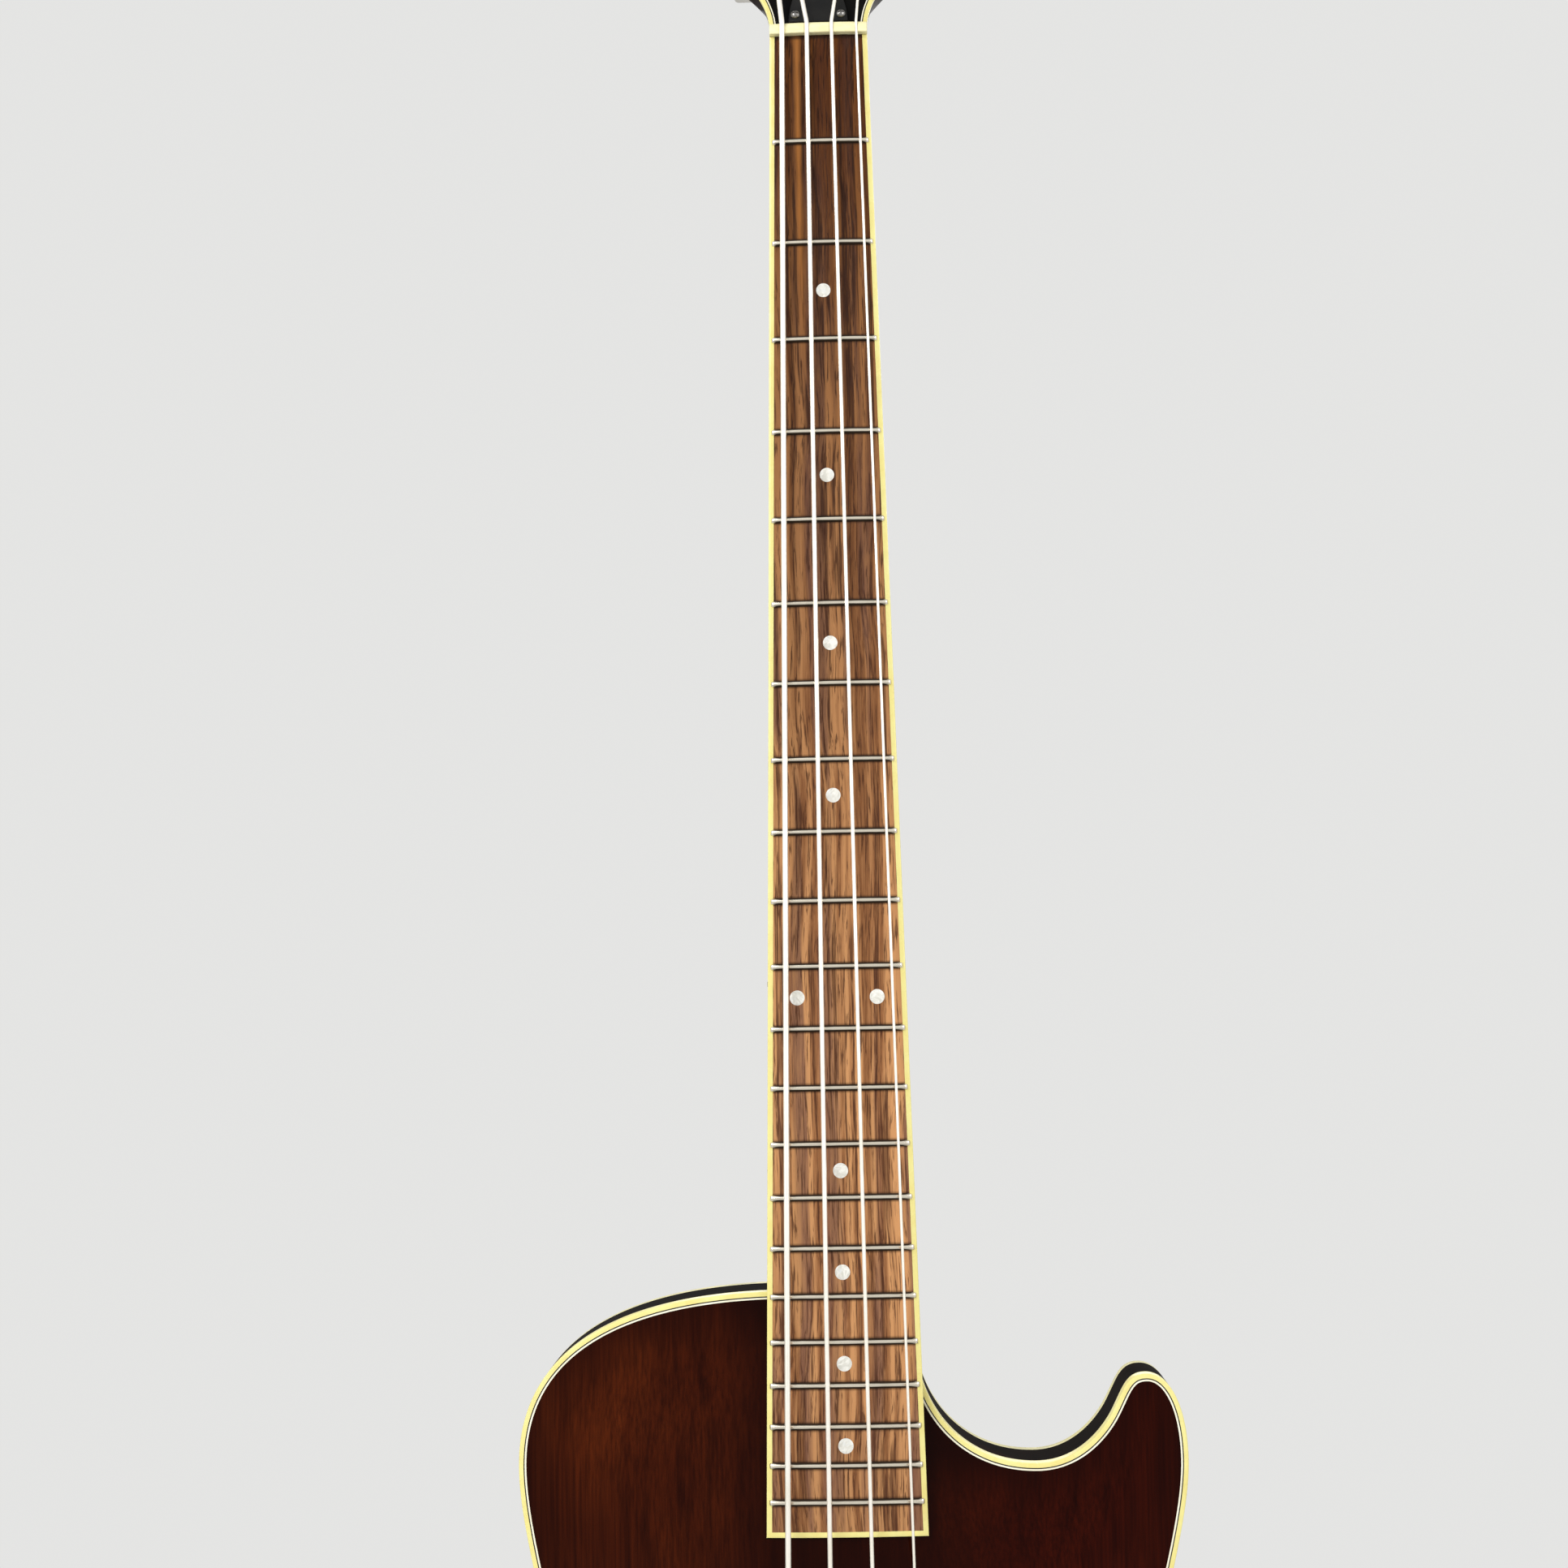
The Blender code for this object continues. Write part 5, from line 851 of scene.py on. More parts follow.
def buildBinding(label, face, into):
    deep = face + into * body["bindingDepth"]
    soft = body["bindingRound"]
    section = [(0.0, deep), (0.0, face + into * soft), (0.29 * soft, face + into * 0.29 * soft),
               (soft, face), (body["creamPly"], face), (body["blackPly"], face),
               (body["whitePly"], face), (body["whitePly"], deep)]
    ring = swept(rim, section)
    if label == "top":
        ring = carved(ring, [tongueRoom()])
    paintPlies(ring, face, fromRim, body["creamPly"], body["blackPly"])
    finished(f"{label}Binding", ring, ("cream", "blackPly", "whitePly"), f"{label}_binding")


def buildBody():
    cutters = [boardOpening()] + holesFor(postSpots, body["postHole"])
    cutters += holesFor(knobSpots.values(), body["knobHole"])
    left, right, half = body["pickupRoom"]
    cutters.append(blockOf((left, -0.05, pickupZ - half), (right, 0.05, pickupZ + half)))
    cutters += soundHoleCutters(-1.0) + soundHoleCutters(1.0)
    top = archedPlate(layout["rimFrontY"], body["archTop"], -1.0, cutters)
    finished("topPlate", top, ("top", "back", "rawWood"), "body_top", sharpAngle=50.0)
    back = archedPlate(layout["rimBackY"], body["archBack"], 1.0, [])
    finished("backPlate", back, ("back", "back", "rawWood"), "body_back", sharpAngle=50.0)
    buildBinding("top", layout["rimFrontY"], 1.0)
    buildBinding("back", layout["rimBackY"], -1.0)

    # the wall carries its linings front and back
    front = layout["rimFrontY"] + body["bindingDepth"]
    rear = layout["rimBackY"] - body["bindingDepth"]
    lipFront = layout["rimFrontY"] + body["plateThick"] + 0.0002
    lipBack = layout["rimBackY"] - body["plateThick"] - 0.0002
    ledge, wall, deep = body["whitePly"], body["wall"], body["liningDepth"]
    lip = ledge + body["liningWidth"]
    slope = lip - body["liningTaper"]
    section = [(0.0, front), (0.0, rear), (ledge, rear), (ledge, lipBack), (lip, lipBack),
               (slope, lipBack - deep), (wall, lipBack - deep), (wall, lipFront + deep),
               (slope, lipFront + deep), (lip, lipFront), (ledge, lipFront), (ledge, front)]
    sides = carved(swept(rim, section), [tongueRoom(), rodOf(body["jackHole"], -0.03, 0.03, jackPlace)])
    for item in sides.faces:  # lacquer on the outside only
        middle = item.calc_center_median()
        item.material_index = 0 if fromRim(middle.x, middle.z) < 0.0011 else 1
    finished("sideWall", sides, ("back", "rawWood"), "body_sides")
    half, deep = body["tailBlock"]
    for name, ((lowX, lowZ), (highX, highZ)) in (("neckBlock", body["neckBlock"]),
                                                 ("tailBlock", ((-half, tailZ), (half, tailZ + deep)))):
        block = blockOf((lowX, lipFront, lowZ), (highX, lipBack, highZ))
        core = sheetOf(drawnIn(rim, wall + body["seam"]), -0.06, 0.03)
        block = carved(block, [core], "INTERSECT")
        block = carved(block, [tongueRoom()]) if name == "neckBlock" else block
        finished(name, block, "rawWood")
    x, z = layout["shiftAtBridge"], layout["bridgeZ"]
    halfX, halfZ = body["patchHalf"]
    front, rear = [layout["deckY"] + depth for depth in body["patchDepth"]]
    patch = blockOf((x - halfX, front, z - halfZ), (x + halfX, rear, z + halfZ), 0.001)
    finished("bridgePatch", carved(patch, holesFor(postSpots, body["postHole"])), "rawWood")


buildBody()
print("body ready")


# neck and headstock
neck = dict(
    depthNut=0.0205, depthHeel=0.0245, heelBack=0.0395,  # from the board's face to the neck's back
    heelLength=0.045, heelRunOut=0.006, heelZ=0.540, heelRows=18,
    top=0.0062,                         # its flat face, under the board
    headThick=0.0165, headLength=0.186, headSettle=0.034,
    faceLayer=0.0020,                   # the black face and its bound edge
    creamPly=0.0018, blackPly=0.0023, whitePly=0.0028,
    edgeRound=0.0022,
    tunerBore=0.0073, coverFace=0.0021,
    coverScrews=((-0.0100, 0.0054, 0.0021), (0.0100, 0.0054, 0.0021), (0.0, 0.0425, 0.0018)),
    nutPocket=((-0.0052, -0.003, -0.0015), (0.0052, 0.0112, 0.0265)),  # round the truss rod's nut
    rodRadius=0.0027, rodDepth=0.0122, rodLow=-0.4903, rodHigh=0.0063,
    tongue=((-0.024, 0.0067, -layout["boardLength"]), (0.024, 0.0253, -0.531)),
    strapZ=-0.556, strapScrew=0.0030,
)
tunerSpots = {"e": (-0.0265, 0.046, -1.0), "a": (-0.0285, 0.108, -1.0), "d": (0.0285, 0.108, 1.0),
              "g": (0.0265, 0.046, 1.0)}


def headHalf(density):  # right edge of the head, from the nut up to its tip
    return chain([
        (0.5 * layout["nutWidth"], 0.0006, math.radians(86.0), 0.0, 0.022, 5),
        (0.0415, 0.050, math.pi / 2, 0.018, 0.030, 4),
        (0.0370, 0.156, math.radians(94.0), 0.030, 0.014, 5),
        (0.0, neck["headLength"], math.pi, 0.018, 0.0, 0),
    ], False, density)


def backCurve(half, top, depth, boxed, count=36):
    # from one edge of the flat face round the back to the other, between a D and a rounded box
    corner = min(neck["edgeRound"], 0.8 * half)
    bend = fullTurn / 4 * corner
    down = depth - top - corner
    total = 2.0 * (down + bend + half - corner)
    points = []
    for k in range(count + 1):
        angle = math.pi * k / count
        arc = Vector((half * math.cos(angle), top + (depth - top) * math.sin(angle) ** 0.86))
        run = total * k / count
        side = 1.0
        if run > 0.5 * total:
            run = total - run
            side = -1.0
        if run < down:
            box = Vector((half, top + run))
        elif run < down + bend:
            turn = (run - down) / corner
            box = Vector((half - corner + corner * math.cos(turn), depth - corner + corner * math.sin(turn)))
        else:
            box = Vector((half - corner - (run - down - bend), depth))
        box.x *= side
        points.append(arc.lerp(box, boxed))
    return points


def neckRow(half, depth, z, top=neck["top"], boxed=0.0):
    return [Vector((spot.x, spot.y, z)) for spot in backCurve(half, top, depth, boxed)]


def headCutters(place):  # bores for the tuners and the pocket for the truss rod's nut
    bores = [rodOf(neck["tunerBore"], -0.03, 0.01, place @ facingFront(x, z))
             for x, z, _ in tunerSpots.values()]
    return bores + [shifted(blockOf(*neck["nutPocket"]), place)]


def neckWood():
    slope = (neck["depthHeel"] - neck["depthNut"]) / (neck["heelZ"] - neck["heelLength"])
    rows = []
    for k in range(neck["heelRows"], -1, -1):  # the heel sweeps back to the body's full depth
        share = k / neck["heelRows"]
        z = -neck["heelZ"] + neck["heelRunOut"] + neck["heelLength"] * (1.0 - share)
        depth = neck["depthHeel"] + (neck["heelBack"] - neck["depthHeel"]) * share ** 2.5
        row = neckRow(boardHalfWidth(z), depth, z)
        if share == 1.0:  # its end stands on the body's shoulder
            for point in row:
                level = body["shoulderZ"] + body["seam"] + point.y * math.sin(layout["neckAngle"])
                point.z = level / math.cos(layout["neckAngle"])
        rows.append(row)
    for z in np.linspace(-0.485, -0.012, 20):
        rows.append(neckRow(boardHalfWidth(z), neck["depthNut"] - slope * z, z))
    rows.append(neckRow(0.5 * layout["nutWidth"], neck["depthNut"] + 0.0001, 0.0))
    rows = [[neckPlace @ point for point in row] for row in rows]
    for x, z in headHalf(5):  # the D turns into the head's flat back over the first stretch
        settle = float(eased(np.array(z / neck["headSettle"])))
        depth = neck["headThick"] - 0.0006 * (1.0 - settle)
        rows.append([headPlace @ point
                     for point in neckRow(max(x, 0.0004), depth, z, neck["faceLayer"], settle)])
    tongue = shifted(blockOf(*neck["tongue"], 0.0006), neckPlace)
    rodWay = rodOf(neck["rodRadius"], neck["rodLow"], neck["rodHigh"],
                   neckPlace @ Matrix.Translation((0.0, neck["rodDepth"], 0.0)), 20)
    return together([carved(skin(rows), headCutters(headPlace) + [rodWay]), tongue])


def buildNeck():
    finished("neckWood", neckWood(), "neck", "neck")

    # black face, its bound edge in three plies
    loop = mirrored(headHalf(6))
    rimDown = neck["faceLayer"] - 0.0001
    cream, black, white = neck["creamPly"], neck["blackPly"], neck["whitePly"]
    section = [(0.0, rimDown), (0.0, 0.0004), (0.00012, 0.00012), (0.0004, 0.0), (cream, 0.0), (black, 0.0),
               (white, 0.0), (white, rimDown)]
    edge = swept(loop, section, closed=False)
    paintPlies(edge, 0.0, nearestTo(loop, closed=False), cream, black)
    finished("headBinding", edge, ("cream", "blackPly", "whitePly"), place=headPlace)
    inner = [(x, max(z, 0.0006)) for x, z in drawnIn(loop, white, closed=False)]
    face = carved(sheetOf(inner, -0.00004, rimDown), headCutters(Matrix.Identity(4)))
    finished("headFace", face, "blackGloss", place=headPlace)

    # cover over the truss rod's nut
    bell = mirrored(chain([(0.0130, 0.0016, math.radians(90.0), 0.0, 0.010, 5),
                           (0.0066, 0.0300, math.radians(100.0), 0.012, 0.008, 4),
                           (0.0, 0.0480, math.pi, 0.006, 0.0, 0)], False, 6))
    cover = sheetOf(bell, -neck["coverFace"], -0.0001, 0.00035)
    finished("trussCover", cover, "blackPlastic", "truss_rod_cover", place=headPlace)
    screws = [screwAt(radius, facingFront(x, z, -neck["coverFace"])) for x, z, radius in neck["coverScrews"]]
    finished("trussCoverScrews", together(screws), "steel", place=headPlace)

    button = spun([(0.0, 0.0125), (0.0042, 0.0125), (0.0062, 0.0112), (0.0064, 0.0098), (0.0040, 0.0080),
                   (0.0036, 0.0040), (0.0052, 0.0004), (0.0052, 0.0), (0.0, 0.0)], 36)
    screw = screwAt(neck["strapScrew"], Matrix.Translation((0.0, 0.0, 0.0119)))
    finished("heelStrapButton", together([button, screw]), "nickel",
             place=facingBack(0.0, neck["strapZ"], layout["rimBackY"] + 0.0006))
    rod = frame["nodes"]["truss_rod"]
    rod.data.materials.clear()
    rod.data.materials.append(finishes["steel"][0])


buildNeck()
print("neck and head ready")


# fingerboard, its bound edge, frets and dots
board = dict(
    binding=0.0022, edgeRound=0.0004, gap=0.00002, stations=40,
    fretWidth=0.0026, fretHeight=0.0011, fretInset=0.0011, fretFoot=0.00012, fretEnd=0.0011,
    dotRadius=0.00308, dotFrets=(3, 5, 7, 9, 15, 17, 19, 21), pairAt=12, pairOffset=0.0165,
    sideDotRadius=0.0011, sideDotY=0.0032, sidePairOffset=0.006,
)


def bindingStations():  # an outer and an inner (x, z) at each step down one edge, across and up the other
    wide = board["binding"]
    low = -layout["boardLength"]
    stations = [((-boardHalfWidth(z), z), (-boardHalfWidth(z) + wide, max(z, low + wide)))
                for z in np.linspace(-0.0001, low, board["stations"])]
    left, right = stations[-1], tuple((-x, z) for x, z in stations[-1])
    for t in np.linspace(0.0, 1.0, 26)[1:-1]:
        stations.append(tuple((a[0] + (b[0] - a[0]) * t, a[1] + (b[1] - a[1]) * t)
                              for a, b in zip(left, right)))
    return stations + [tuple((-x, z) for x, z in pair) for pair in stations[board["stations"] - 1::-1]]


def boardBinding():
    wide, soft = board["binding"], board["edgeRound"]
    rows = []
    for outer, inner in bindingStations():
        row = []
        for distance, drop in ((0.0, None), (0.0, soft), (0.3 * soft, 0.3 * soft), (soft, 0.0),
                               (0.5 * wide, 0.0), (wide, 0.0), (wide, None)):
            x = outer[0] + (inner[0] - outer[0]) * distance / wide
            z = outer[1] + (inner[1] - outer[1]) * distance / wide
            row.append((x, layout["boardThick"] if drop is None else camber(x) + drop, z))
        rows.append(row)
    return skin(rows)


def positionDot(x, z):
    fall = math.asin(x / layout["boardRadius"])
    radius = board["dotRadius"]
    return spun([(0.0, 0.00006), (radius - 0.0001, 0.00006), (radius, 0.0), (radius, -0.001), (0.0, -0.001)],
                40, placeFacing((math.sin(fall), -math.cos(fall), 0.0), (x, camber(x), z)))


def fretWire(number):
    z = fretAt(number)
    half = boardHalfWidth(z) - board["fretInset"]
    run, foot, width = board["fretEnd"], board["fretFoot"], board["fretWidth"]
    ends = [half - run * (1.0 - math.sin(0.5 * math.pi * k / 5)) for k in range(5, -1, -1)]
    rows = []
    for x in [-x for x in ends] + list(np.linspace(-half + run, half - run, 17)[1:-1]) + ends[::-1]:
        away = max(0.0, (abs(x) - (half - run)) / run)
        size = math.sqrt(max(0.0, 1.0 - away * away)) * 0.92 + 0.08
        row = []
        for k in range(13):
            angle = math.pi * k / 12
            rise = (board["fretHeight"] + foot) * math.sin(angle) ** 0.8 * size
            row.append((x, camber(x) + foot - rise, z + 0.5 * width * math.cos(angle) * (0.6 + 0.4 * size)))
        rows.append(row)
    wire = skin(rows)
    crown = wire.verts.layers.float.new("crown")
    for vert in wire.verts:  # 1 along its crown and over its rounded ends, falling to 0 down its flanks, where the finish paints shade
        top = 1.0 - abs(vert.co.z - z) / (0.5 * width)
        end = (abs(vert.co.x) - half + 0.0016) / 0.0008
        vert[crown] = min(1.0, max(0.0, top, end))
    return wire


def buildBoard():
    rows = []
    for z in np.linspace(-0.0001, -layout["boardLength"] + board["binding"] - board["gap"], 30):
        half = boardHalfWidth(z) - board["binding"] + board["gap"]
        crown = [(x, camber(x), z) for x in np.linspace(-half, half, 29)]
        rows.append([(x, layout["boardThick"], z) for x in (half, -half)] + crown)
    finished("boardWood", skin(rows), "rosewood", "fingerboard", place=neckPlace, sharpAngle=50.0)
    finished("boardBinding", boardBinding(), "cream", "fingerboard_binding", place=neckPlace)

    dots = []
    sideDots = []
    for number in board["dotFrets"] + (board["pairAt"],):
        z = 0.5 * (fretAt(number) + fretAt(number - 1))
        aside, apart = 0.0, 0.0
        if number == board["pairAt"]:
            aside, apart = board["pairOffset"], board["sidePairOffset"]
        dots += [positionDot(x, z) for x in sorted({-aside, aside})]
        for shift in sorted({-apart, apart}):
            side = placeFacing((-1.0, 0.0, 0.0), (-boardHalfWidth(z), board["sideDotY"], z + shift))
            sideDots.append(rodOf(board["sideDotRadius"], 0.00004, -0.001, side, 20))
    finished("positionDots", together(dots), "pearl", place=neckPlace)
    finished("sideDots", together(sideDots), "blackPly", place=neckPlace)
    for number in range(1, 23):
        finished(f"fret{number:02d}", fretWire(number), "fretWire", f"fret_{number:02d}", place=neckPlace,
                 sharpAngle=60.0)


buildBoard()
print("board ready")


# strings and nut
strings = dict(
    pitchNut=0.0108, pitchBridge=0.0187, shiftNut=0.0004,
    heightNut=0.0017, heightBridge=0.0050,
    postRadius=0.0050, exitHeight=0.0068, stepGap=0.0005,
    turns=dict(e=2, a=2, d=3, g=3), turnPoints=36,
    setBack=dict(e=0.0032, a=0.0022, d=0.0014, g=0.0006),
    ballRadius=0.0030, ballLength=0.0050, ballGroove=0.0007, seatDepth=0.0075,
    slotTurn=math.radians(150.0), liftTurn=math.radians(112.0),  # round the post, from its last turn
    saddleBend=0.0032, nutBend=0.0009, tailBend=0.0015, postBend=0.0012,
    stillStep=5, crestStep=8,           # points of the route where the string rests
    nutRound=0.0005, nutFit=0.00006,
    nutProfile=((0.0003, 0.00002), (0.0, 0.0003), (0.0, 0.0012), (0.00005, 0.0021), (0.0003, 0.0032),
                (0.0008, 0.0044), (0.0016, layout["nutThick"] - 0.0001)),  # (below its crown, z)
)
tailpieceZ = layout["bridgeZ"] - 0.056
tailHoleY = layout["deckY"] - 0.012


def alongScale(atNut, atBridge, share):
    return atNut + (atBridge - atNut) * share


def stringPlace(name, z):  # centre of a string in the neck's frame
    share = -z / layout["scaleLength"]
    index = layout["stringNames"].index(name)
    pitch = alongScale(strings["pitchNut"], strings["pitchBridge"], share)
    shift = alongScale(strings["shiftNut"], layout["shiftAtBridge"], share)
    height = alongScale(strings["heightNut"], strings["heightBridge"], share)
    return Vector((shift + pitch * (index - 1.5), -height - layout["stringRadius"][name], z))


def saddleCrest(name):
    z = layout["bridgeZ"] - strings["setBack"][name]
    return neckPlace @ stringPlace(name, z / math.cos(layout["neckAngle"]))


def windingPath(name):  # head-frame points from the nut to the post, round it and through its slot
    radius = layout["stringRadius"][name]
    postX, postZ, side = tunerSpots[name]
    coil = strings["postRadius"] + radius + 0.0003
    start = headPlace.inverted() @ neckPlace @ stringPlace(name, layout["nutThick"])
    start.y += 0.0004
    dx = start.x - postX
    dz = start.z - postZ
    turn = -side
    meet = math.atan2(dz, dx) + turn * math.acos(coil / math.hypot(dx, dz))
    step = 2.0 * radius + strings["stepGap"]
    turns = strings["turns"][name]

    def roundPost(out, height, angle):
        return Vector((postX + out * math.cos(angle), -height, postZ + out * math.sin(angle)))

    points = [start]
    for k in range(turns * strings["turnPoints"] + 1):
        share = k / strings["turnPoints"]
        points.append(roundPost(coil, strings["exitHeight"] + step * share, meet + turn * fullTurn * share))
    top = strings["exitHeight"] + step * turns + step
    last = meet + turn * fullTurn * turns
    bend = radius + 0.0018
    slotTurn = last + turn * strings["slotTurn"]
    for k in range(1, 9):  # off the post and up towards the slot
        share = 0.1 * k
        out = coil + (strings["postRadius"] + bend - coil + 0.0010) * share
        points.append(roundPost(out, top - step + step * min(1.0, share * 1.1),
                                last + turn * strings["liftTurn"] * share))
    radial = Vector((math.cos(slotTurn), 0.0, math.sin(slotTurn)))
    tangent = Vector((-radial.z, 0.0, radial.x)) * turn
    centre = Vector((postX, -top, postZ))
    pivot = centre + radial * (strings["postRadius"] + 0.0004) - tangent * bend
    for k in range(9):
        angle = math.radians(15.0 + 75.0 * k / 8.0)
        points.append(pivot + radial * bend * math.cos(angle) + tangent * bend * math.sin(angle))
    points.append(centre - radial * (strings["postRadius"] - 0.0012))
    return points, slotTurn, top


def softenedBend(before, corner, after, reach):  # a short curve instead of a kink
    first = corner + (before - corner).normalized() * reach
    last = corner + (after - corner).normalized() * reach
    return [first.lerp(corner, t).lerp(corner.lerp(last, t), t) for t in np.linspace(0.0, 1.0, 5)]


def stringRoute(name):
    crest = saddleCrest(name)
    start = tailpieceZ - strings["seatDepth"] + 0.0003 + 0.6 * strings["ballLength"]
    coil = [headPlace @ point for point in windingPath(name)[0]]
    corners = [Vector((crest.x, tailHoleY, start)), Vector((crest.x, tailHoleY, tailpieceZ + 0.0095)), crest,
               neckPlace @ stringPlace(name, 0.0), coil[0], coil[1]]
    route = [corners[0]]
    bends = [strings[f"{place}Bend"] for place in ("tail", "saddle", "nut", "post")]
    for reach, *corner in zip(bends, corners, corners[1:], corners[2:]):
        route += softenedBend(*corner, reach)
    return route + coil[1:]


def wireAlong(points, radius, part, sides=14):  # rings without twist, with the length run so far
    spots = np.array([tuple(point) for point in points])
    steps = np.linalg.norm(np.diff(spots, axis=0), axis=1)
    run = np.concatenate(([0.0], np.cumsum(steps)))
    tangents = np.gradient(spots, axis=0)
    tangents /= np.linalg.norm(tangents, axis=1, keepdims=True)
    side = np.cross(tangents[0], (0.0, 1.0, 0.0))
    rows = []
    for spot, along in zip(spots, tangents):
        side = side - along * side.dot(along)
        side /= np.linalg.norm(side)
        up = np.cross(side, along)
        rows.append([tuple(spot + radius * (math.cos(a) * side + math.sin(a) * up))
                     for a in roundAngles(sides)])
    bm = skin(rows[part])
    layer = bm.verts.layers.float.new("along")
    for vert in bm.verts:
        near = np.argmin(((spots - np.array(vert.co)) ** 2).sum(1))
        vert[layer] = float(run[near] + (np.array(vert.co) - spots[near]).dot(tangents[near]))
    return bm


def buildString(name):
    route = stringRoute(name)
    crest = strings["crestStep"]
    # two lengths meet at the saddle
    for label, part, still in (("stringTail", slice(0, crest + 1), route[strings["stillStep"]]),
                               ("string", slice(crest, None), neckPlace @ stringPlace(name, 0.0))):
        length = finished(f"{label}{name.upper()}", wireAlong(route, layout["stringRadius"][name], part),
                          "wire", f"string_{name}", None, sharpAngle=45.0)
        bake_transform(length)
    ball, long, groove = strings["ballRadius"], strings["ballLength"], strings["ballGroove"]
    half = [(0.0, 0.0), (ball - 0.0005, 0.0), (ball, 0.0005), (ball, 0.0013), (ball - groove, 0.0018)]
    spool = spun(half + [(radius, long - height) for radius, height in half[::-1]], 32,
                 Matrix.Translation((saddleCrest(name).x, tailHoleY, tailpieceZ - 0.0072)))
    finished(f"stringBall{name.upper()}", spool, "wire", f"string_{name}")


def slotFloor(x, z):  # how deep the nut is cut for the string that passes near x
    floor = -1.0
    for name in layout["stringNames"]:
        radius = layout["stringRadius"][name] + strings["nutFit"]
        near = stringPlace(name, 0.0)
        away = abs(x - near.x)
        if away < radius:
            fall = 0.0004 * z / layout["nutThick"]
            floor = max(floor, near.y + fall + math.sqrt(radius * radius - away * away))
    return floor


def buildNut():  # a crown that follows the board's camber, with a round-bottomed slot for each string
    half = 0.5 * layout["nutWidth"]
    front, back = strings["nutProfile"][0][1], strings["nutProfile"][-1][1]
    crown = strings["heightNut"] + 2.0 * layout["stringRadius"]["g"]
    rows = []
    for x in np.linspace(-half, half, 285):
        end = max(0.0, (abs(x) - (half - strings["nutRound"])) / strings["nutRound"])
        top = -crown + 0.0004 * (1.0 - math.sqrt(max(0.0, 1.0 - end * end)))
        row = [(x, layout["boardThick"], front)]
        for drop, z in strings["nutProfile"]:
            row.append((x, max(top + drop + camber(x), slotFloor(x, z)), z))
        rows.append(row + [(x, layout["boardThick"], back)])
    finished("nutBone", skin(rows), "bone", "nut", place=neckPlace, sharpAngle=40.0)


for name in layout["stringNames"]:
    buildString(name)
buildNut()
print("strings and nut ready")


# tuners
tuner = dict(
    postTop=0.0063, postHeight=0.0185, sleeve=0.0070, sleeveBore=0.0053, slotGap=0.0004,
    gearRadius=0.0080, gearThick=0.0040, wormRadius=0.0030, wormLength=0.0090, shaft=0.0020,
    caseHalf=0.0115, caseDepth=0.0112, caseRound=0.0018, caseWall=0.0013,
    stripHalf=0.0060, stripThick=0.0022, earRadius=0.0035, earThick=0.0016,
    caseScrew=0.0024, earScrew=0.0020, shaftHole=0.0023,
    keyReach=0.0120, buttonLength=0.0210, buttonWidth=0.0240, buttonThick=0.0060, buttonRows=15,
    # the button's width along its length, as shares
    widthAt=((0.0, 0.10, 0.22, 0.42, 0.62, 0.80, 0.93, 1.0), (0.30, 0.46, 0.64, 0.90, 1.0, 0.96, 0.80, 0.50)),
)
caseY = neck["headThick"] + 0.0003
gearY = caseY + 0.5 * tuner["caseDepth"]
wormOffset = tuner["gearRadius"] + tuner["wormRadius"] + 0.0003


def headWidthAt(z):
    edge = headHalf(5)
    return float(np.interp(z, [point[1] for point in edge], [point[0] for point in edge]))


def tunerPost(name):
    _, slotTurn, top = windingPath(name)
    foot = -(gearY + 0.5 * tuner["gearThick"])
    high, cap, gear = tuner["postHeight"], tuner["postTop"], tuner["gearRadius"]
    radius = strings["postRadius"]
    post = spun([(0.0, foot - 0.0012), (0.0030, foot - 0.0012), (0.0030, foot), (gear, foot),
                 (gear, foot + tuner["gearThick"]), (radius, foot + tuner["gearThick"]),
                 (radius, high - 0.0022), (radius + 0.0003, high - 0.0016), (cap, high - 0.0010),
                 (cap, high - 0.0004), (cap - 0.0003, high - 0.0001), (radius - 0.0002, high),
                 (0.0, high)], 48)
    wide = layout["stringRadius"][name] + tuner["slotGap"]
    floor = top - layout["stringRadius"][name] - 0.0003
    way = facingFront().inverted() @ Vector((math.cos(slotTurn), 0.0, math.sin(slotTurn)))
    slot = blockOf((-0.010, -wide, floor), (0.010, wide, high + 0.002))
    return carved(post, [shifted(slot, Matrix.Rotation(math.atan2(way.y, way.x), 4, "Z"))])


def tunerKey(reach):  # worm, shaft, collar and a rounded button that widens outwards
    half, worm, shaft = 0.5 * tuner["wormLength"], tuner["wormRadius"], tuner["shaft"]
    stem = spun([(0.0, -half), (worm, -half), (worm, half), (shaft, half), (shaft, reach - 0.0060),
                 (0.0030, reach - 0.0052), (0.0036, reach - 0.0036), (0.0036, reach - 0.0010),
                 (0.0030, reach + 0.0008), (0.0, reach + 0.001)], 28)
    rows = []
    last = tuner["buttonRows"] - 1
    for k in range(tuner["buttonRows"]):
        share = 0.5 - 0.5 * math.cos(math.pi * k / last)
        width = float(np.interp(share, *tuner["widthAt"]))
        halfWidth = 0.5 * tuner["buttonWidth"] * width
        halfThick = 0.5 * tuner["buttonThick"] * (0.55 + 0.45 * width)
        halfThick *= 0.45 if k in (0, last) else 1.0
        z = reach + share * tuner["buttonLength"]
        rows.append([(halfThick * x, halfWidth * y, z) for x, y in roundedBox(28, 0.8, 0.9)])
    return together([stem, skin(rows)])


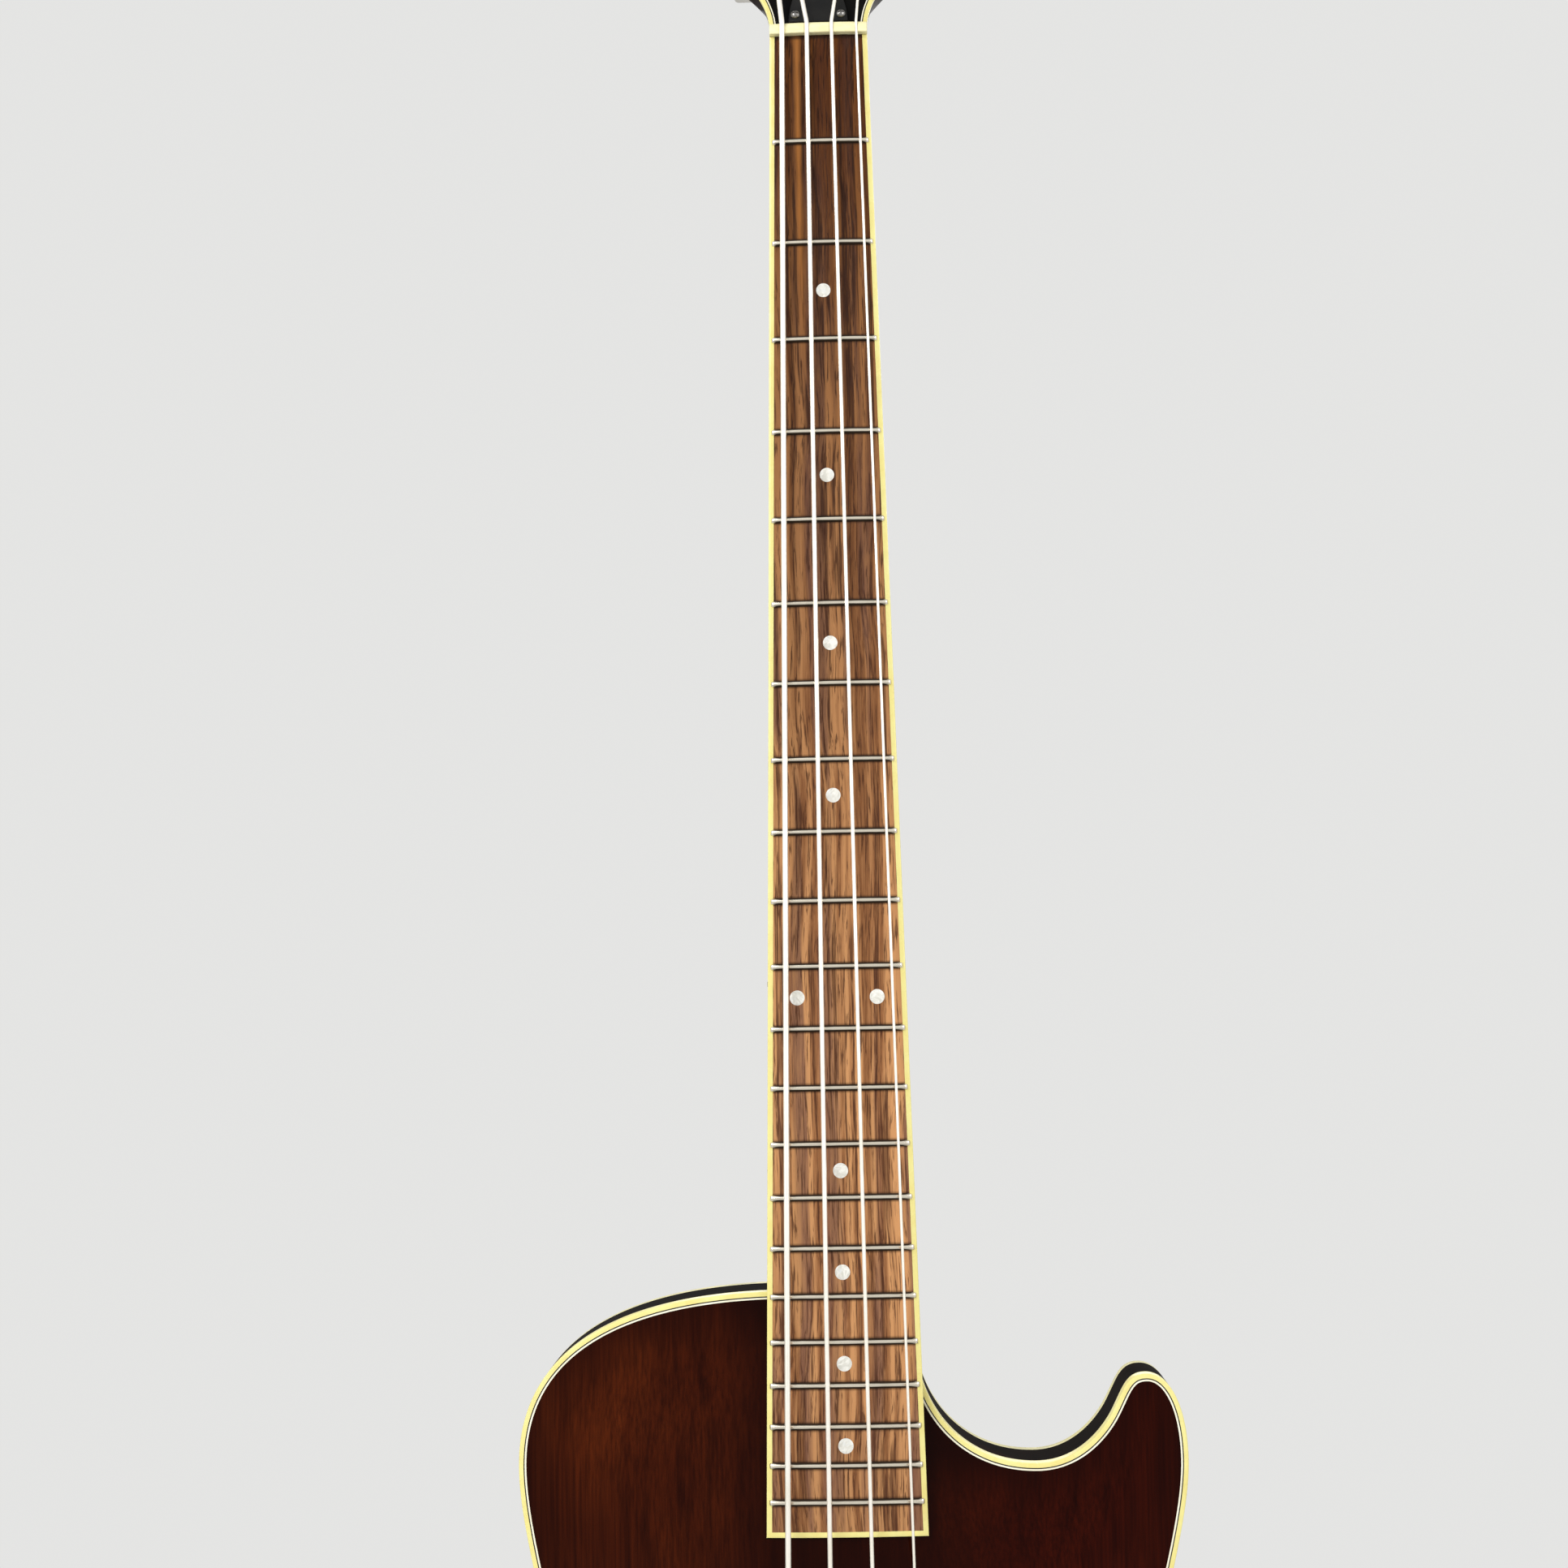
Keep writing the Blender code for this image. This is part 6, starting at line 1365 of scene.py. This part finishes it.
def tunerCase(x, z, side):
    half, depth, wall = tuner["caseHalf"], tuner["caseDepth"], tuner["caseWall"]
    low = (x - half, caseY, z - half)
    high = (x + half, caseY + depth, z + wormOffset + 0.0060)
    room = blockOf([part + wall for part in low], [part - wall for part in high])
    out = placeFacing((side, 0.0, 0.0), (x + side * (half - 0.002), gearY, z + wormOffset))
    wayOut = rodOf(tuner["shaftHole"], 0.0, 0.006, out, 24)
    up = facingFront(x, z)
    bore, sleeve = tuner["sleeveBore"], tuner["sleeve"]
    barrel = rodOf(bore, -caseY - 0.002, -caseY + 0.004, up)
    case = carved(blockOf(low, high, tuner["caseRound"], 3), [room, wayOut, barrel])
    # the sleeve comes up through the head and ends in a rounded bushing on its face
    bushing = spun([(bore, -caseY + 0.0002), (sleeve, -caseY + 0.0002), (sleeve, 0.0002), (0.0092, 0.0001),
                    (0.0092, 0.0007), (0.0088, 0.0011), (0.0070, 0.0013), (0.0066, 0.0024),
                    (0.0062, 0.0027), (bore, 0.0027)], 48, up, ring=True)
    ear = sheetOf(circleOf(tuner["earRadius"], 24, x, z - half - 0.0016), caseY, caseY + tuner["earThick"],
                  0.0003)
    return [case, bushing, screwAt(tuner["caseScrew"], facingBack(x, z, caseY + depth)), ear,
            screwAt(tuner["earScrew"], facingBack(x, z - half - 0.0018, caseY + 0.0017))]


def buildTuners():
    for name, (x, z, side) in tunerSpots.items():
        finished(f"post{name.upper()}", tunerPost(name), "nickel", f"tuner_post_{name}", f"post_{name}",
                 headPlace @ facingFront(x, z))
        reach = headWidthAt(z + wormOffset) - abs(x) + tuner["keyReach"]
        keyPlace = placeFacing((side, 0.0, 0.0), (x, gearY, z + wormOffset))
        finished(f"key{name.upper()}", tunerKey(reach), "nickel", f"tuner_key_{name}", f"key_{name}",
                 headPlace @ keyPlace, 50.0)
    for label, pair in (("bass", ("e", "a")), ("treble", ("g", "d"))):
        spots = [tunerSpots[name] for name in pair]
        middle = 0.5 * (spots[0][0] + spots[1][0])
        between = tuner["caseHalf"] - 0.0030
        parts = [blockOf((middle - tuner["stripHalf"], caseY, spots[0][1] + between),
                         (middle + tuner["stripHalf"], caseY + tuner["stripThick"], spots[1][1] - between),
                         0.0006)]
        for spot in spots:
            parts += tunerCase(*spot)
        finished(f"tunerCase{label.capitalize()}", together(parts), "nickel", f"tuner_housing_{label}",
                 place=headPlace)


buildTuners()
print("tuners ready")


# pickup and its ring
pickup = dict(halfLength=0.042, halfWidth=0.0192, depth=0.019, edgeRound=0.0022, poleRadius=0.0025,
              poleRise=0.0005, poleRow=0.0088, under=0.0035, ringRise=0.0022,
              ears=((-0.047, 0.0158, -0.0045), (0.047, 0.0174, 0.0045)),
              screwRadius=0.0019, cornerScrew=(0.0465, 0.0195), heightScrew=0.0467)


def poleScrew(place):  # slotted, in the second of the piece's finishes
    radius, rise = pickup["poleRadius"], pickup["poleRise"]
    head = spun([(0.0, rise), (radius * 0.82, rise), (radius, rise - radius * 0.2), (radius, -0.0015),
                 (0.0, -0.0015)], 28)
    slot = blockOf((-radius * 1.2, -radius * 0.13, rise - radius * 0.35), (radius * 1.2, radius * 0.13, 0.01))
    pole = shifted(carved(head, [slot]), place)
    for face in pole.faces:
        face.material_index = 1
    return pole


def buildPickup():
    share = layout["pickupAlong"] / layout["scaleLength"]
    height = alongScale(strings["heightNut"], strings["heightBridge"], share)
    shift = alongScale(strings["shiftNut"], layout["shiftAtBridge"], share)
    spacing = alongScale(strings["pitchNut"], strings["pitchBridge"], share)
    place = neckPlace @ Matrix.Translation((shift, -height + pickup["under"], -layout["pickupAlong"]))
    length, width = pickup["halfLength"], pickup["halfWidth"]
    cover = blockOf((-length, 0.0, -width), (length, pickup["depth"], width), pickup["edgeRound"], 4)
    ears = blockOf(*pickup["ears"], 0.0004)
    poles = [poleScrew(facingFront(spacing * (i - 1.5), pickup["poleRow"])) for i in range(4)]
    finished("pickupCover", together([cover, ears] + poles), ("nickel", "steel"), "pickup", "pickup", place,
             40.0)
    finished("pickupRing", softened("pickup_ring", 0.0007, 3), "blackPlastic", "pickup_ring")

    # the ring's upper face runs parallel to the pickup's
    face = place @ Vector((0.0, pickup["ringRise"], 0.0))
    tilt = (0.0, -math.cos(layout["neckAngle"]), -math.sin(layout["neckAngle"]))
    cornerX, cornerZ = pickup["cornerScrew"]
    spots = [(sx * cornerX, sz * cornerZ) for sx in (-1.0, 1.0) for sz in (-1.0, 1.0)]
    spots += [(sx * pickup["heightScrew"], 0.0) for sx in (-1.0, 1.0)]
    screws = []
    for x, z in spots:
        z += pickupZ
        y = face.y - math.tan(layout["neckAngle"]) * (z - face.z)
        screws.append(screwAt(pickup["screwRadius"],
                              placeFacing(tilt, (layout["shiftAtBridge"] * 0.89 + x, y, z))))
    finished("ringScrews", together(screws), "nickel")


buildPickup()
print("pickup ready")


# bridge, saddles and tailpiece
bridge = dict(lift=0.0078, thick=0.0095, halfWidth=0.0112, centreZ=layout["bridgeZ"] - 0.0019,
              wheelRadius=0.0075, wheelThick=0.0024, knurls=44, knurlDepth=0.00035,
              screwDrop=0.0036, screwRadius=0.0011, screwHead=0.0024)
tail = dict(halfLength=0.052, width=0.0150, thick=0.0100, rise=0.0070, armX=0.0340, armFootX=0.0090,
            armHalf=0.0036, armThick=0.0026, plateHalf=0.0150, plateThick=0.0024, plateDepth=0.0240,
            plateRound=0.0020, flap=0.0120, lift=0.00069, screwRadius=0.0029,
            screwSpots=((-0.0085, 0.006), (0.0085, 0.006), (0.0, 0.017)))


def bridgePost():  # stud and knurled height wheel, in the frame of a piece that faces the front
    top, thick = bridge["lift"] - 0.0003, bridge["wheelThick"]
    stud = spun([(0.0, -0.011), (0.0032, -0.011), (0.0040, -0.0102), (0.0040, top - thick),
                 (0.0058, top - thick), (0.0058, top), (0.0030, top), (0.0030, top + 0.002),
                 (0.0, top + 0.002)], 40)
    teeth = []
    for k in range(bridge["knurls"] * 2):
        radius = bridge["wheelRadius"] - (bridge["knurlDepth"] if k % 2 else 0.0)
        angle = -fullTurn * k / (bridge["knurls"] * 2)
        teeth.append((radius * math.cos(angle), radius * math.sin(angle)))
    return together([stud, laidFlat(sheetOf(teeth, -top, -top + thick, 0.00012, 1))])


def buildBridge():
    finished("bridgeBase", softened("bridge_base", 0.0004), "nickel", "bridge_base", "bridge")
    for (x, z), label in zip(postSpots, ("bass", "treble")):
        finished(f"bridgePost{label.capitalize()}", bridgePost(), "nickel", f"bridge_post_{label}", "bridge",
                 facingFront(x, z, layout["deckY"]))
    screws = []
    end = bridge["centreZ"] - bridge["halfWidth"]
    y = layout["deckY"] - bridge["lift"] - bridge["thick"] + bridge["screwDrop"]
    for name in layout["stringNames"]:
        x = saddleCrest(name).x
        finished(f"saddle{name.upper()}", softened(f"saddle_{name}", 0.0003), "nickel", f"saddle_{name}",
                 f"saddle_{name}")
        screws.append(rodOf(bridge["screwRadius"], 0.0, 2.0 * bridge["halfWidth"] - 0.001,
                            placeFacing((0.0, 0.0, 1.0), (x, y, end)), 20))
        screws.append(screwAt(bridge["screwHead"], placeFacing((0.0, 0.0, -1.0), (x, y, end))))
    finished("saddleScrews", together(screws), "steel", body="bridge")


def tailBar(centreY):  # rounded at its ends, with a stepped hole for each string's ball
    rows = []
    for k in range(-16, 17):
        share = math.sin(0.5 * math.pi * k / 16)
        size = 0.84 + 0.16 * math.sqrt(max(0.0, 1.0 - max(0.0, (abs(share) - 0.94) / 0.06) ** 2))
        x = layout["shiftAtBridge"] + share * tail["halfLength"]
        rows.append([(x, centreY + 0.5 * tail["thick"] * y * size,
                      tailpieceZ + 0.5 * tail["width"] * z * size) for z, y in roundedBox(40, 0.6, 0.6)])
    seat = strings["ballRadius"] + 0.0003
    stop = -strings["seatDepth"] + strings["ballLength"] + 0.0006
    cuts = []
    for name in layout["stringNames"]:
        hole = layout["stringRadius"][name] + 0.0003
        cuts.append(spun([(0.0, -0.0105), (seat, -0.0105), (seat, stop), (hole, stop), (hole, 0.0105),
                          (0.0, 0.0105)], 28,
                         Matrix.Translation((saddleCrest(name).x, tailHoleY, tailpieceZ))))
    return carved(skin(rows), cuts)


def tailPlate(front, lowZ, screwPlaces):  # a flap in front of the rim, bent round under the tail
    thick, soft = tail["plateThick"], tail["plateRound"]
    flapZ = tailZ + tail["flap"]
    deep = layout["rimFrontY"] + tail["plateDepth"]
    profile = [(front, flapZ), (front, lowZ + soft)]
    for k in range(1, 6):
        a = 0.5 * math.pi * k / 6
        profile.append((front + soft - soft * math.cos(a), lowZ + soft - soft * math.sin(a)))
    profile += [(front + soft, lowZ), (deep, lowZ), (deep, lowZ + thick), (front + thick, lowZ + thick),
                (front + thick, flapZ)]
    plate = sheetOf(profile, -tail["plateHalf"], tail["plateHalf"], 0.0003)
    shifted(plate, Matrix(((0, 1, 0, 0), (1, 0, 0, 0), (0, 0, 1, 0), (0, 0, 0, 1))))
    bmesh.ops.recalc_face_normals(plate, faces=plate.faces)
    return carved(plate, [spun([(0.0, 0.0), (0.0030, 0.0), (0.0033, 0.0030), (0.0, 0.0030)], 28, place)
                          for place in screwPlaces])


def tailArm(side, centreY, front):
    x0, out, foot = layout["shiftAtBridge"], side * tail["armX"], side * tail["armFootX"]
    flapZ = tailZ + tail["flap"]
    rows = []
    for x, y, z in ((x0 + out, centreY + 0.0005, tailpieceZ),
                    (x0 + out * 0.95, centreY + 0.0007, tailpieceZ - 0.007),
                    (x0 + out * 0.86, centreY + 0.0012, tailpieceZ - 0.012),
                    (foot, front + 0.0010, flapZ - 0.002), (foot, front + 0.0012, flapZ - 0.008)):
        rows.append([(x + tail["armHalf"] * px, y + 0.5 * tail["armThick"] * py, z)
                     for px, py in roundedBox(20, 0.45, 0.6)])
    return skin(rows)


def buildTailpiece():
    centreY = layout["deckY"] - tail["rise"] - 0.5 * tail["thick"]
    front = layout["rimFrontY"] - tail["lift"] - 2.0 * tail["plateThick"]
    lowZ = tailZ - tail["lift"] - tail["plateThick"]
    screwPlaces = [placeFacing((0.0, 0.0, -1.0), (x, layout["rimFrontY"] + y, lowZ + 0.0019))
                   for x, y in tail["screwSpots"]]
    parts = [tailBar(centreY), tailPlate(front, lowZ, screwPlaces)]
    parts += [tailArm(side, centreY, front) for side in (-1.0, 1.0)]
    finished("tailpieceBar", together(parts), "nickel", "tailpiece", sharpAngle=40.0)
    screws = [screwAt(tail["screwRadius"], place) for place in screwPlaces]
    finished("tailpieceScrews", together(screws), "nickel")


buildBridge()
buildTailpiece()
print("bridge and tailpiece ready")


# knobs and output jack
knob = dict(radius=0.0125, height=0.0165, lift=0.0010, shaft=0.0030, shaftEnd=-0.014, flutes=36,
            fluteDepth=0.028, plateRadius=0.0100, pointerReach=0.0165)
jack = dict(seat=0.0004, flange=0.0085, barrel=0.0048, bore=0.0033, inner=0.0075, depth=0.016,
            nutRadius=0.0073, nutHole=0.0047)


def knobCap():
    radius, high = knob["radius"], knob["height"]
    bm = spun([(0.0, high - 0.0006), (radius * 0.50, high - 0.0006), (radius * 0.60, high - 0.0003),
               (radius * 0.70, high), (radius * 0.76, high - 0.0002), (radius * 0.79, high - 0.0010),
               (radius * 0.81, high - 0.0040), (radius * 0.84, 0.0062), (radius * 0.88, 0.0046),
               (radius * 0.97, 0.0034), (radius, 0.0028), (radius, knob["lift"]),
               (knob["shaft"], knob["lift"]), (knob["shaft"], knob["shaftEnd"]), (0.0, knob["shaftEnd"])],
              knob["flutes"] * 4)
    for vert in bm.verts:  # shallow flutes round the grip
        if math.hypot(vert.co.x, vert.co.y) > radius * 0.785 and 0.0060 < vert.co.z < high - 0.0008:
            wave = 0.5 - 0.5 * math.cos(knob["flutes"] * math.atan2(vert.co.y, vert.co.x))
            vert.co.x *= 1.0 - knob["fluteDepth"] * wave
            vert.co.y *= 1.0 - knob["fluteDepth"] * wave
    return bm


def buildControls():
    for label, (x, z) in knobSpots.items():
        place = topPlace(x, z)
        finished(f"{label}Knob", knobCap(), "amber", f"knob_{label}", f"knob_{label}", place)
        outline = [(px, pz) if abs(math.atan2(pz, px) - 0.5 * math.pi) > 0.09 else (0.0, knob["pointerReach"])
                   for px, pz in circleOf(knob["plateRadius"], 40)]
        plate = laidFlat(sheetOf(outline, -0.0006, -0.0001, 0.0001, 1))
        hole = rodOf(body["knobHole"], -0.01, 0.01, steps=28)
        finished(f"{label}Pointer", carved(plate, [hole]), "nickel", place=place)

    seat, flange, barrel, bore, inner = [jack[key] for key in ("seat", "flange", "barrel", "bore", "inner")]
    face = seat + 0.0026
    inside = -body["wall"] - 0.0008
    end = inside - jack["depth"]
    socket = spun([(bore, 0.0044), (0.0042, 0.0044), (barrel, 0.0039), (barrel, face),
                   (flange - 0.0010, face), (flange - 0.0002, face - 0.0006), (flange, seat + 0.0008),
                   (flange, seat), (barrel, seat), (barrel, inside), (inner, inside), (inner, end),
                   (0.0, end), (0.0, end + 0.0012), (bore, end + 0.0012)], 48, ring=True)
    finished("outputJack", socket, "nickel", "output_jack", place=jackPlace)
    nut = laidFlat(sheetOf(circleOf(jack["nutRadius"], 6), -face - 0.0009, -face + 0.0001, 0.0002, 1))
    finished("jackNut", carved(nut, [rodOf(jack["nutHole"], -0.01, 0.01)]), "nickel", place=jackPlace)


buildControls()
print("controls ready")


# camera, floor and light
view = dict(
    lens=57.76, sensor=36.0, clipStart=0.05,
    spot=(0.0073, -1.0707, -0.4053), forward=(-0.0264, 0.9970, 0.0727), up=(0.0206, -0.0722, 0.9972),
)
studio = dict(
    floorZ=-0.988, floorSize=4.0, floorColour=(0.70, 0.695, 0.68), backdrop=(0.78, 0.78, 0.77),
    worldStrength=0.42, aim=(0.0, 0.0, -0.5),
    fadeFrom=0.55, fadeTo=1.35,          # where the floor turns into the backdrop, from the object outwards
    lamps=dict(key=((-1.9, -2.1, 1.1), (2.0, 2.0), 84.0), fill=((2.1, -1.9, 0.7), (2.0, 2.0), 40.0),
               back=((0.5, 2.3, 1.1), (2.4, 2.0), 34.0)),  # place, size and power
)


def buildCamera():
    data = bpy.data.cameras.new("camera")
    data.lens = view["lens"]
    data.sensor_width = view["sensor"]
    data.clip_start = view["clipStart"]
    camera = linked("camera", data)
    forward = Vector(view["forward"]).normalized()
    right = forward.cross(Vector(view["up"])).normalized()
    turn = Matrix((right, right.cross(forward), -forward)).transposed()
    camera.matrix_world = Matrix.Translation(view["spot"]) @ turn.to_4x4()
    bpy.context.scene.camera = camera


def addLamp(name, spot, size, power):
    data = bpy.data.lights.new(name, "AREA")
    data.shape = "RECTANGLE"
    data.size, data.size_y = size
    data.energy = power
    away = Vector(spot) - Vector(studio["aim"])
    linked(name, data).matrix_world = placeFacing(away, spot)


def mixed(net, factor, first, second, output):
    feeds = enumerate((factor, first, second))
    net.feed(net.add("ShaderNodeMixShader", feeds).outputs[0], output.inputs["Surface"])


def directView(net):  # 1 for what the camera, a mirror or glass sees
    path = net.tree.nodes.new("ShaderNodeLightPath").outputs
    mirrors = net.sums("MAXIMUM", path["Is Glossy Ray"], path["Is Transmission Ray"])
    return net.sums("MAXIMUM", path["Is Camera Ray"], mirrors)


def buildFloor():
    bm = bmesh.new()
    centre = (0.0, 0.0, studio["floorZ"])
    bmesh.ops.create_grid(bm, x_segments=4, y_segments=4, size=studio["floorSize"],
                          matrix=Matrix.Translation(centre))
    floor = linked("floor", meshOf("floor", bm))
    colour = studio["floorColour"]
    net = Finish("floorPaint", colour, 0.7)
    paint = net.blended(net.noise(net.where, 1.5, 3.0), colour, tuple(0.97 * part for part in colour))
    floor.data.materials.append(net.dress(paint))
    plain = net.add("ShaderNodeEmission", (("Color", (*studio["backdrop"], 1.0)),))
    far = net.vectorSums("DISTANCE", net.where, centre)
    far = net.soft(far, studio["fadeFrom"], studio["fadeTo"])
    mixed(net, net.times(far, directView(net)), net.shader.outputs[0], plain.outputs[0],
          net.tree.nodes["Material Output"])


def buildWorld():
    world = bpy.data.worlds.new("studio")
    scene.world = world
    world.use_nodes = True
    world.node_tree.nodes.clear()
    net = Net(world.node_tree)
    light, shown = [net.add("ShaderNodeBackground", (("Color", (*colour, 1.0)), ("Strength", strength)))
                    for colour, strength in (((1.0, 1.0, 1.0), studio["worldStrength"]),
                                             (studio["backdrop"], 1.0))]
    mixed(net, directView(net), light.outputs[0], shown.outputs[0],
          net.tree.nodes.new("ShaderNodeOutputWorld"))
    for label, lamp in studio["lamps"].items():
        addLamp(f"{label}Light", *lamp)


buildCamera()
buildFloor()
buildWorld()
scene.view_settings.view_transform = "Standard"
print("camera and light ready")
